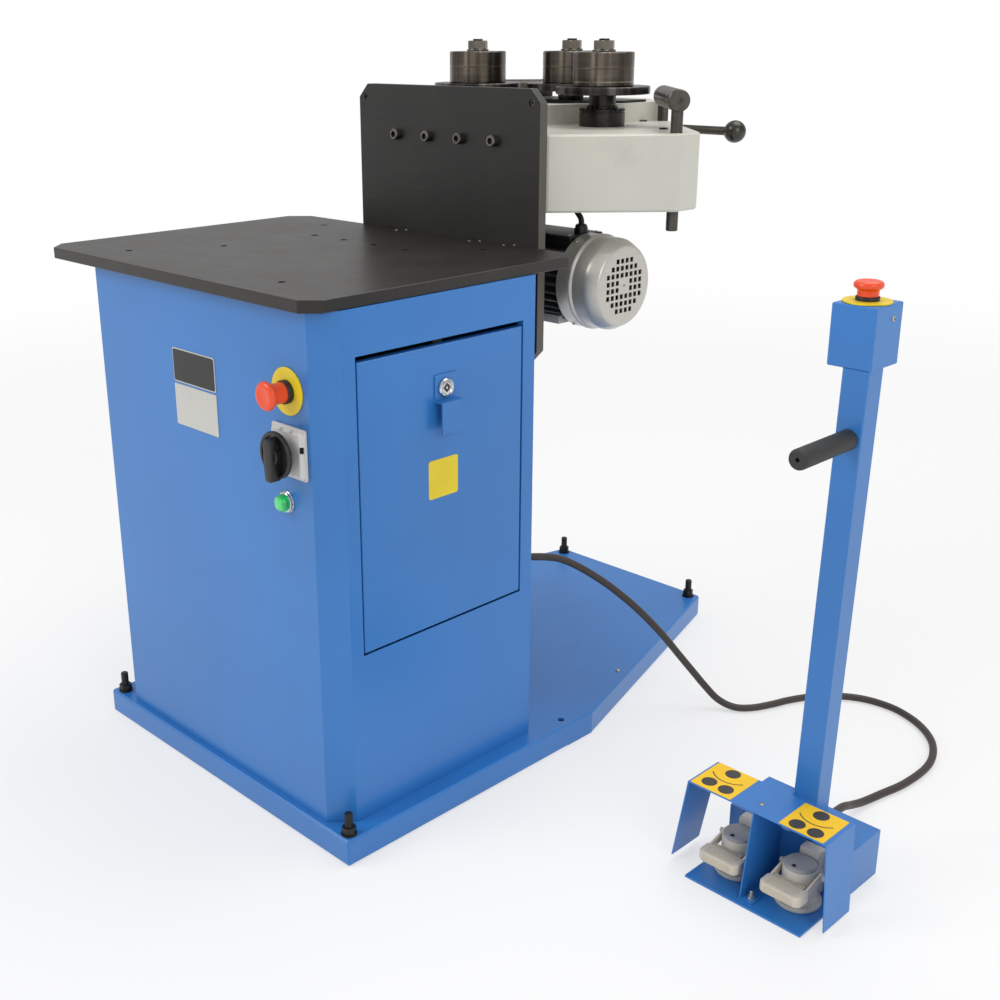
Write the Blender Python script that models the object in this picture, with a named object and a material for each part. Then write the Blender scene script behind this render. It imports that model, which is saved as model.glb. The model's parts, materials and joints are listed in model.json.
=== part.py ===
"""Ring roller on a pedestal, with a foot control station on a cord.

The machine stands on a folded base tray. A sheet cabinet carries a thick table, a mounting plate stands
on the back edge of the table, and the roll head is bolted behind that plate. Metres, +Z up. The origin
is on the floor, on the centre plane of the machine, under the back edge of the table. The operator stands
on the -Y side.
"""

import math

import bmesh
import bpy
from mathutils import Matrix, Vector

# Clearances and general sizes
SEAT_GAP = 0.0003
RUN_GAP = 0.0003
CUT_OVERRUN = 0.002
BURY = 0.0005
EDGE_ROUND = 0.0015
FINE_SIDES = 36
ROUND_SIDES = 24
SMALL_SIDES = 16
TINY_SIDES = 12
HEX_SIDES = 24
FOOT_SIDES = 12
SHARP_ANGLE = math.radians(32)
BEVEL_ANGLE = math.radians(40)
HEAD_BEVEL_ANGLE = math.radians(30)
RUN_STEPS = 24
QUARTER = math.pi / 2
SLANT = math.sqrt(0.5)

# Base tray: top sheet, folded skirt and one tee stiffener that crosses under the origin
TRAY_HALF_WIDTH = 0.3155
TRAY_FRONT = -0.4985
TRAY_SHOULDER = 0.027
TRAY_BACK = 0.539
TRAY_NOSE_RIGHT = 0.1637
TRAY_NOSE_LEFT = -0.1933
TRAY_HEIGHT = 0.041
TRAY_SHEET = 0.004
TRAY_FOLD = 0.003
STIFFENER_FLANGE = 0.060
SPARE_HOLE_INSET = 0.0185
SPARE_HOLE_SHIFT = 0.057
SPARE_HOLE_RADIUS = 0.006
SPARE_HOLE_X = TRAY_HALF_WIDTH - SPARE_HOLE_INSET
SPARE_HOLE_Y = TRAY_SHOULDER - SPARE_HOLE_SHIFT

# Levelling feet
FOOT_RIGHT_INSET = 0.0155
FOOT_LEFT_INSET = 0.0205
FOOT_FRONT_INSET = 0.015
FOOT_NOSE_RIGHT_INSET = 0.0157
FOOT_NOSE_LEFT_INSET = 0.0153
FOOT_BACK_INSET = 0.017
FOOT_FRONT_RIGHT = TRAY_HALF_WIDTH - FOOT_RIGHT_INSET
FOOT_FRONT_LEFT = FOOT_LEFT_INSET - TRAY_HALF_WIDTH
FOOT_FRONT_Y = TRAY_FRONT + FOOT_FRONT_INSET
FOOT_BACK_RIGHT = TRAY_NOSE_RIGHT - FOOT_NOSE_RIGHT_INSET
FOOT_BACK_LEFT = TRAY_NOSE_LEFT + FOOT_NOSE_LEFT_INSET
FOOT_BACK_Y = TRAY_BACK - FOOT_BACK_INSET
FOOT_PAD_RADIUS = 0.0105
FOOT_PAD_HEIGHT = 0.008
FOOT_STUD_RADIUS = 0.006
FOOT_STUD_TOP = 0.075
FOOT_STUD_TIP = 0.001
FOOT_HOLE_RADIUS = 0.0068
WASHER_RADIUS = 0.0115
WASHER_HEIGHT = 0.002
NUT_HALF_FLATS = 0.009
NUT_HEIGHT = 0.0105

# Cabinet
CABINET_LEFT = -0.2857
CABINET_RIGHT = 0.2857
CABINET_FRONT = -0.487
CABINET_BACK = -0.0965
CABINET_CHAMFER = 0.0305
CABINET_TOP = 0.7772
CABINET_WALL = 0.002
CABINET_TOP_FLANGE = 0.030

# Door in the right wall, hinged along its bottom edge
DOOR_FRONT_Y = -0.4315
DOOR_BACK_Y = -0.124
DOOR_LOW = 0.298
DOOR_HIGH = 0.7065
DOOR_GAP = 0.003
DOOR_TOP_GAP = 0.0085
DOOR_SHEET = 0.0015
DOOR_FOLD_DEPTH = 0.012
FRAME_DEPTH = 0.012
HINGE_INSET = 0.010
HINGE_PIN_RADIUS = 0.004
HINGE_PIN_PAST = 0.005
HINGE_EAR_DEPTH = 0.022
HINGE_EAR_RISE = 0.012
HINGE_EAR_DROP = 0.008
PULL_FRONT_Y = -0.297
PULL_BACK_Y = -0.2575
PULL_SHEET = 0.002
PULL_DROP = 0.0405
PULL_STRIP_HEIGHT = 0.036
PULL_LIP_HEIGHT = 0.044
PULL_TOP = DOOR_HIGH - PULL_DROP
PULL_SHELF = PULL_TOP - PULL_STRIP_HEIGHT
PULL_TIP = PULL_SHELF - PULL_LIP_HEIGHT
PULL_REACH = 0.016

# Lock in the door
LOCK_Y = -0.2784
LOCK_DROP = 0.019
LOCK_Z = PULL_TOP - LOCK_DROP
LOCK_HEAD_RADIUS = 0.013
LOCK_HEAD_HEIGHT = 0.005
LOCK_RIM = 0.001
LOCK_BARREL_RADIUS = 0.0095
LOCK_SLOT_WIDTH = 0.003
LOCK_SLOT_LENGTH = 0.013
LOCK_SLOT_DEPTH = 0.002
CAM_SHEET = 0.002
CAM_HALF_WIDTH = 0.009
CAM_REACH = 0.080
CAM_TAIL = 0.012

# Panel with the contactors inside the cabinet
PANEL_X = 0.060
PANEL_LOW = 0.330
PANEL_HIGH = 0.680
PANEL_SHEET = 0.002
PANEL_FOLD = 0.020
RAIL_HEIGHT = 0.035
RAIL_DEPTH = 0.0075
RAIL_LEVELS = (0.600, 0.470)
RAIL_MARGIN = 0.030
DEVICE_HEIGHT = 0.075
DEVICE_DEPTH = 0.070
DEVICE_WIDTH = 0.045
DEVICE_SPACE = 0.018
DEVICE_STEP = 0.020
DEVICE_COUNT = 4
SUPPLY_LOW = 0.345
SUPPLY_HIGH = 0.430
SUPPLY_WIDTH = 0.095
SUPPLY_DEPTH = 0.080

# Controls on the front wall
STOP_X = 0.2122
STOP_Z = 0.667
STOP_LEGEND_RADIUS = 0.032
STOP_LEGEND_SHEET = 0.002
STOP_COLLAR_RADIUS = 0.0158
STOP_COLLAR_HEIGHT = 0.0105
STOP_COLLAR_CHAMFER = 0.0006
STOP_BARREL_RADIUS = 0.011
STOP_BLOCK_RADIUS = 0.015
STOP_BLOCK_START = 0.012
STOP_BLOCK_DEPTH = 0.055
STOP_BORE_RADIUS = 0.0145
STOP_BORE_FLOOR = 0.0015
STOP_TRAVEL = 0.004
BUTTON_STEM_RADIUS = 0.0140
BUTTON_RADIUS = 0.0195
BUTTON_HEAD = 0.0095
BUTTON_RISE = 0.0295
BUTTON_CROWN = 0.004
BUTTON_SKIRT = 0.006
BUTTON_PLAY = 0.0005
ISOLATOR_X = 0.2138
ISOLATOR_Z = 0.5865
ISOLATOR_HALF = 0.035
ISOLATOR_PLATE_HEIGHT = 0.010
ISOLATOR_BARREL_RADIUS = 0.012
ISOLATOR_BODY_HALF = 0.022
ISOLATOR_BODY_DEPTH = 0.050
ISOLATOR_BORE_RADIUS = 0.0045
ISOLATOR_NECK_RADIUS = 0.013
ISOLATOR_RING_LOW = 0.0225
ISOLATOR_RING_RADIUS = 0.032
ISOLATOR_RING_HEIGHT = 0.006
KNOB_HALF_WIDTH = 0.0095
KNOB_LENGTH = 0.034
KNOB_TAIL = 0.024
KNOB_HEIGHT = 0.0115
KNOB_ROUND = 0.004
LAMP_X = 0.200
LAMP_Z = 0.5128
LAMP_BEZEL_RADIUS = 0.0150
LAMP_BEZEL_HEIGHT = 0.006
LAMP_LENS_RADIUS = 0.0120
LAMP_LENS_HEIGHT = 0.016
LAMP_LENS_CROWN = 0.002
LAMP_BARREL_RADIUS = 0.009
LAMP_BARREL_DEPTH = 0.035

# Table
TABLE_LEFT = -0.3743
TABLE_RIGHT = 0.2839
TABLE_FRONT = -0.5044
TABLE_BACK = 0.0
TABLE_TOP = 0.794
TABLE_SHEET = 0.0165
TABLE_CHAMFER_RIGHT = 0.022
TABLE_CHAMFER_FRONT_LEFT = 0.028
TABLE_CHAMFER_BACK_LEFT = 0.030
TABLE_HOLE_RADIUS = 0.0055
TABLE_ROW_Y = -0.146
TABLE_ROW_START = -0.1525
TABLE_ROW_STEP = 0.073
TABLE_ROW_COUNT = 4
TABLE_PATTERN_X = (-0.233, 0.147)
TABLE_PATTERN_Y = (-0.440, -0.063)
TABLE_ODD_HOLE = (-0.167, -0.313)
TONGUE_PLACES = (-0.130, 0.065)
TONGUE_WIDTH = 0.035

# Mounting plate
PLATE_HALF_WIDTH = 0.203
PLATE_THICKNESS = 0.016
PLATE_LOW = 0.6135
PLATE_HIGH = 1.024
PLATE_CHAMFER = 0.0208
PLATE_HOLE_X = 0.185
PLATE_HOLE_Z = 1.004
PLATE_HOLE_RADIUS = 0.0052

# Head casting
HEAD_LOW = 0.8448
HEAD_LEDGE = 0.959
HEAD_TOP = 0.9895
HEAD_FRONT_HALF = 0.203
HEAD_WIDE_HALF = 0.3387
HEAD_WIDE_START = 0.160
HEAD_WIDE_END = 0.208
HEAD_NOSE_HALF = 0.050
HEAD_NOSE_Y = 0.4827
HEAD_ROUND = 0.003
SADDLE_NARROW_HALF = 0.055
SADDLE_WIDE_HALF = 0.118
SADDLE_FLARE_START = 0.190
SADDLE_FLARE_END = 0.300
SADDLE_SHOULDER = 0.394
SADDLE_FLARE_STEPS = 8
SADDLE_NOSE_HALF = 0.032

# Rolls: two driven shafts in front and the pressure shaft behind
ROLL_HALF_SPACING = 0.140
DRIVEN_Y = 0.217
PRESSURE_Y = 0.302
DISC_RADIUS = 0.075
DISC_RISE = 0.0495
DISC_LOW = HEAD_LEDGE + DISC_RISE
DISC_THICKNESS = 0.012
DISC_CHAMFER = 0.001
ROLL_RADIUS = 0.0485
ROLL_HEIGHT = 0.0515
ROLL_TOP = DISC_LOW + DISC_THICKNESS + ROLL_HEIGHT
ROLL_SEAM_SHARE = 0.52
ROLL_SEAM_DEPTH = 0.0012
ROLL_SEAM_HALF = 0.0009
ROLL_CHAMFER = 0.001
SPINDLE_RADIUS = 0.015
SPINDLE_SHORT = 0.002
SHAFT_COLLAR_RADIUS = 0.0225
SHAFT_RADIUS = 0.0175
SHAFT_DEPTH = 0.089
SHAFT_FOOT = HEAD_LEDGE - SHAFT_DEPTH
STUD_RADIUS = 0.00875
STUD_RISE = 0.020
STUD_TOP = ROLL_TOP + STUD_RISE
STUD_CHAMFER = 0.0012
ROLL_WASHER_RADIUS = 0.0185
ROLL_WASHER_HEIGHT = 0.003
ROLL_NUT_HALF_FLATS = 0.015
ROLL_NUT_HEIGHT = 0.014
ROLL_NUT_CHAMFER = 0.002
BEARING_RADIUS = 0.0365
BEARING_RISE = 0.0275
BEARING_TOP = HEAD_LEDGE + BEARING_RISE
BEARING_CHAMFER = 0.0015
BEARING_NOTCHES = 16
BEARING_NOTCH_DEPTH = 0.0015
BEARING_NOTCH_WIDTH = 0.003
BEARING_WALL = 0.012
LOCKNUT_RADIUS = 0.0245
LOCKNUT_HEIGHT = 0.004

# Pressure slide, its cover, its screw and the lever through the screw
SLIDE_HALF_WIDTH = 0.032
SLIDE_FRONT = 0.262
SLIDE_BACK = 0.342
SLIDE_LOW = 0.9055
SLIDE_WING = 0.010
SLIDE_WING_TOP = 0.925
SLIDE_FORWARD = 0.018
SLIDE_REARWARD = 0.036
CHANNEL_SPARE = 0.002
COVER_HALF_WIDTH = 0.108
COVER_FRONT = 0.273
COVER_BACK = 0.372
COVER_SHEET = 0.0037
COVER_CHAMFER = 0.038
SCREW_Z = 0.937
SCREW_RADIUS = 0.012
SCREW_BITE = 0.018
SCREW_BITE_SPARE = 0.002
HUB_FRONT = 0.5025
HUB_BACK = 0.5275
HUB_RADIUS = 0.017
HUB_CHAMFER = 0.002
LEVER_Y = 0.5135
LEVER_RADIUS = 0.0075
LEVER_HALF_LENGTH = 0.194
BALL_RADIUS = 0.0195
BALL_STEPS = 8

# Side guides on vertical pins
PIN_RADIUS = 0.009
PIN_LOW = 0.815
NEAR_PIN = (0.3235, 0.168)
FAR_PIN_X = 0.1345
FAR_PIN_Y = 0.385
PLAIN_PIN_TOP = 1.012
PIN_CHAMFER = 0.001
GUIDE_Z = 1.0055
GUIDE_BOSS_RADIUS = 0.0162
GUIDE_BOSS_FRONT = 0.014
GUIDE_BOSS_BACK = 0.0095
GUIDE_AXLE_RADIUS = 0.006
GUIDE_ROLLER_RADIUS = 0.016
GUIDE_ROLLER_LENGTH = 0.142
GUIDE_STOP_RADIUS = 0.010
GUIDE_STOP_HEIGHT = 0.003
GUIDE_CHAMFER = 0.001
GUIDE_SOCKET_RADIUS = 0.004
GUIDE_SOCKET_DEPTH = 0.003

# Motor under the head, with its axis along X
MOTOR_Y = 0.133
MOTOR_Z = 0.728
COWL_END = 0.264
COWL_RIM = 0.188
COWL_RADIUS = 0.074
COWL_WALL = 0.0016
COWL_BEAD = 0.0012
COWL_BEAD_HALF = 0.0025
COWL_FIRST_STEP = 0.216
COWL_STEP = 0.002
COWL_SECOND_STEP = 0.242
COWL_END_RADIUS = 0.060
COWL_CROWN_STEPS = 3
GRILLE_PITCH = 0.0111
GRILLE_HOLE_HALF = 0.0037
GRILLE_ROWS = (4, 6, 8, 8, 8, 8, 6, 4)
GRILLE_CENTRE_ROWS = (3, 4)
GRILLE_CENTRE_SKIP = (3, 4)
STATOR_START = 0.040
STATOR_END = 0.187
STATOR_CORE_RADIUS = 0.060
STATOR_FIN_RADIUS = 0.0705
STATOR_FIN_COUNT = 32
STATOR_FIN_SHARE = 0.38
END_BELL_RADIUS = 0.072
END_BELL_LENGTH = 0.010
REAR_BELL_START = 0.190
REAR_BELL_END = 0.197
MOTOR_SHAFT_RADIUS = 0.007
FAN_START = 0.205
FAN_LENGTH = 0.030
FAN_HUB_RADIUS = 0.018
FAN_RADIUS = 0.058
FAN_BLADE_COUNT = 8
FAN_BLADE_SHARE = 0.16
FAN_SHAFT_PAST = 0.004
TERMINAL_START = 0.043
TERMINAL_END = 0.186
TERMINAL_HALF = 0.040
TERMINAL_LOW = 0.780
TERMINAL_TOP = 0.800
TERMINAL_LID = 0.006
TERMINAL_LID_LIP = 0.002
GLAND_X = 0.1740
GLAND_RADIUS = 0.0108
GLAND_HEIGHT = 0.015
GLAND_CROWN = 0.004
MOTOR_CABLE_RADIUS = 0.0045
MOTOR_CABLE_POINTS = 14
MOTOR_CABLE_STRAIGHT = 0.004
MOTOR_CABLE_SHIFT = 0.014
MOTOR_CABLE_SHARES = ((0.0, 0.0), (0.15, 0.25), (0.5, 0.5), (0.85, 0.75), (1.0, 1.0))

# Worm gearbox between the motor and the head
GEARBOX_LEFT = -0.110
GEARBOX_RIGHT = 0.010
GEARBOX_FRONT = 0.060
GEARBOX_BACK = 0.206
GEARBOX_LOW = 0.655
GEARBOX_CHAMFER = 0.022
GEARBOX_FLANGE_HALF = 0.075
GEARBOX_FLANGE_THICKNESS = 0.014
GEARBOX_NECK_RADIUS = 0.045
GEARBOX_TOP = 0.800
GEARBOX_FACE_RADIUS = 0.070
GEARBOX_COVER_RADIUS = 0.042
GEARBOX_COVER_HEIGHT = 0.006

# Foot station: floor plate, cable box, post
STATION_LEFT = 0.6567
STATION_RIGHT = 0.8367
STATION_FRONT = -0.181
STATION_SHEET = 0.003
STATION_BOX_FRONT = -0.079
STATION_BOX_BACK = 0.013
STATION_BOX_TOP = 0.070
POST_X = 0.7685
POST_Y = -0.0612
POST_HALF = 0.0175
POST_WALL = 0.002
POST_TOP = 0.7215
POST_LEAN = 0.0124
POST_ROUND = 0.0015
SWITCH_BOX_HALF_WIDTH = 0.0293
SWITCH_BOX_FRONT = -0.080
SWITCH_BOX_BACK = -0.0165
SWITCH_BOX_HEIGHT = 0.076
SWITCH_BOX_WALL = 0.002
SWITCH_BOX_HOLE_RADIUS = 0.011
STATION_STOP_X = 0.7717
STATION_STOP_Y = -0.050
STATION_COLLAR_HEIGHT = 0.007
STATION_BUTTON_RISE = 0.0185
STATION_STOP_SHARE = 0.91
GRIP_X = 0.7802
GRIP_Z = 0.6355
GRIP_RADIUS = 0.0130
GRIP_FRONT = -0.1925
GRIP_ROUND = 0.003
GRIP_SPIGOT_RADIUS = 0.006
GRIP_SPIGOT_LENGTH = 0.012

# Pedal guard: one folded sheet with flared sides and a centre divider
GUARD_LEFT = 0.6337
GUARD_RIGHT = 0.8467
GUARD_FRONT = -0.154
GUARD_BACK = -0.083
GUARD_LOW_FRONT = -0.160
GUARD_LOW_BACK = -0.096
GUARD_TAB_LEFT = 0.7055
GUARD_TAB_BACK = -0.065
GUARD_TOP = 0.130
GUARD_SHEET = 0.0015
GUARD_FLARE_LEFT = 0.016
GUARD_FLARE_RIGHT = 0.011
GUARD_SIDE_LOW = 0.007
DIVIDER_X = 0.7395
DIVIDER_LOW_FRONT = -0.172
DIVIDER_FOOT_RIGHT = 0.7586
DIVIDER_FOOT_BACK = -0.150

# Foot switches
SWITCH_PLACES = {"left": 0.6985, "right": 0.7945}
SWITCH_Y = -0.118
SWITCH_BASE_RADIUS = 0.031
SWITCH_BASE_HEIGHT = 0.010
SWITCH_BODY_RADIUS = 0.0235
SWITCH_WAIST_RADIUS = 0.0240
SWITCH_WAIST_TOP = 0.030
SWITCH_BODY_TOP = 0.058
SWITCH_CAP_RADIUS = 0.0215
SWITCH_CAP_HEIGHT = 0.005
SWITCH_CAP_ROUND = 0.002
SWITCH_TAIL_HALF = 0.015
SWITCH_TAIL_BACK = -0.0793
SWITCH_TAIL_TOP = 0.072
SWITCH_TAIL_SHELF = 0.052
SWITCH_TAIL_STEP_Y = -0.0985
PEDAL_PIVOT_Y = -0.112
PEDAL_PIVOT_Z = 0.048
PEDAL_PIVOT_RADIUS = 0.0035
PEDAL_PIVOT_PAST = 0.006
PEDAL_ARM_INSIDE = 0.0245
PEDAL_ARM_SHEET = 0.0035
PEDAL_ARM_HALF = 0.0065
PEDAL_HALF_WIDTH = 0.031
PEDAL_FRONT = -0.172
PEDAL_BACK = -0.146
PEDAL_TOP = 0.046
PEDAL_LOW = 0.030
PEDAL_NOSE_DROP = 0.005

# Cord between the cabinet and the foot station
CORD_RADIUS = 0.006
CORD_SAMPLES = 66
CORD_SIDE_LEVEL = 2
CORD_GLAND_X = 0.185
CORD_GLAND_Z = 0.300
CORD_GLAND_RADIUS = 0.011
CORD_GLAND_LENGTH = 0.030
CORD_GLAND_TAPER = 0.0085
CORD_GLAND_THREAD_RADIUS = 0.0095
CORD_GLAND_INSIDE = 0.010
CORD_STATION_X = 0.745
CORD_STATION_Z = 0.035
CORD_ROUTE = (
    (0.1930, -0.0300, 0.2990),
    (0.2074, -0.0100, 0.2965),
    (0.2180, 0.0120, 0.2930),
    (0.2305, 0.0350, 0.2865),
    (0.2460, 0.0550, 0.2745),
    (0.2618, 0.0750, 0.2585),
    (0.2781, 0.0950, 0.2400),
    (0.2946, 0.1150, 0.2185),
    (0.3115, 0.1350, 0.1945),
    (0.3291, 0.1550, 0.1670),
    (0.3471, 0.1750, 0.1360),
    (0.3621, 0.1960, 0.1025),
    (0.3778, 0.2160, 0.0700),
    (0.3935, 0.2330, 0.0410),
    (0.4130, 0.2460, 0.0175),
    (0.4380, 0.2590, 0.0070),
    (0.4598, 0.2790, 0.0063),
    (0.4765, 0.3120, 0.0063),
    (0.4910, 0.3500, 0.0063),
    (0.5120, 0.3880, 0.0063),
    (0.5420, 0.4210, 0.0063),
    (0.5724, 0.4405, 0.0063),
    (0.6056, 0.4490, 0.0063),
    (0.6434, 0.4470, 0.0063),
    (0.6883, 0.4280, 0.0063),
    (0.7260, 0.3950, 0.0063),
    (0.7500, 0.3530, 0.0063),
    (0.7609, 0.3054, 0.0063),
    (0.7590, 0.2430, 0.0063),
    (0.7480, 0.1902, 0.0063),
    (0.7410, 0.1489, 0.0085),
    (0.7390, 0.1161, 0.0170),
    (0.7420, 0.0860, 0.0290),
)

# Colours: red, green, blue, then roughness and metallic
FINISHES = {
    "blue_paint": (0.10, 0.27, 0.62, 0.38, 0.0),
    "black_steel": (0.030, 0.028, 0.027, 0.50, 0.6),
    "grey_paint": (0.68, 0.68, 0.65, 0.45, 0.0),
    "turned_steel": (0.20, 0.19, 0.18, 0.32, 1.0),
    "dark_steel": (0.055, 0.055, 0.055, 0.40, 0.8),
    "bright_steel": (0.55, 0.54, 0.52, 0.28, 1.0),
    "silver_paint": (0.55, 0.56, 0.58, 0.35, 0.5),
    "black_plastic": (0.018, 0.018, 0.018, 0.42, 0.0),
    "red_plastic": (0.70, 0.055, 0.025, 0.35, 0.0),
    "yellow_plastic": (0.80, 0.58, 0.03, 0.45, 0.0),
    "green_lens": (0.03, 0.42, 0.16, 0.18, 0.0),
    "pale_plastic": (0.62, 0.62, 0.60, 0.45, 0.0),
    "beige_plastic": (0.52, 0.49, 0.43, 0.50, 0.0),
    "black_rubber": (0.020, 0.020, 0.020, 0.60, 0.0),
    "chrome": (0.72, 0.72, 0.72, 0.12, 1.0),
}


class Shape:
    """Points and faces of one or more closed bodies, before they become an object."""

    def __init__(self, points, faces):
        self.points = [Vector(point) for point in points]
        self.faces = [tuple(face) for face in faces]

    def moved(self, x=0, y=0, z=0):
        shift = Vector((x, y, z))
        return Shape([point + shift for point in self.points], self.faces)

    def aimed(self, direction):
        """The shape with its +Z axis turned to the given direction."""
        turn = Vector((0, 0, 1)).rotation_difference(Vector(direction)).to_matrix()
        return Shape([turn @ point for point in self.points], self.faces)

    def spun(self, angle, axis="Z"):
        turn = Matrix.Rotation(angle, 3, axis)
        return Shape([turn @ point for point in self.points], self.faces)

    def __add__(self, other):
        start = len(self.points)
        faces = [tuple(index + start for index in face) for face in other.faces]
        return Shape(self.points + other.points, self.faces + faces)


def prism(outline, low, high, along="Z"):
    """An outline carried from low to high. Outlines are (x, y), (y, z) or (x, z) for Z, X and Y."""
    order = {"Z": (0, 1, 2), "X": (2, 0, 1), "Y": (0, 2, 1)}[along]
    count = len(outline)
    points = []
    for level in (low, high):
        for first, second in outline:
            values = (first, second, level)
            points.append(tuple(values[index] for index in order))
    faces = [tuple(range(count)), tuple(range(count, 2 * count))]
    for start in range(count):
        end = (start + 1) % count
        faces.append((start, end, count + end, count + start))
    return Shape(points, faces)


def block(low, high):
    """A box between two opposite corners."""
    outline = [(low[0], low[1]), (high[0], low[1]), (high[0], high[1]), (low[0], high[1])]
    return prism(outline, low[2], high[2])


def lathe(profile, sides, ring=False):
    """A profile of (radius, height) turned about +Z. A ring profile closes on itself round a bore.

    An entry may end in "hex": its radius is then half the distance across the flats of a hexagon.
    """
    points = []
    rows = []
    for radius, height, *form in profile:
        if radius == 0:
            rows.append([len(points)])
            points.append((0, 0, height))
            continue
        row = []
        for side in range(sides):
            angle = 2 * math.pi * side / sides
            reach = radius
            if form:
                away = (angle + math.pi / 6) % (math.pi / 3) - math.pi / 6
                reach = radius / math.cos(math.pi / 6 - abs(away))
            row.append(len(points))
            points.append((reach * math.cos(angle), reach * math.sin(angle), height))
        rows.append(row)
    faces = []
    pairs = list(zip(rows, rows[1:] + rows[:1])) if ring else list(zip(rows, rows[1:]))
    for lower, upper in pairs:
        for side in range(sides):
            after = (side + 1) % sides
            if len(lower) == 1:
                faces.append((lower[0], upper[after], upper[side]))
            elif len(upper) == 1:
                faces.append((lower[side], lower[after], upper[0]))
            else:
                faces.append((lower[side], lower[after], upper[after], upper[side]))
    if not ring:
        faces += [tuple(row) for row in (rows[0], rows[-1]) if len(row) > 1]
    return Shape(points, faces)


def rod(radius, low, high, sides=ROUND_SIDES):
    return lathe([(radius, low), (radius, high)], sides)


def smooth_run(route, count):
    """Points at even RUN_STEPS along one smooth curve through the points of a route."""
    knots = [Vector(point) for point in route]
    knots = [2 * knots[0] - knots[1]] + knots + [2 * knots[-1] - knots[-2]]
    fine = []
    for index in range(1, len(knots) - 2):
        before, start, end, after = knots[index - 1 : index + 3]
        for step in range(RUN_STEPS):
            share = step / RUN_STEPS
            bend = 2 * before - 5 * start + 4 * end - after
            twist = -before + 3 * start - 3 * end + after
            fine.append((2 * start + (end - before) * share + bend * share**2 + twist * share**3) / 2)
    fine.append(knots[-2])
    lengths = [0.0]
    for first, second in zip(fine, fine[1:]):
        lengths.append(lengths[-1] + (second - first).length)
    run = []
    segment = 0
    for index in range(count):
        goal = lengths[-1] * index / (count - 1)
        while segment < len(fine) - 2 and lengths[segment + 1] < goal:
            segment += 1
        span = lengths[segment + 1] - lengths[segment]
        run.append(fine[segment].lerp(fine[segment + 1], (goal - lengths[segment]) / span))
    return run


def make_finishes():
    for name, (red, green, blue, roughness, metallic) in FINISHES.items():
        finish = bpy.data.materials.new(name)
        finish.use_nodes = True
        shader = finish.node_tree.nodes["Principled BSDF"]
        shader.inputs["Base Color"].default_value = (red, green, blue, 1)
        shader.inputs["Roughness"].default_value = roughness
        shader.inputs["Metallic"].default_value = metallic
        finish.diffuse_color = (red, green, blue, 1)


def build_object(name, shape, origin=(0, 0, 0)):
    mesh = bpy.data.meshes.new(name)
    shift = Vector(origin)
    mesh.from_pydata([point - shift for point in shape.points], [], shape.faces)
    working = bmesh.new()
    working.from_mesh(mesh)
    bmesh.ops.recalc_face_normals(working, faces=working.faces)
    working.to_mesh(mesh)
    working.free()
    obj = bpy.data.objects.new(name, mesh)
    obj.location = shift
    bpy.context.scene.collection.objects.link(obj)
    return obj


def piece(name, shape, finish, origin=(0, 0, 0)):
    """A visible part of the machine. A moving one gets its origin on its joint's axis."""
    obj = build_object(name, shape, origin)
    obj.data.materials.append(bpy.data.materials[finish])
    obj.data.shade_smooth()
    obj.data.set_sharp_from_angle(angle=SHARP_ANGLE)
    return obj


def helper(target, shape):
    obj = build_object(f"{target.name}_tool_{len(target.modifiers)}", shape)
    obj.hide_render = True
    obj.display_type = "WIRE"
    return obj


def add_boolean(target, shape, operation):
    modifier = target.modifiers.new(operation.lower(), "BOOLEAN")
    modifier.operation = operation
    modifier.solver = "EXACT"
    modifier.object = helper(target, shape)


def cut(target, *shapes):
    """Cuts shapes that don't touch each other, all with one tool."""
    whole = shapes[0]
    for shape in shapes[1:]:
        whole = whole + shape
    add_boolean(target, whole, "DIFFERENCE")


def fuse(target, *shapes):
    for shape in shapes:
        add_boolean(target, shape, "UNION")


def round_edges(target, width, segments=1, angle=BEVEL_ANGLE):
    modifier = target.modifiers.new("round", "BEVEL")
    modifier.width = width
    modifier.segments = segments
    modifier.limit_method = "ANGLE"
    modifier.angle_limit = angle
    modifier.use_clamp_overlap = True


def tray_outline(inset=0.0):
    """The six corners of the base, or the same outline moved in by the sheet."""
    corners = [
        (-TRAY_HALF_WIDTH, TRAY_FRONT),
        (TRAY_HALF_WIDTH, TRAY_FRONT),
        (TRAY_HALF_WIDTH, TRAY_SHOULDER),
        (TRAY_NOSE_RIGHT, TRAY_BACK),
        (TRAY_NOSE_LEFT, TRAY_BACK),
        (-TRAY_HALF_WIDTH, TRAY_SHOULDER),
    ]
    return inset_outline(corners, inset)


def inset_outline(corners, inset):
    """A counterclockwise convex outline moved in by the same distance on every side."""
    if inset == 0:
        return corners
    moved = []
    count = len(corners)
    for index in range(count):
        before, here, after = (Vector(corners[(index + step) % count]) for step in (-1, 0, 1))
        first = (here - before).normalized()
        second = (after - here).normalized()
        inward = Vector((-first.y - second.y, first.x + second.x))
        moved.append(tuple(here + inward * (inset / (1 + first.dot(second)))))
    return moved


def foot_places():
    return {
        "front_right": (FOOT_FRONT_RIGHT, FOOT_FRONT_Y),
        "front_left": (FOOT_FRONT_LEFT, FOOT_FRONT_Y),
        "back_right": (FOOT_BACK_RIGHT, FOOT_BACK_Y),
        "back_left": (FOOT_BACK_LEFT, FOOT_BACK_Y),
    }


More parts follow.
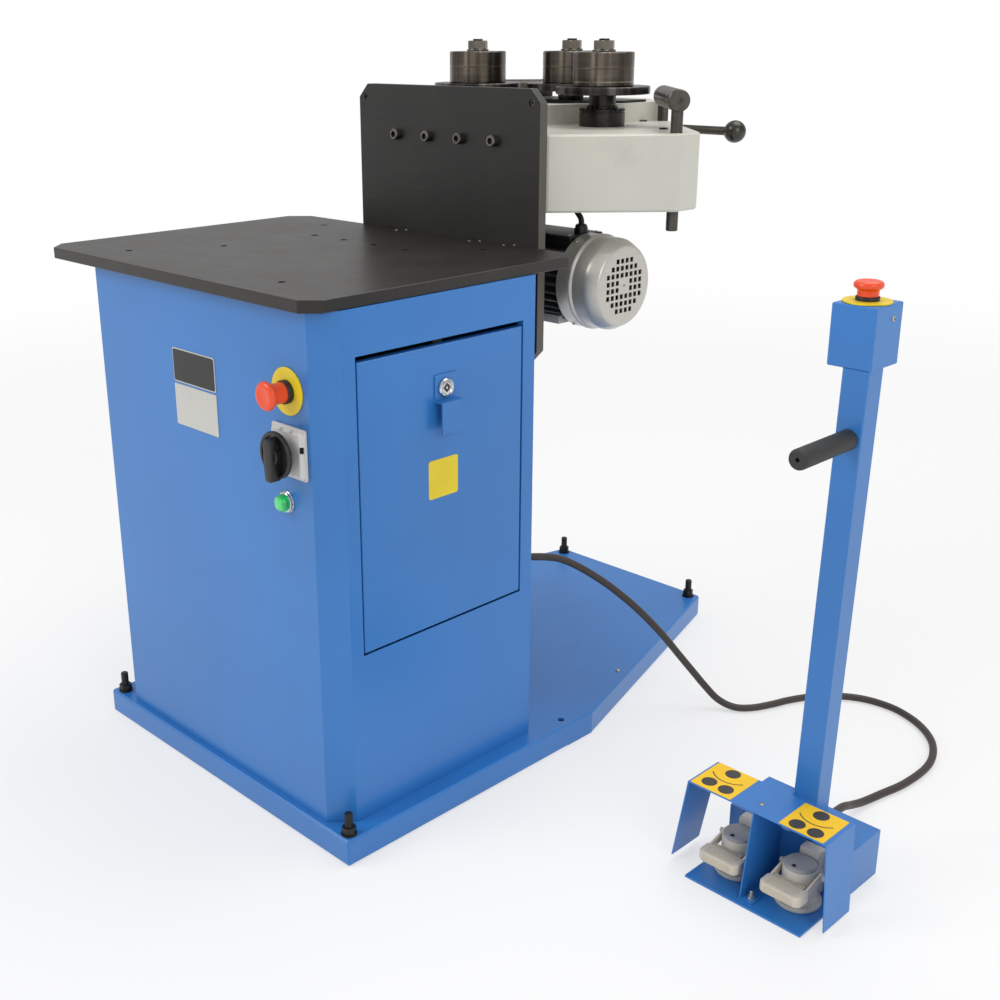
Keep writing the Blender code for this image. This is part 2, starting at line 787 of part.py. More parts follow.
def base_tray():
    tray = piece("base_tray", prism(tray_outline(), 0, TRAY_HEIGHT), "blue_paint")
    round_edges(tray, TRAY_FOLD)
    cut(tray, prism(tray_outline(TRAY_SHEET), -TRAY_HEIGHT, TRAY_HEIGHT - TRAY_SHEET))
    reach = TRAY_HALF_WIDTH - TRAY_SHEET / 2
    half_web = TRAY_SHEET / 2
    half_flange = STIFFENER_FLANGE / 2
    top = TRAY_HEIGHT - TRAY_SHEET / 2
    tee = [
        (-half_flange, 0),
        (half_flange, 0),
        (half_flange, TRAY_SHEET),
        (half_web, TRAY_SHEET),
        (half_web, top),
        (-half_web, top),
        (-half_web, TRAY_SHEET),
        (-half_flange, TRAY_SHEET),
    ]
    fuse(tray, prism(tee, -reach, reach, "X"))
    low = TRAY_HEIGHT - TRAY_SHEET - CUT_OVERRUN
    high = TRAY_HEIGHT + CUT_OVERRUN
    foot_hole = rod(FOOT_HOLE_RADIUS, low, high, SMALL_SIDES)
    holes = [foot_hole.moved(x, y) for x, y in foot_places().values()]
    holes.append(rod(SPARE_HOLE_RADIUS, low, high, SMALL_SIDES).moved(SPARE_HOLE_X, SPARE_HOLE_Y))
    cut(tray, *holes)


def levelling_feet():
    washer_low = TRAY_HEIGHT + SEAT_GAP
    nut_low = washer_low + WASHER_HEIGHT
    nut_high = nut_low + NUT_HEIGHT
    profile = [
        (0, 0),
        (FOOT_PAD_RADIUS, 0),
        (FOOT_PAD_RADIUS, FOOT_PAD_HEIGHT),
        (FOOT_STUD_RADIUS, FOOT_PAD_HEIGHT),
        (FOOT_STUD_RADIUS, washer_low),
        (WASHER_RADIUS, washer_low),
        (WASHER_RADIUS, nut_low),
        (NUT_HALF_FLATS, nut_low, "hex"),
        (NUT_HALF_FLATS, nut_high, "hex"),
        (FOOT_STUD_RADIUS, nut_high),
        (FOOT_STUD_RADIUS, FOOT_STUD_TOP - FOOT_STUD_TIP),
        (FOOT_STUD_RADIUS - FOOT_STUD_TIP, FOOT_STUD_TOP),
        (0, FOOT_STUD_TOP),
    ]
    for name, (x, y) in foot_places().items():
        piece(f"levelling_foot_{name}", lathe(profile, FOOT_SIDES).moved(x, y), "bright_steel")


def cabinet_outline(inset=0.0):
    corners = [
        (CABINET_LEFT + CABINET_CHAMFER, CABINET_FRONT),
        (CABINET_RIGHT - CABINET_CHAMFER, CABINET_FRONT),
        (CABINET_RIGHT, CABINET_FRONT + CABINET_CHAMFER),
        (CABINET_RIGHT, CABINET_BACK),
        (CABINET_LEFT, CABINET_BACK),
        (CABINET_LEFT, CABINET_FRONT + CABINET_CHAMFER),
    ]
    return inset_outline(corners, inset)


def front_control(shape, x, z):
    """A turned control, drawn along +Z, on the front wall and facing the operator."""
    return shape.aimed((0, -1, 0)).moved(x, CABINET_FRONT, z)


def hinge_place():
    return CABINET_RIGHT - HINGE_INSET, DOOR_LOW + HINGE_INSET


def cabinet_shell():
    low = TRAY_HEIGHT + SEAT_GAP
    shell = piece("cabinet_shell", prism(cabinet_outline(), low, CABINET_TOP), "blue_paint")
    flange_low = CABINET_TOP - CABINET_WALL
    cut(shell, prism(cabinet_outline(CABINET_WALL), low - CUT_OVERRUN, flange_low))
    mouth = prism(cabinet_outline(CABINET_TOP_FLANGE), flange_low - CUT_OVERRUN, CABINET_TOP + CUT_OVERRUN)
    cut(shell, mouth)
    front, back = DOOR_FRONT_Y - DOOR_GAP, DOOR_BACK_Y + DOOR_GAP
    bottom, top = DOOR_LOW - DOOR_GAP, DOOR_HIGH + DOOR_TOP_GAP
    inner = CABINET_RIGHT - FRAME_DEPTH
    skin = CABINET_RIGHT - CABINET_WALL / 2
    pin_x, pin_z = hinge_place()
    ear = CABINET_RIGHT - HINGE_EAR_DEPTH
    section = [
        (ear, pin_z - HINGE_EAR_DROP),
        (skin, pin_z - HINGE_EAR_DROP),
        (skin, top + CABINET_WALL),
        (inner, top + CABINET_WALL),
        (inner, pin_z + HINGE_EAR_RISE),
        (ear, pin_z + HINGE_EAR_RISE),
    ]
    fuse(shell, prism(section, front - CABINET_WALL, back + CABINET_WALL, "Y"))
    cut(
        shell,
        block(
            (CABINET_RIGHT - HINGE_EAR_DEPTH - CUT_OVERRUN, front, bottom),
            (CABINET_RIGHT + CUT_OVERRUN, back, top),
        ),
    )
    pin_hole = lathe(
        [
            (HINGE_PIN_RADIUS + RUN_GAP, front - HINGE_PIN_PAST),
            (HINGE_PIN_RADIUS + RUN_GAP, back + HINGE_PIN_PAST),
        ],
        TINY_SIDES,
    )
    cut(shell, aim_y(pin_hole).moved(pin_x, 0, pin_z))
    through = (-CABINET_WALL - CUT_OVERRUN, CUT_OVERRUN)
    cut(
        shell,
        front_control(rod(STOP_BARREL_RADIUS + SEAT_GAP, *through, SMALL_SIDES), STOP_X, STOP_Z),
        front_control(rod(ISOLATOR_BARREL_RADIUS + SEAT_GAP, *through, SMALL_SIDES), ISOLATOR_X, ISOLATOR_Z),
        front_control(rod(LAMP_BARREL_RADIUS + SEAT_GAP, *through, SMALL_SIDES), LAMP_X, LAMP_Z),
        aim_y(rod(CORD_GLAND_THREAD_RADIUS + SEAT_GAP, *through, SMALL_SIDES)).moved(
            CORD_GLAND_X, CABINET_BACK, CORD_GLAND_Z
        ),
    )


def aim_y(shape):
    """A shape drawn along +Z, turned to run along +Y."""
    return shape.aimed((0, 1, 0))


def aim_x(shape):
    """A shape drawn along +Z, turned to run along +X."""
    return shape.aimed((1, 0, 0))


def cabinet_door():
    face = CABINET_RIGHT
    pin_x, pin_z = hinge_place()
    outer = block((face - DOOR_FOLD_DEPTH, DOOR_FRONT_Y, DOOR_LOW), (face, DOOR_BACK_Y, DOOR_HIGH))
    door = piece("cabinet_door", outer, "blue_paint", (pin_x, (DOOR_FRONT_Y + DOOR_BACK_Y) / 2, pin_z))
    round_edges(door, EDGE_ROUND / 2)
    cut(
        door,
        block(
            (face - DOOR_FOLD_DEPTH - CUT_OVERRUN, DOOR_FRONT_Y + DOOR_SHEET, DOOR_LOW + DOOR_SHEET),
            (face - DOOR_SHEET, DOOR_BACK_Y - DOOR_SHEET, DOOR_HIGH - DOOR_SHEET),
        ),
    )
    reach = DOOR_GAP + HINGE_PIN_PAST - RUN_GAP
    pin = rod(HINGE_PIN_RADIUS, DOOR_FRONT_Y - reach, DOOR_BACK_Y + reach, TINY_SIDES)
    fuse(door, aim_y(pin).moved(pin_x, 0, pin_z))
    out, lip = face + PULL_SHEET, face + PULL_REACH
    strip = [
        (face - BURY, PULL_TOP),
        (out, PULL_TOP),
        (out, PULL_SHELF),
        (lip, PULL_SHELF),
        (lip, PULL_TIP),
        (lip - PULL_SHEET, PULL_TIP),
        (lip - PULL_SHEET, PULL_SHELF - PULL_SHEET),
        (face - BURY, PULL_SHELF - PULL_SHEET),
    ]
    fuse(door, prism(strip, PULL_FRONT_Y, PULL_BACK_Y, "Y"))
    hole = rod(LOCK_BARREL_RADIUS + RUN_GAP, -DOOR_FOLD_DEPTH, PULL_SHEET + CUT_OVERRUN, SMALL_SIDES)
    cut(door, aim_x(hole).moved(face, LOCK_Y, LOCK_Z))


def door_lock():
    back = -FRAME_DEPTH - SEAT_GAP
    head_low = PULL_SHEET + SEAT_GAP
    head_high = head_low + LOCK_HEAD_HEIGHT
    profile = [
        (0, back - CAM_SHEET / 2),
        (LOCK_BARREL_RADIUS, back - CAM_SHEET / 2),
        (LOCK_BARREL_RADIUS, head_low),
        (LOCK_HEAD_RADIUS, head_low),
        (LOCK_HEAD_RADIUS, head_high - LOCK_RIM),
        (LOCK_HEAD_RADIUS - LOCK_RIM, head_high),
        (0, head_high),
    ]
    origin = (CABINET_RIGHT, LOCK_Y, LOCK_Z)
    barrel = aim_x(lathe(profile, SMALL_SIDES)).moved(*origin)
    lock = piece("door_lock", barrel, "chrome", origin)
    slot = block(
        (head_high - LOCK_SLOT_DEPTH, -LOCK_SLOT_WIDTH / 2, -LOCK_SLOT_LENGTH / 2),
        (head_high + CUT_OVERRUN, LOCK_SLOT_WIDTH / 2, LOCK_SLOT_LENGTH / 2),
    )
    cut(lock, slot.moved(*origin))
    cam = block((back - CAM_SHEET, -CAM_HALF_WIDTH, -CAM_TAIL), (back, CAM_HALF_WIDTH, CAM_REACH))
    fuse(lock, cam.moved(*origin))


def control_panel():
    """The folded plate in the cabinet, with its rails and switchgear."""
    front = CABINET_FRONT + CABINET_WALL + SEAT_GAP
    back = CABINET_BACK - CABINET_WALL - SEAT_GAP
    outer = block((PANEL_X - PANEL_FOLD, front, PANEL_LOW), (PANEL_X, back, PANEL_HIGH))
    panel = piece("control_panel", outer, "bright_steel")
    cut(
        panel,
        block(
            (PANEL_X - PANEL_FOLD - CUT_OVERRUN, front + PANEL_SHEET, PANEL_LOW - CUT_OVERRUN),
            (PANEL_X - PANEL_SHEET, back - PANEL_SHEET, PANEL_HIGH + CUT_OVERRUN),
        ),
    )
    root = PANEL_X - BURY
    for level in RAIL_LEVELS:
        low, high = level - RAIL_HEIGHT / 2, level + RAIL_HEIGHT / 2
        rail = block((root, front + RAIL_MARGIN, low), (PANEL_X + RAIL_DEPTH, back - RAIL_MARGIN, high))
        fuse(panel, rail)
    level = RAIL_LEVELS[0]
    width = DEVICE_COUNT * DEVICE_WIDTH + (DEVICE_COUNT - 1) * DEVICE_SPACE
    start = (front + back - width) / 2
    for index in range(DEVICE_COUNT):
        near = start + index * (DEVICE_WIDTH + DEVICE_SPACE)
        far = near + DEVICE_WIDTH
        tall, deep = DEVICE_HEIGHT / 2, PANEL_X + DEVICE_DEPTH
        shoulder = deep - DEVICE_STEP
        fuse(panel, block((root, near, level - tall), (shoulder, far, level + tall)))
        tall -= DEVICE_STEP
        fuse(panel, block((shoulder - BURY, near, level - tall), (deep, far, level + tall)))
    middle = (front + back) / 2
    fuse(
        panel,
        block(
            (root, middle - SUPPLY_WIDTH / 2, SUPPLY_LOW),
            (PANEL_X + SUPPLY_DEPTH, middle + SUPPLY_WIDTH / 2, SUPPLY_HIGH),
        ),
    )


def stop_base_profile(collar_height, block_depth):
    """Legend disc, collar with its bore, thread and contact block, along the outward direction."""
    outer = SEAT_GAP + STOP_LEGEND_SHEET
    return [
        (0, -block_depth),
        (STOP_BLOCK_RADIUS, -block_depth),
        (STOP_BLOCK_RADIUS, -STOP_BLOCK_START),
        (STOP_BARREL_RADIUS, -STOP_BLOCK_START),
        (STOP_BARREL_RADIUS, SEAT_GAP),
        (STOP_LEGEND_RADIUS, SEAT_GAP),
        (STOP_LEGEND_RADIUS, outer),
        (STOP_COLLAR_RADIUS, outer),
        (STOP_COLLAR_RADIUS, collar_height - STOP_COLLAR_CHAMFER),
        (STOP_COLLAR_RADIUS - STOP_COLLAR_CHAMFER, collar_height),
        (STOP_BORE_RADIUS, collar_height),
        (STOP_BORE_RADIUS, STOP_BORE_FLOOR),
        (0, STOP_BORE_FLOOR),
    ]


def button_profile(crown):
    """Neck and mushroom of a stop button. It can sink by its travel before it meets the bore's floor."""
    foot = STOP_BORE_FLOOR + STOP_TRAVEL + BUTTON_PLAY
    skirt = crown - BUTTON_HEAD
    return [
        (0, foot),
        (BUTTON_STEM_RADIUS, foot),
        (BUTTON_STEM_RADIUS, skirt),
        (BUTTON_RADIUS - BUTTON_SKIRT / 2, skirt),
        (BUTTON_RADIUS, skirt + BUTTON_SKIRT / 2),
        (BUTTON_RADIUS, crown - BUTTON_CROWN),
        (BUTTON_RADIUS - BUTTON_CROWN / 2, crown - BUTTON_CROWN / 2),
        (BUTTON_RADIUS - 2 * BUTTON_CROWN, crown),
        (0, crown),
    ]


def slimmed(profile, share):
    """The same turned profile with every radius taken down to a share."""
    return [(radius * share, height) for radius, height in profile]


def front_stop():
    base = lathe(stop_base_profile(STOP_COLLAR_HEIGHT, STOP_BLOCK_DEPTH), ROUND_SIDES)
    piece("stop_switch_base", front_control(base, STOP_X, STOP_Z), "yellow_plastic")
    button = lathe(button_profile(STOP_COLLAR_HEIGHT + BUTTON_RISE), ROUND_SIDES)
    origin = (STOP_X, CABINET_FRONT, STOP_Z)
    piece("stop_button", front_control(button, STOP_X, STOP_Z), "red_plastic", origin)


def isolator():
    face = SEAT_GAP + ISOLATOR_PLATE_HEIGHT
    plate_shape = block((-ISOLATOR_HALF, -ISOLATOR_HALF, SEAT_GAP), (ISOLATOR_HALF, ISOLATOR_HALF, face))
    plate = piece("isolator_plate", front_control(plate_shape, ISOLATOR_X, ISOLATOR_Z), "pale_plastic")
    round_edges(plate, EDGE_ROUND)
    neck = rod(ISOLATOR_BARREL_RADIUS, -CABINET_WALL - 3 * BURY, SEAT_GAP + BURY, SMALL_SIDES)
    deep = -CABINET_WALL - ISOLATOR_BODY_DEPTH
    half = ISOLATOR_BODY_HALF
    body = block((-half, -half, deep), (half, half, -CABINET_WALL - 2 * BURY))
    fuse(plate, front_control(neck, ISOLATOR_X, ISOLATOR_Z), front_control(body, ISOLATOR_X, ISOLATOR_Z))
    bore = rod(ISOLATOR_BORE_RADIUS + RUN_GAP, 0, face + CUT_OVERRUN, TINY_SIDES)
    cut(plate, front_control(bore, ISOLATOR_X, ISOLATOR_Z))

    low = face + RUN_GAP
    ring_low = ISOLATOR_RING_LOW
    ring_high = ring_low + ISOLATOR_RING_HEIGHT
    profile = [
        (0, RUN_GAP),
        (ISOLATOR_BORE_RADIUS, RUN_GAP),
        (ISOLATOR_BORE_RADIUS, low),
        (ISOLATOR_NECK_RADIUS, low),
        (ISOLATOR_NECK_RADIUS, ring_low),
        (ISOLATOR_RING_RADIUS, ring_low),
        (ISOLATOR_RING_RADIUS, ring_high - EDGE_ROUND),
        (ISOLATOR_RING_RADIUS - EDGE_ROUND, ring_high),
        (0, ring_high),
    ]
    origin = (ISOLATOR_X, CABINET_FRONT, ISOLATOR_Z)
    turned = front_control(lathe(profile, ROUND_SIDES), ISOLATOR_X, ISOLATOR_Z)
    knob = piece("isolator_knob", turned, "black_plastic", origin)
    wide, corner = KNOB_HALF_WIDTH, KNOB_ROUND
    handle = [
        (-wide, KNOB_TAIL - corner),
        (-wide + corner, KNOB_TAIL),
        (wide - corner, KNOB_TAIL),
        (wide, KNOB_TAIL - corner),
        (wide, corner - KNOB_LENGTH),
        (wide - corner, -KNOB_LENGTH),
        (corner - wide, -KNOB_LENGTH),
        (-wide, corner - KNOB_LENGTH),
    ]
    face_y = CABINET_FRONT - ring_high
    bar = prism(handle, face_y - KNOB_HEIGHT, face_y + BURY, "Y").moved(ISOLATOR_X, 0, ISOLATOR_Z)
    fuse(knob, bar)


def pilot_lamp():
    profile = [
        (0, -LAMP_BARREL_DEPTH),
        (LAMP_BARREL_RADIUS, -LAMP_BARREL_DEPTH),
        (LAMP_BARREL_RADIUS, SEAT_GAP),
        (LAMP_BEZEL_RADIUS, SEAT_GAP),
        (LAMP_BEZEL_RADIUS, LAMP_BEZEL_HEIGHT),
        (LAMP_LENS_RADIUS, LAMP_BEZEL_HEIGHT),
        (LAMP_LENS_RADIUS, LAMP_LENS_HEIGHT - LAMP_LENS_CROWN),
        (LAMP_LENS_RADIUS - LAMP_LENS_CROWN, LAMP_LENS_HEIGHT),
        (0, LAMP_LENS_HEIGHT),
    ]
    piece("pilot_lamp", front_control(lathe(profile, SMALL_SIDES), LAMP_X, LAMP_Z), "green_lens")


def table_top():
    right, back_left, front_left = TABLE_CHAMFER_RIGHT, TABLE_CHAMFER_BACK_LEFT, TABLE_CHAMFER_FRONT_LEFT
    back = TABLE_BACK - SEAT_GAP
    outline = [
        (TABLE_LEFT + front_left, TABLE_FRONT),
        (TABLE_RIGHT - right, TABLE_FRONT),
        (TABLE_RIGHT, TABLE_FRONT + right),
        (TABLE_RIGHT, back - right),
        (TABLE_RIGHT - right, back),
        (TABLE_LEFT + back_left, back),
        (TABLE_LEFT, back - back_left),
        (TABLE_LEFT, TABLE_FRONT + front_left),
    ]
    low = TABLE_TOP - TABLE_SHEET
    table = piece("table_top", prism(outline, low, TABLE_TOP), "black_steel")
    round_edges(table, EDGE_ROUND / 2)
    deep = PLATE_THICKNESS - SEAT_GAP
    for x in TONGUE_PLACES:
        half = TONGUE_WIDTH / 2
        fuse(table, block((x - half, back - BURY, low), (x + half, deep, TABLE_TOP)))
    places = [(TABLE_ROW_START + index * TABLE_ROW_STEP, TABLE_ROW_Y) for index in range(TABLE_ROW_COUNT)]
    places += [(x, y) for x in TABLE_PATTERN_X for y in TABLE_PATTERN_Y] + [TABLE_ODD_HOLE]
    hole = rod(TABLE_HOLE_RADIUS, low - CUT_OVERRUN, TABLE_TOP + CUT_OVERRUN, TINY_SIDES)
    cut(table, *[hole.moved(x, y) for x, y in places])


def mounting_plate():
    outline = [
        (-PLATE_HALF_WIDTH + PLATE_CHAMFER, PLATE_LOW),
        (PLATE_HALF_WIDTH - PLATE_CHAMFER, PLATE_LOW),
        (PLATE_HALF_WIDTH, PLATE_LOW + PLATE_CHAMFER),
        (PLATE_HALF_WIDTH, PLATE_HIGH - PLATE_CHAMFER),
        (PLATE_HALF_WIDTH - PLATE_CHAMFER, PLATE_HIGH),
        (-PLATE_HALF_WIDTH + PLATE_CHAMFER, PLATE_HIGH),
        (-PLATE_HALF_WIDTH, PLATE_HIGH - PLATE_CHAMFER),
        (-PLATE_HALF_WIDTH, PLATE_LOW + PLATE_CHAMFER),
    ]
    plate = piece("mounting_plate", prism(outline, 0, PLATE_THICKNESS, "Y"), "black_steel")
    round_edges(plate, EDGE_ROUND / 2)
    hole = aim_y(rod(PLATE_HOLE_RADIUS, -CUT_OVERRUN, PLATE_THICKNESS + CUT_OVERRUN, TINY_SIDES))
    tools = [hole.moved(x, 0, PLATE_HOLE_Z) for x in (-PLATE_HOLE_X, PLATE_HOLE_X)]
    half = TONGUE_WIDTH / 2 + SEAT_GAP
    low, high = TABLE_TOP - TABLE_SHEET - SEAT_GAP, TABLE_TOP + SEAT_GAP
    for x in TONGUE_PLACES:
        tools.append(block((x - half, -CUT_OVERRUN, low), (x + half, PLATE_THICKNESS + CUT_OVERRUN, high)))
    cut(plate, *tools)


def mirrored(right_side):
    """A whole outline from its right half, given from front to back."""
    return right_side + [(-x, y) for x, y in reversed(right_side)]


def head_outline():
    front = PLATE_THICKNESS + SEAT_GAP
    return mirrored(
        [
            (HEAD_FRONT_HALF, front),
            (HEAD_WIDE_HALF, HEAD_WIDE_START),
            (HEAD_WIDE_HALF, HEAD_WIDE_END),
            (HEAD_NOSE_HALF, HEAD_NOSE_Y),
        ]
    )


def saddle_outline():
    """The raised slideway: narrow between the driven rolls, then flared in an S curve for the slide."""
    front = PLATE_THICKNESS + SEAT_GAP
    side = [(SADDLE_NARROW_HALF, front)]
    for step in range(SADDLE_FLARE_STEPS + 1):
        share = step / SADDLE_FLARE_STEPS
        ease = share * share * (3 - 2 * share)
        x = SADDLE_NARROW_HALF + (SADDLE_WIDE_HALF - SADDLE_NARROW_HALF) * ease
        side.append((x, SADDLE_FLARE_START + (SADDLE_FLARE_END - SADDLE_FLARE_START) * share))
    side.append((SADDLE_WIDE_HALF, SADDLE_SHOULDER))
    side.append((SADDLE_NOSE_HALF, SADDLE_SHOULDER + SADDLE_WIDE_HALF - SADDLE_NOSE_HALF))
    return mirrored(side)


def slide_section(clearance):
    """The tee section of the pressure slide, or of the channel round it."""
    wing = SLIDE_HALF_WIDTH + SLIDE_WING + clearance
    neck = SLIDE_HALF_WIDTH + clearance
    low = SLIDE_LOW - clearance
    wing_top = SLIDE_WING_TOP + clearance
    top = HEAD_TOP + (CUT_OVERRUN if clearance else 0)
    return [
        (-wing, low),
        (wing, low),
        (wing, wing_top),
        (neck, wing_top),
        (neck, top),
        (-neck, top),
        (-neck, wing_top),
        (-wing, wing_top),
    ]


def guide_pin_places():
    return {
        "right_near": NEAR_PIN,
        "right_far": (FAR_PIN_X, FAR_PIN_Y),
        "left_far": (-FAR_PIN_X, FAR_PIN_Y),
        "left_near": (-NEAR_PIN[0], NEAR_PIN[1]),
    }


def head_housing():
    head = piece("head_housing", prism(head_outline(), HEAD_LOW, HEAD_LEDGE), "grey_paint")
    round_edges(head, HEAD_ROUND, angle=HEAD_BEVEL_ANGLE)
    fuse(head, prism(saddle_outline(), HEAD_LEDGE - HEAD_ROUND, HEAD_TOP))
    start = SLIDE_FRONT - SLIDE_FORWARD - CHANNEL_SPARE
    end = SLIDE_BACK + SLIDE_REARWARD + CHANNEL_SPARE
    cut(head, prism(slide_section(RUN_GAP), start, end, "Y"))
    bore = aim_y(rod(SCREW_RADIUS + RUN_GAP, end - CUT_OVERRUN, HEAD_NOSE_Y + CUT_OVERRUN, SMALL_SIDES))
    cut(head, bore.moved(0, 0, SCREW_Z))
    foot = SHAFT_FOOT - SEAT_GAP
    tools = [
        rod(SHAFT_RADIUS + RUN_GAP, foot, HEAD_LEDGE + CUT_OVERRUN).moved(side * ROLL_HALF_SPACING, DRIVEN_Y)
        for side in (-1, 1)
    ]
    for x, y in guide_pin_places().values():
        pin = rod(PIN_RADIUS + RUN_GAP, HEAD_LOW - CUT_OVERRUN, HEAD_LEDGE + CUT_OVERRUN, SMALL_SIDES)
        tools.append(pin.moved(x, y))
    cut(head, *tools)


def bearing_housings():
    inner = SHAFT_RADIUS + RUN_GAP
    low = HEAD_LEDGE + SEAT_GAP
    floor = BEARING_TOP - BEARING_NOTCH_DEPTH
    profile = [
        (inner, low),
        (BEARING_RADIUS, low),
        (BEARING_RADIUS, BEARING_TOP - BEARING_CHAMFER),
        (BEARING_RADIUS - BEARING_CHAMFER, BEARING_TOP),
        (BEARING_RADIUS - BEARING_WALL, BEARING_TOP),
        (BEARING_RADIUS - BEARING_WALL, floor),
        (inner, floor),
    ]
    notch = block(
        (BEARING_RADIUS - BEARING_WALL - CUT_OVERRUN, -BEARING_NOTCH_WIDTH / 2, floor),
        (BEARING_RADIUS + CUT_OVERRUN, BEARING_NOTCH_WIDTH / 2, BEARING_TOP + CUT_OVERRUN),
    )
    for name, side in (("left", -1), ("right", 1)):
        centre = (side * ROLL_HALF_SPACING, DRIVEN_Y)
        turned = lathe(profile, FINE_SIDES, ring=True).moved(*centre)
        housing = piece(f"{name}_bearing_housing", turned, "dark_steel")
        angles = [2 * math.pi * index / BEARING_NOTCHES for index in range(BEARING_NOTCHES)]
        cut(housing, *[notch.spun(angle).moved(*centre) for angle in angles])


def shaft_profile(foot, foot_radius, collar_low, locknut):
    """Journal, collar under the disc, spindle through disc and roll, and the threaded end."""
    spindle_top = ROLL_TOP - SPINDLE_SHORT
    lower = [(0, foot), (foot_radius, foot)]
    if locknut:
        floor = BEARING_TOP - BEARING_NOTCH_DEPTH + RUN_GAP
        inner = BEARING_RADIUS - BEARING_WALL - CUT_OVERRUN
        lower += [
            (foot_radius, floor),
            (inner, floor),
            (inner, BEARING_TOP),
            (LOCKNUT_RADIUS, BEARING_TOP),
            (LOCKNUT_RADIUS, BEARING_TOP + LOCKNUT_HEIGHT),
            (SHAFT_COLLAR_RADIUS, BEARING_TOP + LOCKNUT_HEIGHT),
        ]
    else:
        lower += [(foot_radius, collar_low), (SHAFT_COLLAR_RADIUS, collar_low)]
    return lower + [
        (SHAFT_COLLAR_RADIUS, DISC_LOW - SEAT_GAP),
        (SPINDLE_RADIUS, DISC_LOW - SEAT_GAP),
        (SPINDLE_RADIUS, spindle_top),
        (STUD_RADIUS, spindle_top),
        (STUD_RADIUS, STUD_TOP - STUD_CHAMFER),
        (STUD_RADIUS - STUD_CHAMFER, STUD_TOP),
        (0, STUD_TOP),
    ]


def disc_profile():
    inner, high = SPINDLE_RADIUS + SEAT_GAP, DISC_LOW + DISC_THICKNESS
    return [
        (inner, DISC_LOW),
        (DISC_RADIUS - DISC_CHAMFER, DISC_LOW),
        (DISC_RADIUS, DISC_LOW + DISC_CHAMFER),
        (DISC_RADIUS, high - DISC_CHAMFER),
        (DISC_RADIUS - DISC_CHAMFER, high),
        (inner, high),
    ]


def roll_profile():
    inner, low = SPINDLE_RADIUS + SEAT_GAP, DISC_LOW + DISC_THICKNESS + SEAT_GAP
    seam = low + (ROLL_TOP - low) * ROLL_SEAM_SHARE
    return [
        (inner, low),
        (ROLL_RADIUS - ROLL_CHAMFER, low),
        (ROLL_RADIUS, low + ROLL_CHAMFER),
        (ROLL_RADIUS, seam - ROLL_SEAM_HALF),
        (ROLL_RADIUS - ROLL_SEAM_DEPTH, seam),
        (ROLL_RADIUS, seam + ROLL_SEAM_HALF),
        (ROLL_RADIUS, ROLL_TOP - ROLL_CHAMFER),
        (ROLL_RADIUS - ROLL_CHAMFER, ROLL_TOP),
        (inner, ROLL_TOP),
    ]


def nut_profile():
    inner, low = STUD_RADIUS + SEAT_GAP, ROLL_TOP + SEAT_GAP
    nut_low = low + ROLL_WASHER_HEIGHT
    nut_high = nut_low + ROLL_NUT_HEIGHT
    return [
        (inner, low),
        (ROLL_WASHER_RADIUS, low),
        (ROLL_WASHER_RADIUS, nut_low),
        (ROLL_NUT_HALF_FLATS, nut_low, "hex"),
        (ROLL_NUT_HALF_FLATS, nut_high - ROLL_NUT_CHAMFER, "hex"),
        (ROLL_NUT_HALF_FLATS, nut_high),
        (inner, nut_high),
    ]


def roll_sets():
    cover_top = HEAD_TOP + SEAT_GAP + COVER_SHEET
    slide_foot = SLIDE_LOW + SEAT_GAP + SLIDE_WING
    sets = {
        "left": ((-ROLL_HALF_SPACING, DRIVEN_Y, 0), shaft_profile(SHAFT_FOOT, SHAFT_RADIUS, 0, True)),
        "right": ((ROLL_HALF_SPACING, DRIVEN_Y, 0), shaft_profile(SHAFT_FOOT, SHAFT_RADIUS, 0, True)),
        "pressure": (
            (0, PRESSURE_Y, 0),
            shaft_profile(slide_foot, SPINDLE_RADIUS, cover_top + RUN_GAP, False),
        ),
    }
    for name, (centre, shaft) in sets.items():
        origin = (centre[0], centre[1], DISC_LOW)
        piece(f"{name}_roll_shaft", lathe(shaft, ROUND_SIDES).moved(*centre), "dark_steel", origin)
        disc = lathe(disc_profile(), FINE_SIDES, ring=True)
        piece(f"{name}_flange_disc", disc.moved(*centre), "turned_steel", origin)
        roll = lathe(roll_profile(), FINE_SIDES, ring=True)
        piece(f"{name}_roll", roll.moved(*centre), "turned_steel", origin)
        nut = lathe(nut_profile(), HEX_SIDES, ring=True)
        piece(f"{name}_roll_nut", nut.moved(*centre), "turned_steel", origin)


def pressure_slide():
    origin = (0, PRESSURE_Y, SCREW_Z)
    slide = piece(
        "pressure_slide", prism(slide_section(0), SLIDE_FRONT, SLIDE_BACK, "Y"), "dark_steel", origin
    )
    well = rod(SPINDLE_RADIUS + RUN_GAP, SLIDE_LOW + SLIDE_WING, HEAD_TOP + CUT_OVERRUN)
    cut(slide, well.moved(0, PRESSURE_Y))
    start = SLIDE_BACK - SCREW_BITE - SCREW_BITE_SPARE
    socket = aim_y(rod(SCREW_RADIUS + RUN_GAP, start, SLIDE_BACK + CUT_OVERRUN, SMALL_SIDES))
    cut(slide, socket.moved(0, 0, SCREW_Z))

    half, corner = COVER_HALF_WIDTH, COVER_CHAMFER
    outline = mirrored(
        [(half - corner, COVER_FRONT), (half, COVER_FRONT + corner), (half, COVER_BACK)]
    )
    low = HEAD_TOP + SEAT_GAP
    cover = piece("slide_cover", prism(outline, low, low + COVER_SHEET), "black_steel", origin)
    hole = rod(SPINDLE_RADIUS + RUN_GAP, low - CUT_OVERRUN, low + COVER_SHEET + CUT_OVERRUN)
    cut(cover, hole.moved(0, PRESSURE_Y))


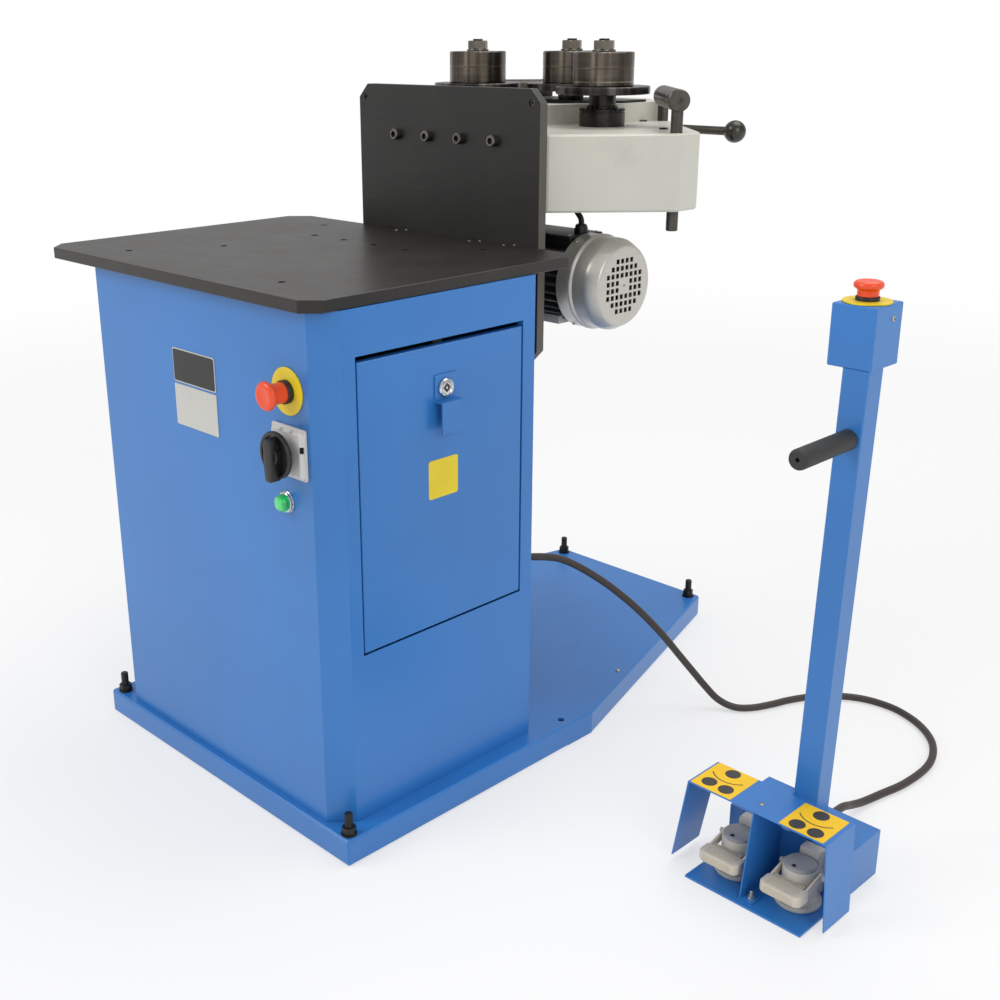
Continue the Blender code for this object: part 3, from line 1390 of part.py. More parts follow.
def pressure_screw():
    profile = [
        (0, SLIDE_BACK - SCREW_BITE),
        (SCREW_RADIUS, SLIDE_BACK - SCREW_BITE),
        (SCREW_RADIUS, HUB_FRONT),
        (HUB_RADIUS, HUB_FRONT),
        (HUB_RADIUS, HUB_BACK - HUB_CHAMFER),
        (HUB_RADIUS - HUB_CHAMFER, HUB_BACK),
        (0, HUB_BACK),
    ]
    origin = (0, LEVER_Y, SCREW_Z)
    turned = aim_y(lathe(profile, SMALL_SIDES)).moved(0, 0, SCREW_Z)
    screw = piece("pressure_screw", turned, "turned_steel", origin)
    half = HUB_RADIUS + CUT_OVERRUN
    hole = aim_x(rod(LEVER_RADIUS + SEAT_GAP, -half, half, TINY_SIDES))
    cut(screw, hole.moved(*origin))

    start = math.asin(LEVER_RADIUS / BALL_RADIUS)
    ball = []
    for step in range(BALL_STEPS + 1):
        angle = start + (math.pi - start) * step / BALL_STEPS
        radius = 0 if step == BALL_STEPS else BALL_RADIUS * math.sin(angle)
        ball.append((radius, LEVER_HALF_LENGTH - BALL_RADIUS * math.cos(angle)))
    profile = [(radius, -height) for radius, height in reversed(ball)] + ball
    piece("pressure_lever", aim_x(lathe(profile, SMALL_SIDES)).moved(*origin), "turned_steel", origin)


def guide_arm(x, y, direction):
    """Pin, boss and axle of one side guide. The axle runs level in the given direction."""
    pin = rod(PIN_RADIUS, PIN_LOW, GUIDE_Z, SMALL_SIDES).moved(x, y)
    axle_end = GUIDE_BOSS_BACK + 2 * RUN_GAP + GUIDE_ROLLER_LENGTH
    profile = [
        (0, GUIDE_SOCKET_DEPTH - GUIDE_BOSS_FRONT),
        (GUIDE_SOCKET_RADIUS, GUIDE_SOCKET_DEPTH - GUIDE_BOSS_FRONT),
        (GUIDE_SOCKET_RADIUS, -GUIDE_BOSS_FRONT),
        (GUIDE_BOSS_RADIUS - GUIDE_CHAMFER, -GUIDE_BOSS_FRONT),
        (GUIDE_BOSS_RADIUS, GUIDE_CHAMFER - GUIDE_BOSS_FRONT),
        (GUIDE_BOSS_RADIUS, GUIDE_BOSS_BACK),
        (GUIDE_AXLE_RADIUS, GUIDE_BOSS_BACK),
        (GUIDE_AXLE_RADIUS, axle_end),
        (GUIDE_STOP_RADIUS, axle_end),
        (GUIDE_STOP_RADIUS, axle_end + GUIDE_STOP_HEIGHT),
        (0, axle_end + GUIDE_STOP_HEIGHT),
    ]
    arm = lathe(profile, SMALL_SIDES).aimed(direction).moved(x, y, GUIDE_Z)
    inner, start = GUIDE_AXLE_RADIUS + RUN_GAP, GUIDE_BOSS_BACK + RUN_GAP
    end = start + GUIDE_ROLLER_LENGTH
    sleeve = [
        (inner, start),
        (GUIDE_ROLLER_RADIUS, start),
        (GUIDE_ROLLER_RADIUS, end - GUIDE_CHAMFER),
        (GUIDE_ROLLER_RADIUS - GUIDE_CHAMFER, end),
        (inner, end),
    ]
    roller = lathe(sleeve, SMALL_SIDES, ring=True).aimed(direction).moved(x, y, GUIDE_Z)
    return pin, arm, roller


def side_guides():
    places = guide_pin_places()
    arms = {"right": ("right_near", (-SLANT, SLANT, 0)), "left": ("left_far", (-SLANT, -SLANT, 0))}
    for name, (place, direction) in arms.items():
        x, y = places[place]
        pin, arm, roller = guide_arm(x, y, direction)
        base = piece(f"{name}_guide_pin", arm, "turned_steel", (x, y, GUIDE_Z))
        fuse(base, pin)
        piece(f"{name}_guide_roller", roller, "turned_steel", (x, y, GUIDE_Z))
    x, y = places["right_far"]
    profile = [
        (0, PIN_LOW),
        (PIN_RADIUS, PIN_LOW),
        (PIN_RADIUS, PLAIN_PIN_TOP - PIN_CHAMFER),
        (PIN_RADIUS - PIN_CHAMFER, PLAIN_PIN_TOP),
        (0, PLAIN_PIN_TOP),
    ]
    piece("plain_guide_pin", lathe(profile, SMALL_SIDES).moved(x, y), "turned_steel", (x, y, GUIDE_Z))


def on_motor(shape):
    """A shape drawn along +Z, laid on the motor's axis."""
    return aim_x(shape).moved(0, MOTOR_Y, MOTOR_Z)


def cowl_profile(inset):
    """The stepped and crowned cowl, from its open rim to its flat end. Inset gives its inner wall."""
    outer = [
        (COWL_RADIUS, COWL_RIM),
        (COWL_RADIUS, COWL_FIRST_STEP - 2 * COWL_BEAD_HALF),
        (COWL_RADIUS + COWL_BEAD, COWL_FIRST_STEP - COWL_BEAD_HALF),
        (COWL_RADIUS, COWL_FIRST_STEP),
        (COWL_RADIUS - COWL_STEP, COWL_FIRST_STEP + COWL_BEAD_HALF),
        (COWL_RADIUS - COWL_STEP, COWL_SECOND_STEP),
    ]
    if inset:
        outer = [
            (COWL_RADIUS, COWL_RIM - CUT_OVERRUN),
            (COWL_RADIUS, COWL_FIRST_STEP - 2 * COWL_BEAD_HALF),
            (COWL_RADIUS - COWL_STEP, COWL_FIRST_STEP - COWL_BEAD_HALF),
            (COWL_RADIUS - COWL_STEP, COWL_SECOND_STEP),
        ]
    crown_radius = COWL_RADIUS - COWL_STEP - COWL_END_RADIUS
    crown_length = COWL_END - COWL_SECOND_STEP
    for step in range(1, COWL_CROWN_STEPS + 1):
        angle = QUARTER * step / COWL_CROWN_STEPS
        radius = COWL_END_RADIUS + crown_radius * math.cos(angle)
        outer.append((radius, COWL_SECOND_STEP + crown_length * math.sin(angle)))
    rows = []
    for radius, height in outer:
        drop = inset if height > COWL_SECOND_STEP else 0
        rows.append((radius - inset, height - drop))
    return rows


def grille_places():
    """Centres of the square holes, row by row from the top, with the middle left solid."""
    rows = len(GRILLE_ROWS)
    for row, count in enumerate(GRILLE_ROWS):
        up = (rows - 1) / 2 - row
        for column in range(count):
            if row in GRILLE_CENTRE_ROWS and column in GRILLE_CENTRE_SKIP:
                continue
            yield (column - (count - 1) / 2) * GRILLE_PITCH, up * GRILLE_PITCH


def fan_cowl():
    outer = [(0, COWL_RIM)] + cowl_profile(0) + [(0, COWL_END)]
    cowl = piece("fan_cowl", on_motor(lathe(outer, FINE_SIDES)), "silver_paint")
    inner = cowl_profile(COWL_WALL)
    inner = [(0, COWL_RIM - CUT_OVERRUN)] + inner + [(0, COWL_END - COWL_WALL)]
    cut(cowl, on_motor(lathe(inner, FINE_SIDES)))
    hole = block(
        (COWL_END - COWL_WALL - CUT_OVERRUN, -GRILLE_HOLE_HALF, -GRILLE_HOLE_HALF),
        (COWL_END + CUT_OVERRUN, GRILLE_HOLE_HALF, GRILLE_HOLE_HALF),
    )
    cut(cowl, *[hole.moved(0, MOTOR_Y + across, MOTOR_Z + up) for across, up in grille_places()])


def motor_stator():
    """Finned stator: the fins run along the motor and stand evenly round the core."""
    outline = []
    for fin in range(STATOR_FIN_COUNT):
        for share, radius in (
            (0, STATOR_CORE_RADIUS),
            (0, STATOR_FIN_RADIUS),
            (STATOR_FIN_SHARE, STATOR_FIN_RADIUS),
            (STATOR_FIN_SHARE, STATOR_CORE_RADIUS),
        ):
            angle = 2 * math.pi * (fin + share) / STATOR_FIN_COUNT
            outline.append((MOTOR_Y + radius * math.cos(angle), MOTOR_Z + radius * math.sin(angle)))
    stator = piece("motor_stator", prism(outline, STATOR_START, STATOR_END, "X"), "dark_steel")
    bell = STATOR_START - END_BELL_LENGTH
    fuse(stator, on_motor(rod(END_BELL_RADIUS, bell, STATOR_START + BURY, FINE_SIDES)))
    core = rod(STATOR_CORE_RADIUS - BURY, STATOR_END - BURY, REAR_BELL_START + BURY, FINE_SIDES)
    spigot = rod(COWL_RADIUS - COWL_WALL - SEAT_GAP, REAR_BELL_START, REAR_BELL_END, FINE_SIDES)
    end = FAN_START + FAN_LENGTH + FAN_SHAFT_PAST
    shaft = rod(MOTOR_SHAFT_RADIUS, REAR_BELL_END - BURY, end, TINY_SIDES)
    fuse(stator, on_motor(core), on_motor(spigot), on_motor(shaft))
    cut(
        stator,
        block(
            (TERMINAL_START - SEAT_GAP, MOTOR_Y - TERMINAL_HALF - SEAT_GAP, TERMINAL_LOW - SEAT_GAP),
            (TERMINAL_END + SEAT_GAP, MOTOR_Y + TERMINAL_HALF + SEAT_GAP, TERMINAL_TOP + STATOR_CORE_RADIUS),
        ),
    )


def motor_fan():
    outline = []
    for blade in range(FAN_BLADE_COUNT):
        for share, radius in (
            (-FAN_BLADE_SHARE, FAN_HUB_RADIUS),
            (-FAN_BLADE_SHARE / 4, FAN_RADIUS),
            (FAN_BLADE_SHARE / 4, FAN_RADIUS),
            (FAN_BLADE_SHARE, FAN_HUB_RADIUS),
        ):
            angle = 2 * math.pi * (blade + share) / FAN_BLADE_COUNT
            outline.append((MOTOR_Y + radius * math.cos(angle), MOTOR_Z + radius * math.sin(angle)))
    origin = (FAN_START, MOTOR_Y, MOTOR_Z)
    fan = piece("motor_fan", prism(outline, FAN_START, FAN_START + FAN_LENGTH, "X"), "black_plastic", origin)
    start, end = FAN_START - CUT_OVERRUN, FAN_START + FAN_LENGTH + CUT_OVERRUN
    hole = rod(MOTOR_SHAFT_RADIUS + RUN_GAP, start, end, TINY_SIDES)
    cut(fan, on_motor(hole))


def terminal_box():
    low = TERMINAL_LOW
    lip = TERMINAL_LID_LIP
    body = block(
        (TERMINAL_START + lip, MOTOR_Y - TERMINAL_HALF + lip, low),
        (TERMINAL_END - lip, MOTOR_Y + TERMINAL_HALF - lip, TERMINAL_TOP - TERMINAL_LID / 2),
    )
    box = piece("terminal_box", body, "black_plastic")
    lid = block(
        (TERMINAL_START, MOTOR_Y - TERMINAL_HALF, TERMINAL_TOP - TERMINAL_LID),
        (TERMINAL_END, MOTOR_Y + TERMINAL_HALF, TERMINAL_TOP),
    )
    fuse(box, lid)
    profile = [
        (GLAND_RADIUS, TERMINAL_TOP - BURY, "hex"),
        (GLAND_RADIUS, TERMINAL_TOP + GLAND_HEIGHT - GLAND_CROWN, "hex"),
        (GLAND_RADIUS - GLAND_CROWN, TERMINAL_TOP + GLAND_HEIGHT),
    ]
    fuse(box, lathe(profile, HEX_SIDES).moved(GLAND_X, MOTOR_Y))


def tube(name, points, radius, finish, side_level=CORD_SIDE_LEVEL):
    """A cord or cable: a straight-sided spline with a round bevel and filled ends."""
    curve = bpy.data.curves.new(name, "CURVE")
    curve.dimensions = "3D"
    curve.bevel_depth = radius
    curve.bevel_resolution = side_level
    curve.use_fill_caps = True
    spline = curve.splines.new("POLY")
    spline.points.add(len(points) - 1)
    for place, point in zip(spline.points, points):
        place.co = (*point, 1)
    curve.materials.append(bpy.data.materials[finish])
    obj = bpy.data.objects.new(name, curve)
    bpy.context.scene.collection.objects.link(obj)
    return obj


def motor_cable():
    start = TERMINAL_TOP + GLAND_HEIGHT + SEAT_GAP
    low, high = start + MOTOR_CABLE_STRAIGHT, HEAD_LOW - SEAT_GAP - MOTOR_CABLE_STRAIGHT
    route = [
        (GLAND_X - MOTOR_CABLE_SHIFT * across, MOTOR_Y, low + (high - low) * up)
        for across, up in MOTOR_CABLE_SHARES
    ]
    run = smooth_run(route, MOTOR_CABLE_POINTS)
    first = (GLAND_X, MOTOR_Y, start)
    last = (GLAND_X - MOTOR_CABLE_SHIFT, MOTOR_Y, HEAD_LOW - SEAT_GAP)
    tube("motor_cable", [first, *run, last], MOTOR_CABLE_RADIUS, "black_rubber")


def gearbox():
    half = GEARBOX_CHAMFER
    outline = [
        (GEARBOX_FRONT + half, GEARBOX_LOW),
        (GEARBOX_BACK - half, GEARBOX_LOW),
        (GEARBOX_BACK, GEARBOX_LOW + half),
        (GEARBOX_BACK, GEARBOX_TOP - half),
        (GEARBOX_BACK - half, GEARBOX_TOP),
        (GEARBOX_FRONT + half, GEARBOX_TOP),
        (GEARBOX_FRONT, GEARBOX_TOP - half),
        (GEARBOX_FRONT, GEARBOX_LOW + half),
    ]
    box = piece("gearbox", prism(outline, GEARBOX_LEFT, GEARBOX_RIGHT, "X"), "grey_paint")
    round_edges(box, EDGE_ROUND)
    middle = (GEARBOX_LEFT + GEARBOX_RIGHT) / 2
    top = HEAD_LOW - SEAT_GAP
    neck = rod(GEARBOX_NECK_RADIUS, GEARBOX_TOP - BURY, top - GEARBOX_FLANGE_THICKNESS + BURY)
    fuse(box, neck.moved(middle, MOTOR_Y))
    half = GEARBOX_FLANGE_HALF
    flange = block(
        (middle - half, MOTOR_Y - half, top - GEARBOX_FLANGE_THICKNESS), (middle + half, MOTOR_Y + half, top)
    )
    fuse(box, flange)
    face_end = STATOR_START - END_BELL_LENGTH - SEAT_GAP
    fuse(box, on_motor(rod(GEARBOX_FACE_RADIUS, GEARBOX_RIGHT - BURY, face_end, FINE_SIDES)))
    cover_start = GEARBOX_LEFT - GEARBOX_COVER_HEIGHT
    fuse(box, on_motor(rod(GEARBOX_COVER_RADIUS, cover_start, GEARBOX_LEFT + BURY)))


def station_base():
    plate_shape = block((STATION_LEFT, STATION_FRONT, 0), (STATION_RIGHT, STATION_BOX_BACK, STATION_SHEET))
    base = piece("station_base", plate_shape, "blue_paint")
    fuse(
        base,
        block(
            (STATION_LEFT, STATION_BOX_FRONT, STATION_SHEET - BURY),
            (STATION_RIGHT, STATION_BOX_BACK, STATION_BOX_TOP),
        ),
    )
    deep = -CABINET_WALL - CORD_GLAND_INSIDE - SEAT_GAP
    hole = rod(CORD_GLAND_THREAD_RADIUS + SEAT_GAP, deep, CUT_OVERRUN, SMALL_SIDES)
    cut(base, aim_y(hole).moved(CORD_STATION_X, STATION_BOX_BACK, CORD_STATION_Z))


def post_shift(height):
    """How far the leaning post stands to the right of its foot at this height."""
    return POST_LEAN * (height - STATION_BOX_TOP) / (POST_TOP - STATION_BOX_TOP)


def leaned(shape):
    for point in shape.points:
        point.x += post_shift(point.z)
    return shape


def station_post():
    half, corner = POST_HALF, POST_HALF - POST_ROUND
    low = STATION_BOX_TOP + SEAT_GAP
    outline = [
        (-corner, -half),
        (corner, -half),
        (half, -corner),
        (half, corner),
        (corner, half),
        (-corner, half),
        (-half, corner),
        (-half, -corner),
    ]
    tube_shape = leaned(prism(outline, low, POST_TOP).moved(POST_X, POST_Y))
    post = piece("station_post", tube_shape, "blue_paint")
    inner = half - POST_WALL
    hollow = block(
        (POST_X - inner, POST_Y - inner, low - CUT_OVERRUN),
        (POST_X + inner, POST_Y + inner, POST_TOP + CUT_OVERRUN),
    )
    cut(post, leaned(hollow))
    hole = rod(GRIP_SPIGOT_RADIUS + SEAT_GAP, -POST_WALL - CUT_OVERRUN, CUT_OVERRUN, TINY_SIDES)
    cut(post, hole.aimed((0, -1, 0)).moved(GRIP_X, POST_Y - half, GRIP_Z))


def station_head():
    low = POST_TOP + SEAT_GAP
    high = low + SWITCH_BOX_HEIGHT
    left, right = STATION_STOP_X - SWITCH_BOX_HALF_WIDTH, STATION_STOP_X + SWITCH_BOX_HALF_WIDTH
    outer = block((left, SWITCH_BOX_FRONT, low), (right, SWITCH_BOX_BACK, high))
    box = piece("station_switch_box", outer, "blue_paint")
    round_edges(box, EDGE_ROUND)
    wall = SWITCH_BOX_WALL
    hollow = block(
        (left + wall, SWITCH_BOX_FRONT + wall, low + wall),
        (right - wall, SWITCH_BOX_BACK - wall, high - wall),
    )
    share = STATION_STOP_SHARE
    barrel_radius = STOP_BARREL_RADIUS * share + SEAT_GAP
    barrel = rod(barrel_radius, high - wall - CUT_OVERRUN, high + CUT_OVERRUN, SMALL_SIDES)
    cable = rod(SWITCH_BOX_HOLE_RADIUS, low - CUT_OVERRUN, low + wall + CUT_OVERRUN, SMALL_SIDES)
    cut(box, hollow)
    cut(box, barrel.moved(STATION_STOP_X, STATION_STOP_Y), cable.moved(POST_X + POST_LEAN, POST_Y))
    place = (STATION_STOP_X, STATION_STOP_Y, high)
    base = lathe(slimmed(stop_base_profile(STATION_COLLAR_HEIGHT, STOP_BLOCK_DEPTH), share), ROUND_SIDES)
    piece("station_stop_base", base.moved(*place), "yellow_plastic")
    button = lathe(slimmed(button_profile(STATION_COLLAR_HEIGHT + STATION_BUTTON_RISE), share), ROUND_SIDES)
    piece("station_stop_button", button.moved(*place), "red_plastic", place)


def station_grip():
    face = POST_Y - POST_HALF
    length = face - GRIP_FRONT
    profile = [
        (0, -GRIP_SPIGOT_LENGTH),
        (GRIP_SPIGOT_RADIUS, -GRIP_SPIGOT_LENGTH),
        (GRIP_SPIGOT_RADIUS, SEAT_GAP),
        (GRIP_RADIUS, SEAT_GAP),
        (GRIP_RADIUS, length - GRIP_ROUND),
        (GRIP_RADIUS - GRIP_ROUND / 2, length - GRIP_ROUND / 4),
        (GRIP_RADIUS - GRIP_ROUND, length),
        (0, length),
    ]
    grip = lathe(profile, SMALL_SIDES).aimed((0, -1, 0)).moved(GRIP_X, face, GRIP_Z)
    piece("station_grip", grip, "black_rubber")


def pedal_guard():
    """Folded guard: a roof with a centre tab, two flared sides and a divider with its foot."""
    sheet, top = GUARD_SHEET, GUARD_TOP
    left, right, low = GUARD_LEFT, GUARD_RIGHT, GUARD_SIDE_LOW
    low_left, low_right = left - GUARD_FLARE_LEFT, right + GUARD_FLARE_RIGHT
    section = [
        (left, top),
        (right, top),
        (low_right, low),
        (low_right - sheet, low),
        (right - sheet, top - sheet),
        (left + sheet, top - sheet),
        (low_left + sheet, low),
        (low_left, low),
    ]
    folded = prism(section, GUARD_FRONT, GUARD_BACK, "Y")
    middle = (GUARD_FRONT + GUARD_BACK) / 2
    for point in folded.points:
        if point.z < top / 2:
            point.y = GUARD_LOW_FRONT if point.y < middle else GUARD_LOW_BACK
    guard = piece("pedal_guard", folded, "blue_paint")
    tab_right = POST_X - POST_HALF + post_shift(top - sheet) - SEAT_GAP
    tab = block((GUARD_TAB_LEFT, GUARD_BACK - BURY, top - sheet), (tab_right, GUARD_TAB_BACK, top))
    fuse(guard, tab)
    floor = STATION_SHEET + SEAT_GAP
    back = STATION_BOX_FRONT - SEAT_GAP
    side = [
        (GUARD_FRONT, top - sheet / 2),
        (DIVIDER_LOW_FRONT, floor),
        (back, floor),
        (back, top - sheet / 2),
    ]
    fuse(guard, prism(side, DIVIDER_X - sheet, DIVIDER_X, "X"))
    foot = block(
        (DIVIDER_X - sheet / 2, DIVIDER_LOW_FRONT, floor),
        (DIVIDER_FOOT_RIGHT, DIVIDER_FOOT_BACK, floor + sheet),
    )
    fuse(guard, foot)


def foot_switch(name, x):
    floor = STATION_SHEET + SEAT_GAP
    cap_low = SWITCH_BODY_TOP
    profile = [
        (0, floor),
        (SWITCH_BASE_RADIUS, floor),
        (SWITCH_BASE_RADIUS, SWITCH_BASE_HEIGHT),
        (SWITCH_WAIST_RADIUS, SWITCH_BASE_HEIGHT + SWITCH_CAP_ROUND),
        (SWITCH_BODY_RADIUS, SWITCH_WAIST_TOP),
        (SWITCH_BODY_RADIUS, cap_low),
        (SWITCH_CAP_RADIUS, cap_low),
        (SWITCH_CAP_RADIUS, cap_low + SWITCH_CAP_HEIGHT - SWITCH_CAP_ROUND),
        (SWITCH_CAP_RADIUS - SWITCH_CAP_ROUND, cap_low + SWITCH_CAP_HEIGHT),
        (0, cap_low + SWITCH_CAP_HEIGHT),
    ]
    body = piece(f"{name}_foot_switch", lathe(profile, ROUND_SIDES).moved(x, SWITCH_Y), "pale_plastic")
    tail = [
        (SWITCH_Y, floor),
        (SWITCH_TAIL_BACK, floor),
        (SWITCH_TAIL_BACK, SWITCH_TAIL_TOP),
        (SWITCH_TAIL_STEP_Y, SWITCH_TAIL_TOP),
        (SWITCH_TAIL_STEP_Y, SWITCH_TAIL_SHELF),
        (SWITCH_Y, SWITCH_TAIL_SHELF),
    ]
    fuse(body, prism(tail, x - SWITCH_TAIL_HALF, x + SWITCH_TAIL_HALF, "X"))
    reach = PEDAL_ARM_INSIDE + PEDAL_ARM_SHEET + PEDAL_PIVOT_PAST
    pivot = rod(PEDAL_PIVOT_RADIUS, -reach, reach, TINY_SIDES)
    fuse(body, aim_x(pivot).moved(x, PEDAL_PIVOT_Y, PEDAL_PIVOT_Z))


def treadle(name, x):
    """Front bar with ribs on two arms, which turn on the pivot ends of the foot switch."""
    outer = PEDAL_ARM_INSIDE + PEDAL_ARM_SHEET
    drop = PEDAL_NOSE_DROP
    bar = [
        (PEDAL_FRONT, PEDAL_LOW + drop),
        (PEDAL_FRONT + drop, PEDAL_LOW),
        (PEDAL_BACK, PEDAL_LOW),
        (PEDAL_BACK, PEDAL_TOP),
        (PEDAL_FRONT + drop, PEDAL_TOP - drop / 2),
        (PEDAL_FRONT, PEDAL_TOP - drop - drop / 2),
    ]
    origin = (x, PEDAL_PIVOT_Y, PEDAL_PIVOT_Z)
    bar_shape = prism(bar, x - PEDAL_HALF_WIDTH, x + PEDAL_HALF_WIDTH, "X")
    pedal = piece(f"{name}_treadle", bar_shape, "beige_plastic", origin)
    back = PEDAL_PIVOT_Y + PEDAL_ARM_HALF
    arm = [
        (PEDAL_BACK - BURY, PEDAL_TOP - 2 * PEDAL_ARM_HALF),
        (PEDAL_PIVOT_Y, PEDAL_PIVOT_Z - PEDAL_ARM_HALF),
        (back, PEDAL_PIVOT_Z - PEDAL_ARM_HALF / 2),
        (back, PEDAL_PIVOT_Z + PEDAL_ARM_HALF / 2),
        (PEDAL_PIVOT_Y, PEDAL_PIVOT_Z + PEDAL_ARM_HALF),
        (PEDAL_BACK - BURY, PEDAL_TOP - BURY),
    ]
    for side in (-1, 1):
        near, far = sorted((x + side * PEDAL_ARM_INSIDE, x + side * outer))
        fuse(pedal, prism(arm, near, far, "X"))
    hole = rod(PEDAL_PIVOT_RADIUS + RUN_GAP, -outer - CUT_OVERRUN, outer + CUT_OVERRUN, TINY_SIDES)
    cut(pedal, aim_x(hole).moved(*origin))


def cord_glands():
    profile = [
        (0, -CABINET_WALL - CORD_GLAND_INSIDE),
        (CORD_GLAND_THREAD_RADIUS, -CABINET_WALL - CORD_GLAND_INSIDE),
        (CORD_GLAND_THREAD_RADIUS, SEAT_GAP),
        (CORD_GLAND_RADIUS, SEAT_GAP, "hex"),
        (CORD_GLAND_RADIUS, CORD_GLAND_LENGTH / 2, "hex"),
        (CORD_GLAND_RADIUS, CORD_GLAND_LENGTH / 2 + CORD_GLAND_INSIDE / 4),
        (CORD_GLAND_TAPER, CORD_GLAND_LENGTH),
        (0, CORD_GLAND_LENGTH),
    ]
    gland = aim_y(lathe(profile, HEX_SIDES))
    piece("cabinet_gland", gland.moved(CORD_GLAND_X, CABINET_BACK, CORD_GLAND_Z), "black_plastic")
    piece("station_gland", gland.moved(CORD_STATION_X, STATION_BOX_BACK, CORD_STATION_Z), "black_plastic")


def pedal_cord():
    start = Vector((CORD_GLAND_X, CABINET_BACK + CORD_GLAND_LENGTH + SEAT_GAP, CORD_GLAND_Z))
    end = Vector((CORD_STATION_X, STATION_BOX_BACK + CORD_GLAND_LENGTH + SEAT_GAP, CORD_STATION_Z))
    straight = Vector((0, 2 * CORD_RADIUS, 0))
    run = smooth_run([start + straight, *CORD_ROUTE, end + straight], CORD_SAMPLES)
    tube("pedal_cord", [start, *run, end], CORD_RADIUS, "black_rubber")


def main():
    for obj in list(bpy.data.objects):
        bpy.data.objects.remove(obj, do_unlink=True)
    make_finishes()
    base_tray()
    levelling_feet()
    cabinet_shell()
    cabinet_door()
    door_lock()
    control_panel()
    front_stop()
    isolator()
    pilot_lamp()
    table_top()
    mounting_plate()
    head_housing()
    bearing_housings()
    roll_sets()
    pressure_slide()
    pressure_screw()
    side_guides()
    motor_stator()
    fan_cowl()
    motor_fan()
    terminal_box()
    motor_cable()
    gearbox()
    station_base()
    station_post()
    station_head()
    station_grip()
    pedal_guard()
    for name, x in SWITCH_PLACES.items():
        foot_switch(name, x)
        treadle(name, x)
    cord_glands()
    pedal_cord()


main()
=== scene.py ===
"""Looks of a ring roller on its cabinet, with the pedal station on its cord.

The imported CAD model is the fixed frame. Each sub-assembly below is a class that holds its sizes, builds its
pieces with Blender's own modelling operators and dresses them. Metres, +Z up, origin on the floor on the
machine's centre plane, and the operator stands on the -Y side.
"""

from __future__ import annotations

import json
import logging
import math
from collections.abc import Sequence
from dataclasses import dataclass
from enum import Enum

import bpy
from mathutils import Matrix, Vector

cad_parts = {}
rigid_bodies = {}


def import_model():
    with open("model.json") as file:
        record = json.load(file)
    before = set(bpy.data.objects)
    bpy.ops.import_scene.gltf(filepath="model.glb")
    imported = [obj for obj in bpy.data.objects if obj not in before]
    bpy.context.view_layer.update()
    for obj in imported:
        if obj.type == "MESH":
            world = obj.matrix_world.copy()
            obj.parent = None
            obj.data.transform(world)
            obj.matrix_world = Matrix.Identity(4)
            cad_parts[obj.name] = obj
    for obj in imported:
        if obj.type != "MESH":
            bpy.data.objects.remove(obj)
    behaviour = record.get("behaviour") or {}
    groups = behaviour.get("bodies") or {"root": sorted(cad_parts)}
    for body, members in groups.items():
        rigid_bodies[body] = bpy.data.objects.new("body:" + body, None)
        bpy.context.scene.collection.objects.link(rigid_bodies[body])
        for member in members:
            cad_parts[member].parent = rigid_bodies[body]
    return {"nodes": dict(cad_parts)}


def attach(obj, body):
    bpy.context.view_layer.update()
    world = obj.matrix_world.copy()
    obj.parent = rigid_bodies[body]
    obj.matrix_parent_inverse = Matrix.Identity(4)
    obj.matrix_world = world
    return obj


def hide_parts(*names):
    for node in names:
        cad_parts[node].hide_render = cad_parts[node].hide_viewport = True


for _startup in list(bpy.data.objects):
    bpy.data.objects.remove(_startup, do_unlink=True)
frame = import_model()

LOG = logging.getLogger("ring_roller")
FINE_STEPS = 24

Point = tuple[float, float, float]
Flat = tuple[float, float]
Rgb = tuple[float, float, float]
Piece = bpy.types.Object


def srgb(red: int, green: int, blue: int) -> Rgb:
    """Turns a colour as a screen shows it into the linear values that a shader takes.

    Args:
        red: Red from 0 to 255.
        green: Green from 0 to 255.
        blue: Blue from 0 to 255.

    Returns:
        The three linear values.
    """

    def linear(value: int) -> float:
        """One channel, from the screen's curve to a straight one."""
        share = value / 255
        return share / 12.92 if share <= 0.04045 else ((share + 0.055) / 1.055) ** 2.4

    return linear(red), linear(green), linear(blue)


class Way(Enum):
    """The directions in which a turned or drawn piece may point."""

    UP = (0.0, 0.0, 1.0)
    DOWN = (0.0, 0.0, -1.0)
    FRONT = (0.0, -1.0, 0.0)
    BACK = (0.0, 1.0, 0.0)
    RIGHT = (1.0, 0.0, 0.0)
    LEFT = (-1.0, 0.0, 0.0)

    def at(self, place: Point) -> Matrix:
        """The matrix that turns +Z to this direction and moves the origin to a place."""
        return aim(self.value, place)


def aim(direction: Point, place: Point) -> Matrix:
    """Turns +Z to a direction and moves the origin to a place.

    Args:
        direction: Where the piece's own +Z axis goes.
        place: Where its origin goes.

    Returns:
        The matrix for the piece's mesh.
    """
    turn = Vector((0, 0, 1)).rotation_difference(Vector(direction)).to_matrix().to_4x4()
    return Matrix.Translation(Vector(place)) @ turn


def mill(*places: Flat) -> list[Flat]:
    """Points given in millimetres, as points in metres."""
    return [(round(across / 1000, 7), round(up / 1000, 7)) for across, up in places]


def tube(radius: float, low: float, high: float, bore: float = 0.0) -> list[Flat]:
    """The half section of a plain rod, or of a ring round a bore."""
    return [(bore, low), (radius, low), (radius, high), (bore, high)]


def six_corners(radius: float) -> list[Flat]:
    """The corners of a hexagon round the origin."""
    angles = [math.tau * side / 6 for side in range(6)]
    return [(radius * math.cos(angle), radius * math.sin(angle)) for angle in angles]


# Shader arithmetic


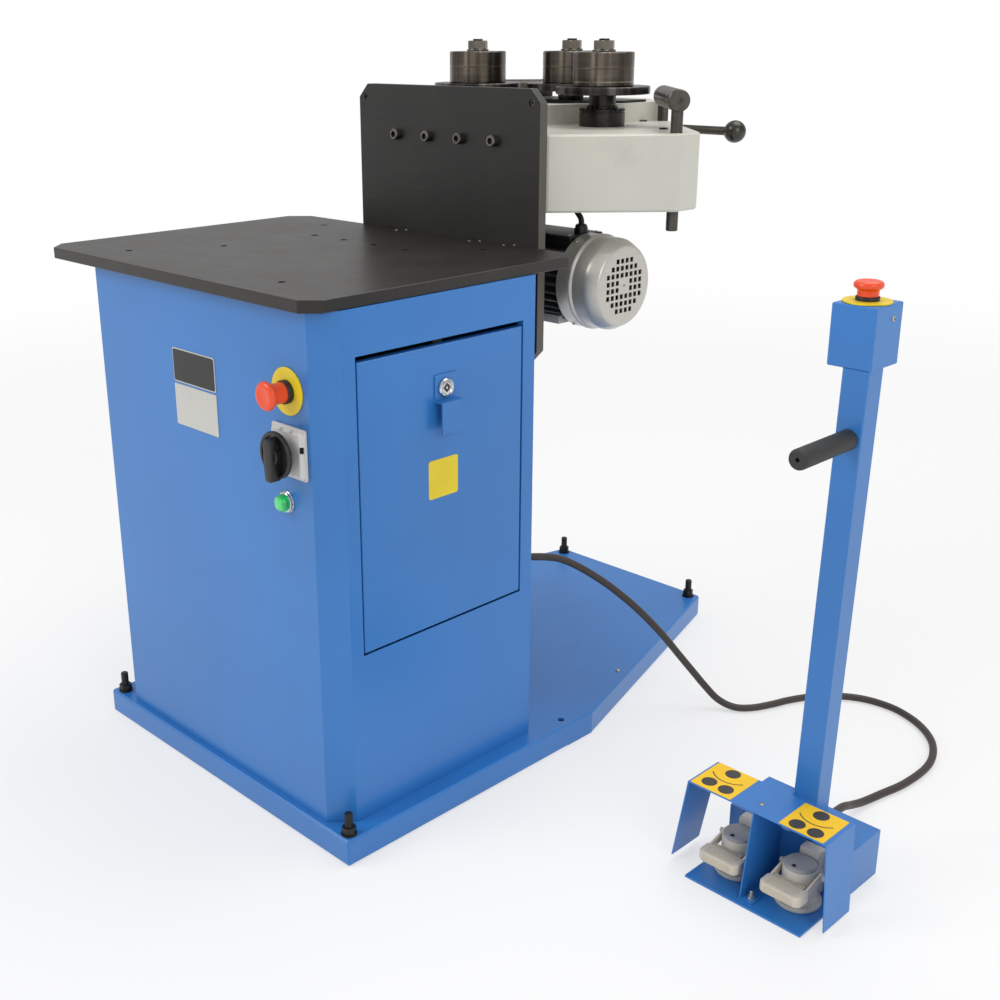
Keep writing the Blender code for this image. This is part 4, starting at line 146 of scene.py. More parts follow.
class Channel:
    """One number that varies over a surface and can be used in plain arithmetic."""

    def __init__(self, graph: Graph, socket: bpy.types.NodeSocket) -> None:
        """Wraps an output socket of a material's graph."""
        self.graph = graph
        self.socket = socket

    def _math(self, operation: str, *values: Channel | float) -> Channel:
        """Adds one Math node whose inputs are the given values, in order."""
        node = self.graph.node("ShaderNodeMath", {"operation": operation}, dict(enumerate(values)))
        return Channel(self.graph, node.outputs[0])

    def __add__(self, other: Channel | float) -> Channel:
        """The sum of two values."""
        return self._math("ADD", self, other)

    def __radd__(self, other: float) -> Channel:
        """The sum, with the number first."""
        return self._math("ADD", other, self)

    def __sub__(self, other: Channel | float) -> Channel:
        """The difference of two values."""
        return self._math("SUBTRACT", self, other)

    def __rsub__(self, other: float) -> Channel:
        """The difference, with the number first."""
        return self._math("SUBTRACT", other, self)

    def __mul__(self, other: Channel | float) -> Channel:
        """The product of two values."""
        return self._math("MULTIPLY", self, other)

    def __rmul__(self, other: float) -> Channel:
        """The product, with the number first."""
        return self._math("MULTIPLY", other, self)

    def __truediv__(self, other: Channel | float) -> Channel:
        """The quotient of two values."""
        return self._math("DIVIDE", self, other)

    def __rtruediv__(self, other: float) -> Channel:
        """The quotient, with the number first."""
        return self._math("DIVIDE", other, self)

    def above(self, limit: float) -> Channel:
        """A mask that is 1 where the value is over a limit."""
        return self._math("GREATER_THAN", self, limit)

    def span(self, low: float, high: float, to_low: float = 0.0, to_high: float = 1.0) -> Channel:
        """Maps the stretch from low to high onto another one, without going past its ends.

        Args:
            low: Where the stretch starts.
            high: Where it ends.
            to_low: What its start becomes.
            to_high: What its end becomes.

        Returns:
            The mapped value.
        """
        settings = {"interpolation_type": "SMOOTHSTEP"}
        values = {0: self, 1: low, 2: high, 3: to_low, 4: to_high}
        return Channel(self.graph, self.graph.node("ShaderNodeMapRange", settings, values).outputs[0])

    def size(self) -> Channel:
        """The value without its sign."""
        return self._math("ABSOLUTE", self)

    def root(self) -> Channel:
        """The square root."""
        return self._math("SQRT", self)

    def wrapped(self, step: float) -> Channel:
        """The value counted from zero again after each step."""
        return self._math("WRAP", self, step, 0.0)


class Graph:
    """The nodes of one material, built round its Principled shader."""

    def __init__(self, name: str) -> None:
        """Makes an empty material with its shader and output.

        Args:
            name: The material's name.
        """
        self.material = bpy.data.materials.new(name)
        self.material.use_nodes = True
        self.tree = self.material.node_tree
        self.shader = self.tree.nodes["Principled BSDF"]
        self._coordinates = self.tree.nodes.new("ShaderNodeTexCoord").outputs["Object"]

    def node(self, kind: str, settings: dict | None = None, values: dict | None = None) -> bpy.types.Node:
        """Adds a node, sets its options, then its sockets.

        Args:
            kind: The node's type.
            settings: Its options, such as a Math node's operation.
            values: What goes into its sockets by name or number, each a value or a link.

        Returns:
            The new node.
        """
        node = self.tree.nodes.new(kind)
        for key, value in (settings or {}).items():
            setattr(node, key, value)
        for key, value in (values or {}).items():
            self.feed(node.inputs[key], value)
        return node

    def feed(self, socket: bpy.types.NodeSocket, value: object) -> None:
        """Links a socket to a channel or another socket, or sets its value.

        Args:
            socket: The input to fill.
            value: A channel, an output socket, a colour or a number.
        """
        if isinstance(value, Channel):
            self.tree.links.new(value.socket, socket)
        elif isinstance(value, bpy.types.NodeSocket):
            self.tree.links.new(value, socket)
        elif socket.type == "RGBA" and len(value) == 3:
            socket.default_value = (*value, 1.0)
        else:
            socket.default_value = value

    def space(
        self, centre: Point = (0, 0, 0), stretch: Point = (1, 1, 1), turn: Point = (0, 0, 0)
    ) -> bpy.types.NodeSocket:
        """The piece's coordinates in metres, counted from a centre, then turned and stretched.

        Args:
            centre: The point that becomes zero.
            stretch: How much each axis is scaled.
            turn: Angles about the three axes.

        Returns:
            The vector socket.
        """
        settings = {"vector_type": "POINT"}
        parts = {0: self._coordinates, 1: centre}
        moved = self.node("ShaderNodeVectorMath", {"operation": "SUBTRACT"}, parts)
        values = {"Vector": moved.outputs[0], "Rotation": turn, "Scale": stretch}
        return self.node("ShaderNodeMapping", settings, values).outputs[0]

    def axes(self, space: bpy.types.NodeSocket | None = None) -> tuple[Channel, Channel, Channel]:
        """The three coordinates as separate channels."""
        split = self.node("ShaderNodeSeparateXYZ", {}, {0: space or self._coordinates})
        return tuple(Channel(self, split.outputs[index]) for index in range(3))

    def join(self, first: Channel, second: Channel, third: float) -> bpy.types.NodeSocket:
        """Three channels as one vector."""
        return self.node("ShaderNodeCombineXYZ", {}, {0: first, 1: second, 2: third}).outputs[0]

    def noise(
        self, scale: float, detail: float = 2.0, space: bpy.types.NodeSocket | None = None, rough: float = 0.5
    ) -> Channel:
        """Cloudy noise from 0 to 1.

        Args:
            scale: Its features in a metre.
            detail: How many finer layers it has.
            space: The coordinates it is drawn in.
            rough: How strong the finer layers are.

        Returns:
            The noise.
        """
        values = {"Vector": space or self._coordinates, "Scale": scale, "Detail": detail, "Roughness": rough}
        return Channel(self, self.node("ShaderNodeTexNoise", {}, values).outputs[0])

    def cells(self, scale: float) -> Channel:
        """The distance to the nearest of many scattered points, in parts of their spacing."""
        values = {"Vector": self._coordinates, "Scale": scale}
        return Channel(self, self.node("ShaderNodeTexVoronoi", {}, values).outputs[0])

    def mix(self, share: Channel | float, low: object, high: object) -> bpy.types.NodeSocket:
        """Blends two colours by a share."""
        node = self.node("ShaderNodeMix", {"data_type": "RGBA"}, {0: share, 6: low, 7: high})
        return node.outputs[2]

    def relief(self, height: Channel, depth: float, strength: float = 1.0) -> None:
        """Gives the surface a relief. Depth is its height in metres where the channel is 1."""
        values = {"Height": height, "Distance": depth, "Strength": strength}
        self.feed(self.shader.inputs["Normal"], self.node("ShaderNodeBump", {}, values).outputs[0])

    def set(self, **values: object) -> None:
        """Sets the shader's sockets. An underscore in a name stands for a space."""
        for name, value in values.items():
            self.feed(self.shader.inputs[name.replace("_", " ")], value)


# Finishes


@dataclass(frozen=True)
class Finish:
    """What all finishes share. Each kind draws its own nodes, and a material is made once."""

    name: str
    color: Rgb
    roughness: float = 0.5
    slot: str = "bright_steel"

    def material(self) -> bpy.types.Material:
        """The finish's material, made on first use.

        Returns:
            The material.
        """
        found = bpy.data.materials.get(self.name)
        if found:
            return found
        graph = Graph(self.name)
        graph.material.diffuse_color = (*self.color, 1.0)
        self.draw(graph)
        return graph.material

    def draw(self, graph: Graph) -> None:
        """Fills the graph, which each kind of finish does in its own way."""
        raise NotImplementedError

    def shaded(self, share: float) -> Rgb:
        """The finish's colour made lighter or darker."""
        return tuple(min(1.0, value * share) for value in self.color)


@dataclass(frozen=True)
class PowderCoat(Finish):
    """Sprayed and baked paint, with a fine orange peel and a slow change of tone."""

    peel: float = 0.00003

    def draw(self, graph: Graph) -> None:
        """Tone clouds, faint dust marks and the peel.

        Args:
            graph: The material's graph.
        """
        cloud = graph.noise(3.1, 3.0)
        mark = graph.noise(38.0, 4.0, graph.space(stretch=(1.0, 1.0, 0.35))).span(0.60, 0.78)
        peel = graph.noise(420.0, 2.0)
        tone = graph.mix(cloud.span(0.3, 0.7), self.shaded(0.94), self.shaded(1.05))
        tone = graph.mix(mark * 0.10, tone, self.shaded(1.25))
        graph.set(Base_Color=tone, Coat_Weight=0.25, Coat_Roughness=0.22)
        graph.set(Roughness=self.roughness + (cloud - 0.5) * 0.10 + mark * 0.08)
        graph.relief(peel, self.peel, 0.6)


@dataclass(frozen=True)
class MillBlack(Finish):
    """Thick plate with a dark oiled mill skin: mottled, brushed by use and browner in places."""

    brown: Rgb = srgb(84, 74, 66)
    half_width: float = 1.0

    def draw(self, graph: Graph) -> None:
        """Mottling, rub marks along X, shallow pits, pale dust specks and greyer sawn ends.

        Args:
            graph: The material's graph.
        """
        cloud = graph.noise(7.0, 6.0, rough=0.62)
        rub = graph.noise(9.0, 5.0, graph.space(stretch=(1.0, 26.0, 26.0)), 0.6)
        pits = graph.cells(210.0).span(0.05, 0.22)
        tone = graph.mix(cloud.span(0.38, 0.68), self.color, self.shaded(1.5))
        tone = graph.mix(rub.span(0.56, 0.80) * 0.35, tone, self.brown)
        dust = graph.cells(46.0).span(0.020, 0.034, 1.0, 0.0) * graph.noise(5.0, 2.0).above(0.52)
        tone = graph.mix(dust * 0.7, tone, srgb(190, 184, 174))
        tone = graph.mix(graph.axes()[0].size().above(self.half_width - 0.0006), tone, srgb(92, 87, 80))
        graph.set(Base_Color=tone, Metallic=0.35, Specular_IOR_Level=0.5)
        graph.set(Coat_Weight=0.18, Coat_Roughness=0.3)
        graph.set(Roughness=self.roughness + (cloud - 0.5) * 0.22 - rub.span(0.5, 0.8) * 0.08)
        graph.relief(pits * 0.35 + cloud * 0.65, 0.00010, 0.5)


@dataclass(frozen=True)
class CastEnamel(Finish):
    """Filled and painted cast iron, smooth with a soft waviness and a little grime."""

    slot: str = "grey_paint"
    grime: Rgb = srgb(150, 144, 132)

    def draw(self, graph: Graph) -> None:
        """Waviness, grime clouds and a fine grain.

        Args:
            graph: The material's graph.
        """
        wave = graph.noise(17.0, 2.0)
        grain = graph.noise(260.0, 3.0)
        dirt = graph.noise(9.0, 6.0, rough=0.65).span(0.58, 0.86)
        tone = graph.mix(wave, self.shaded(0.96), self.shaded(1.03))
        graph.set(Base_Color=graph.mix(dirt * 0.22, tone, self.grime), Coat_Weight=0.15, Coat_Roughness=0.3)
        graph.set(Roughness=self.roughness + dirt * 0.12)
        graph.relief(wave * 0.8 + grain * 0.2, 0.00022, 0.5)


@dataclass(frozen=True)
class Turned(Finish):
    """Metal turned on a lathe: rings round its axis, with rust-brown and grey bands."""

    slot: str = "turned_steel"
    centre: Point = (0.0, 0.0, 0.0)
    tint: Rgb = srgb(126, 108, 94)
    metallic: float = 0.92
    # Strength of the painted reflection streaks, dark and bright.
    painted_reflection: float = 0.3
    lines: tuple[float, ...] = ()

    def draw(self, graph: Graph) -> None:
        """Rings by radius and height, a streaky tint and painted reflections, as dark and bright vertical
        streaks.

        Args:
            graph: The material's graph.
        """
        x, y, z = graph.axes(graph.space(self.centre))
        radius = (x * x + y * y).root()
        rings = graph.noise(1.0, 3.0, graph.join(radius * 2300.0, z * 2300.0, 0.0), 0.7)
        bands = graph.noise(1.0, 3.0, graph.join(radius * 130.0, z * 130.0, 3.0))
        streak = graph.noise(11.0, 5.0, graph.space(self.centre, (1.0, 1.0, 0.5)), 0.62)
        tone = graph.mix(bands.span(0.35, 0.68), self.shaded(0.82), self.shaded(1.12))
        tone = graph.mix(streak.span(0.50, 0.76) * 0.55, tone, self.tint)
        # Painted reflection: vertical streaks are darkened and lightened where lamps would show on polished
        # metal.
        reflection_streaks = graph.noise(1.0, 2.0, graph.space(self.centre, (58.0, 58.0, 2.0)), 0.5)
        tone = graph.mix(reflection_streaks.span(0.36, 0.48, 1.0, 0.0) * self.painted_reflection, tone, self.shaded(0.42))
        tone = graph.mix(reflection_streaks.span(0.52, 0.60) * self.painted_reflection, tone, self.shaded(2.6))
        for height in self.lines:
            away = ((z - height).size() / 0.0010).span(0.3, 1.0)
            tone = graph.mix(away, self.shaded(3.0), tone)
        graph.set(Base_Color=tone, Metallic=self.metallic)
        graph.set(Roughness=self.roughness + (rings - 0.5) * 0.16 + streak.span(0.45, 0.8) * 0.12)
        graph.relief(rings, 0.00004, 0.55)


@dataclass(frozen=True)
class Plated(Finish):
    """Small zinc-plated or blackened hardware, slightly worn."""

    metallic: float = 0.9

    def draw(self, graph: Graph) -> None:
        """Fine mottling of tone and gloss.

        Args:
            graph: The material's graph.
        """
        grain = graph.noise(180.0, 3.0)
        cloud = graph.noise(46.0, 4.0, rough=0.6)
        tone = graph.mix(cloud.span(0.35, 0.7), self.shaded(0.78), self.shaded(1.1))
        graph.set(Base_Color=tone, Metallic=self.metallic, Roughness=self.roughness + (cloud - 0.5) * 0.2)
        graph.relief(grain, 0.00003, 0.4)


@dataclass(frozen=True)
class Threaded(Plated):
    """Hardware with a screw thread along its own axis."""

    centre: Point = (0.0, 0.0, 0.0)
    turn: Point = (0.0, 0.0, 0.0)
    pitch: float = 0.0015

    def draw(self, graph: Graph) -> None:
        """Rings of thread at the pitch, with painted shade in their roots.

        Args:
            graph: The material's graph.
        """
        x, y, z = graph.axes(graph.space(self.centre, (1.0, 1.0, 1.0), self.turn))
        wave = (z.wrapped(self.pitch) / self.pitch - 0.5).size() * 2.0
        # Painted shade: the roots of the thread are darkened and its crests a little lightened.
        graph.set(Base_Color=graph.mix(wave, self.shaded(0.45), self.shaded(1.05)), Metallic=self.metallic)
        graph.set(Roughness=self.roughness)
        graph.relief(wave, self.pitch * 0.5, 0.8)


@dataclass(frozen=True)
class Lacquer(Finish):
    """Silver lacquer over pressed sheet or die casting, with fine metal flakes."""

    slot: str = "silver_paint"

    def draw(self, graph: Graph) -> None:
        """Flakes, a slow cloud and a fine texture.

        Args:
            graph: The material's graph.
        """
        flake = graph.noise(900.0, 2.0)
        cloud = graph.noise(12.0, 3.0)
        tone = graph.mix(flake.span(0.35, 0.7), self.shaded(0.88), self.shaded(1.08))
        graph.set(Base_Color=graph.mix(cloud * 0.2, tone, self.shaded(0.8)), Metallic=0.55, Coat_Weight=0.3)
        graph.set(Roughness=self.roughness + (cloud - 0.5) * 0.08)
        graph.relief(flake, 0.00002, 0.35)


@dataclass(frozen=True)
class Moulded(Finish):
    """Injection-moulded plastic with a fine spark-eroded grain."""

    slot: str = "black_plastic"
    grain: float = 0.00003
    coat: float = 0.0

    def draw(self, graph: Graph) -> None:
        """Grain and a trace of handling marks.

        Args:
            graph: The material's graph.
        """
        spark = graph.noise(700.0, 2.0)
        worn = graph.noise(24.0, 4.0, rough=0.6)
        graph.set(Base_Color=graph.mix(worn.span(0.4, 0.75) * 0.35, self.color, self.shaded(0.82)))
        graph.set(Roughness=self.roughness + (worn - 0.5) * 0.12, Coat_Weight=self.coat, Coat_Roughness=0.15)
        graph.relief(spark, self.grain, 0.5)


@dataclass(frozen=True)
class Rubber(Finish):
    """Matt rubber or cable sheath with dusty patches."""

    slot: str = "black_rubber"
    dust: Rgb = srgb(92, 88, 84)

    def draw(self, graph: Graph) -> None:
        """Dust and a fine pebble.

        Args:
            graph: The material's graph.
        """
        dust = graph.noise(30.0, 5.0, rough=0.65).span(0.5, 0.85)
        pebble = graph.noise(520.0, 2.0)
        graph.set(Base_Color=graph.mix(dust * 0.3, self.color, self.dust))
        graph.set(Roughness=self.roughness + dust * 0.15)
        graph.relief(pebble, 0.00004, 0.5)


@dataclass(frozen=True)
class LampLens(Finish):
    """Clear coloured lens with a cross of prisms moulded in."""

    centre: Point = (0.0, 0.0, 0.0)

    def draw(self, graph: Graph) -> None:
        """Prism ridges across the lens, with a bright core.

        Args:
            graph: The material's graph.
        """
        x, _, z = graph.axes(graph.space(self.centre))
        ridge = ((x.size() - z.size()).size() / 0.008).span(0.0, 1.0)
        core = (x * x + z * z).root().span(0.0, 0.012)
        tone = graph.mix(core, self.shaded(2.2), self.color)
        color = graph.mix(ridge, self.shaded(1.9), tone)
        graph.set(Base_Color=color, Roughness=self.roughness, Coat_Weight=1.0)
        graph.set(Coat_Roughness=0.05, Emission_Color=tone, Emission_Strength=0.22)
        graph.relief(ridge, 0.0006, 0.7)


class Paint:
    """The finishes of this machine, by what they cover."""

    BLUE = PowderCoat("blue_powder_coat", srgb(44, 118, 192), 0.38)
    TABLE = MillBlack("table_mill_skin", srgb(36, 32, 29), 0.40)
    PLATE = MillBlack("plate_mill_skin", srgb(29, 28, 26), 0.46, half_width=0.203)
    HEAD = CastEnamel("head_enamel", srgb(207, 206, 194), 0.42)
    GEARBOX = CastEnamel("gearbox_enamel", srgb(186, 186, 180), 0.5)
    COWL = Lacquer("cowl_lacquer", srgb(204, 201, 192), 0.36)
    STATOR = Lacquer("stator_lacquer", srgb(84, 84, 84), 0.55, slot="dark_steel")
    BLACK_OXIDE = Plated("black_oxide", srgb(58, 56, 55), 0.30, slot="dark_steel")
    ZINC = Plated("zinc_plate", srgb(186, 184, 178), 0.32)
    ALUMINIUM = Lacquer("bare_plate", srgb(208, 207, 202), 0.45, slot="bright_steel")
    SCREW = Plated("cap_screw_steel", srgb(112, 108, 102), 0.3, slot="dark_steel")
    NUT = Plated("nut_steel", srgb(118, 113, 103), 0.30, slot="turned_steel")
    DARK_BOLT = Plated("dark_bolt", srgb(60, 58, 57), 0.42)
    FOOT_THREAD = Threaded("foot_thread", srgb(74, 72, 70), 0.45, pitch=0.00175)
    HANDLE = Plated("handle_steel", srgb(88, 84, 79), 0.34, slot="turned_steel")
    BALL = Plated("ball_steel", srgb(78, 76, 72), 0.26, slot="turned_steel")
    SLEEVE = Plated("sleeve_steel", srgb(86, 82, 77), 0.34, slot="turned_steel")
    SLIDE = MillBlack("slide_steel", srgb(58, 55, 53), 0.45)
    SCREW_THREAD = Threaded(
        "pressure_thread", srgb(92, 88, 84), 0.38, slot="turned_steel",
        centre=(0.0, 0.0, 0.937), turn=(math.pi / 2, 0.0, 0.0), pitch=0.003,
    )
    LENS = LampLens("lamp_green", srgb(8, 150, 70), 0.12, slot="green_lens", centre=(0.200, -0.487, 0.5128))
    LABEL = Moulded("label_yellow", srgb(250, 200, 16), 0.5, slot="yellow_plastic")
    INK = Moulded("label_ink", srgb(60, 55, 54), 0.5)
    CHROME = Plated("lock_chrome", srgb(214, 214, 214), 0.14, slot="chrome")
    CABLE = Rubber("cable_sheath", srgb(30, 29, 28), 0.55)
    GRIP = Rubber("grip_rubber", srgb(48, 48, 48), 0.6)
    BLACK = Moulded("black_moulding", srgb(26, 26, 27), 0.38)
    RED = Moulded("stop_red", srgb(238, 76, 30), 0.36, coat=0.2, slot="red_plastic")
    YELLOW = Moulded("legend_yellow", srgb(232, 206, 36), 0.45, slot="yellow_plastic")
    PALE = Moulded("switch_grey", srgb(206, 206, 204), 0.42, slot="pale_plastic")
    BEIGE = Moulded("treadle_beige", srgb(206, 197, 180), 0.5, slot="beige_plastic")
    FOOT = Moulded("foot_switch_body", srgb(194, 190, 180), 0.48, slot="pale_plastic")
    CORD = Rubber("cord_sheath", srgb(60, 52, 48), 0.48)
    SWITCH = Moulded("foot_switch_grey", srgb(150, 150, 150), 0.5, slot="pale_plastic")


# Modelling


class Bench:
    """Modelling steps that all sub-assemblies share, each done with Blender's operators."""

    @staticmethod
    def clear() -> None:
        """Leaves edit mode and deselects everything."""
        if bpy.context.mode != "OBJECT":
            bpy.ops.object.mode_set(mode="OBJECT")
        bpy.ops.object.select_all(action="DESELECT")

    @staticmethod
    def take(*pieces: Piece) -> None:
        """Selects only these pieces and makes the first one active.

        Args:
            pieces: The pieces, the active one first.
        """
        Bench.clear()
        for piece in pieces:
            piece.select_set(True)
        bpy.context.view_layer.objects.active = pieces[0]

    @staticmethod
    def line(name: str, points: Sequence[Point]) -> Piece:
        """Draws a line by extruding one vertex from each point to the next, and stays in edit mode.

        Args:
            name: The piece's name.
            points: The line's points. A line that ends where it starts is closed.

        Returns:
            The piece.
        """
        Bench.clear()
        bpy.ops.mesh.primitive_plane_add(size=1.0)
        piece = bpy.context.object
        piece.name = piece.data.name = name
        bpy.ops.object.mode_set(mode="EDIT")
        bpy.ops.mesh.select_all(action="SELECT")
        bpy.ops.mesh.merge(type="CENTER")
        bpy.ops.transform.translate(value=points[0])
        for before, after in zip(points, points[1:]):
            step = Vector(after) - Vector(before)
            bpy.ops.mesh.extrude_region_move(TRANSFORM_OT_translate={"value": step})
        bpy.ops.mesh.select_all(action="SELECT")
        bpy.ops.mesh.remove_doubles(threshold=1e-7)
        return piece

    @staticmethod
    def turned(
        name: str, profile: Sequence[Flat], place: Matrix, steps: int = 72, edge: float = 0.0
    ) -> Piece:
        """Spins a profile of (radius, height) about its own +Z axis.

        Args:
            name: The piece's name.
            profile: The half section. One that doesn't start on the axis is closed round a bore.
            place: Where the finished shape goes.
            steps: Facets round the axis.
            edge: Width of the chamfer on its sharp edges.

        Returns:
            The piece.
        """
        points = [(radius, 0.0, height) for radius, height in profile]
        if profile[0][0] > 0:
            points.append(points[0])
        piece = Bench.line(name, points)
        bpy.ops.mesh.spin(steps=steps, angle=math.tau, center=(0, 0, 0), axis=(0, 0, 1))
        bpy.ops.mesh.select_all(action="SELECT")
        bpy.ops.mesh.remove_doubles(threshold=1e-6)
        bpy.ops.mesh.normals_make_consistent(inside=False)
        Bench.clear()
        return Bench.dress(piece, edge, place)

    @staticmethod
    def slab(
        name: str,
        outline: Sequence[Flat],
        low: float,
        high: float,
        way: Way = Way.UP,
        edge: float = 0.0,
        segments: int = 2,
        taper: float = 1.0,
    ) -> Piece:
        """Draws a closed outline and extrudes it.

        Args:
            name: The piece's name.
            outline: Its corners, (x, y) for UP, (y, z) for RIGHT and (x, z) for FRONT, all in world axes.
            low: Where it starts along the axis.
            high: Where it ends.
            way: UP, RIGHT or FRONT, which name the axis Z, X or Y.
            edge: Width of the rounding on its edges.
            segments: Facets of that rounding.
            taper: How much the far end is scaled about the axis.

        Returns:
            The piece.
        """
        order = {Way.UP: (0, 1, 2), Way.RIGHT: (2, 0, 1), Way.FRONT: (0, 2, 1)}[way]
        corners = []
        for first, second in [*outline, outline[0]]:
            values = (first, second, low)
            corners.append(tuple(values[index] for index in order))
        rise = (0.0, 0.0, high - low)
        step = tuple(rise[index] for index in order)
        piece = Bench.line(name, corners)
        bpy.ops.mesh.edge_face_add()
        bpy.ops.mesh.extrude_region_move(TRANSFORM_OT_translate={"value": step})
        if taper != 1.0:
            bpy.ops.transform.resize(value=(taper, taper, taper), center_override=step)
        bpy.ops.mesh.select_all(action="SELECT")
        bpy.ops.mesh.normals_make_consistent(inside=False)
        Bench.clear()
        return Bench.dress(piece, edge, Matrix.Identity(4), segments)

    @staticmethod
    def box(name: str, low: Point, high: Point, edge: float = 0.0, segments: int = 2) -> Piece:
        """A block between two corners, with its edges rounded.

        Args:
            name: The piece's name.
            low: Its lowest corner.
            high: Its highest corner.
            edge: Width of the rounding.
            segments: Facets of that rounding.

        Returns:
            The piece.
        """
        outline = [(low[0], low[1]), (high[0], low[1]), (high[0], high[1]), (low[0], high[1])]
        return Bench.slab(name, outline, low[2], high[2], Way.UP, edge, segments)

    @staticmethod
    def dress(piece: Piece, edge: float, place: Matrix, segments: int = 2) -> Piece:
        """Rounds a raw shape's sharp edges, shades it and moves its mesh into place.

        Args:
            piece: The raw shape, modelled round the origin.
            edge: Width of the rounding.
            place: Where it goes.
            segments: Facets of the rounding.

        Returns:
            The piece.
        """
        if edge > 0:
            limit = {"limit_method": "ANGLE", "angle_limit": math.radians(32)}
            Bench.shape(piece, "BEVEL", width=edge, segments=segments, **limit)
        Bench.smooth(piece)
        piece.data.transform(place)
        return piece

    @staticmethod
    def shape(piece: Piece, kind: str, **settings: object) -> Piece:
        """Adds a modifier with these settings and applies it.

        Args:
            piece: The piece to change.
            kind: The modifier's type.
            settings: The modifier's own settings.

        Returns:
            The piece.
        """
        modifier = piece.modifiers.new(kind.lower(), kind)
        for key, value in settings.items():
            setattr(modifier, key, value)
        Bench.take(piece)
        bpy.ops.object.modifier_apply(modifier=modifier.name)
        return piece

    @staticmethod
    def smooth(piece: Piece, angle: float = math.radians(31)) -> Piece:
        """Shades a piece smooth, with its sharp edges kept.

        Args:
            piece: The piece to shade.
            angle: Edges with a larger angle stay sharp.

        Returns:
            The piece.
        """
        Bench.take(piece)
        bpy.ops.object.shade_smooth_by_angle(angle=angle)
        return piece

    @staticmethod
    def merge(pieces: Sequence[Piece]) -> Piece:
        """Joins several pieces into the first one, as one object.

        Args:
            pieces: The pieces, the one that stays first.

        Returns:
            The joined piece.
        """
        Bench.take(*pieces)
        if len(pieces) > 1:
            bpy.ops.object.join()
        return pieces[0]

    @staticmethod
    def cut(piece: Piece, tools: Sequence[Piece], operation: str = "DIFFERENCE") -> Piece:
        """Cuts tools that don't touch each other out of a piece, or fuses them, and deletes them.

        Args:
            piece: The piece to cut.
            tools: The shapes that are taken out of it.
            operation: The boolean operation.

        Returns:
            The piece.
        """
        tool = Bench.merge(list(tools))
        Bench.shape(piece, "BOOLEAN", operation=operation, solver="EXACT", object=tool)
        bpy.data.objects.remove(tool, do_unlink=True)
        return Bench.smooth(piece)

    @staticmethod
    def copy(piece: Piece, name: str, place: Matrix) -> Piece:
        """A copy of a piece with its own mesh, moved by a matrix.

        Args:
            piece: What is copied.
            name: The copy's name.
            place: How its mesh is moved.

        Returns:
            The copy.
        """
        twin = piece.copy()
        twin.data = piece.data.copy()
        twin.name = twin.data.name = name
        bpy.context.scene.collection.objects.link(twin)
        twin.data.transform(place)
        return twin

    @staticmethod
    def ring(piece: Piece, count: int, centre: Point, axis: Point = (0, 0, 1)) -> list[Piece]:
        """The piece and its copies, evenly round a centre.

        Args:
            piece: What is copied.
            count: How many stand round the centre.
            centre: The centre.
            axis: The axis they go round.

        Returns:
            All of them, the given piece first.
        """
        pieces = [piece]
        for index in range(1, count):
            shift = Matrix.Translation(Vector(centre))
            turn = Matrix.Rotation(math.tau * index / count, 4, Vector(axis))
            pieces.append(Bench.copy(piece, f"{piece.name}_{index}", shift @ turn @ shift.inverted()))
        return pieces

    @staticmethod
    def hexagon(name: str, flats: float, low: float, high: float, place: Matrix, bore: float = 0.0) -> Piece:
        """A hexagon nut or head with its corners turned off at both ends.

        Args:
            name: The piece's name.
            flats: Distance across the flats.
            low: Where it starts on its own axis.
            high: Where it ends.
            place: Where the finished shape goes.
            bore: Radius of its hole, or zero for a solid head.

        Returns:
            The piece.
        """
        corner = flats / 2 / math.cos(math.pi / 6)
        nut = Bench.slab(name, six_corners(corner), low, high)
        fall = (corner - flats / 2) * 0.6
        turned = [
            (bore, low - fall), (flats / 2 - fall, low - fall), (corner + fall, low + 2 * fall),
            (corner + fall, high - 2 * fall), (flats / 2 - fall, high + fall), (bore, high + fall),
        ]
        Bench.cut(nut, [Bench.turned("nut_blank", turned, Matrix.Identity(4), 48)], "INTERSECT")
        nut.data.transform(place)
        return nut


class Kit:
    """What every sub-assembly does with a finished piece."""

    @staticmethod
    def fit(piece: Piece, finish: Finish, *nodes: str, body: str = "machine", slot: str = "") -> Piece:
        """Gives a piece its finish, makes it ride on a body and reports it.

        Args:
            piece: The finished piece.
            finish: Its finish.
            nodes: CAD nodes that it stands for.
            body: The CAD body it moves with.
            slot: The record's material slot, where it isn't the finish's own. It is not used.

        Returns:
            The piece.
        """
        piece.data.materials.clear()
        piece.data.materials.append(finish.material())
        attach(piece, body)
        if nodes:
            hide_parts(*nodes)
        slot or finish.slot
        LOG.info("%s rides on %s, %s", piece.name, body, finish.name)
        return piece

    @staticmethod
    def repaint(finish: Finish, *nodes: str) -> None:
        """Gives CAD nodes, whose shape is right, a better finish.

        Args:
            finish: Their finish.
            nodes: The nodes.
        """
        for name in nodes:
            node = frame["nodes"][name]
            node.data.materials.clear()
            node.data.materials.append(finish.material())
            LOG.info("%s keeps its solid, %s", name, finish.name)


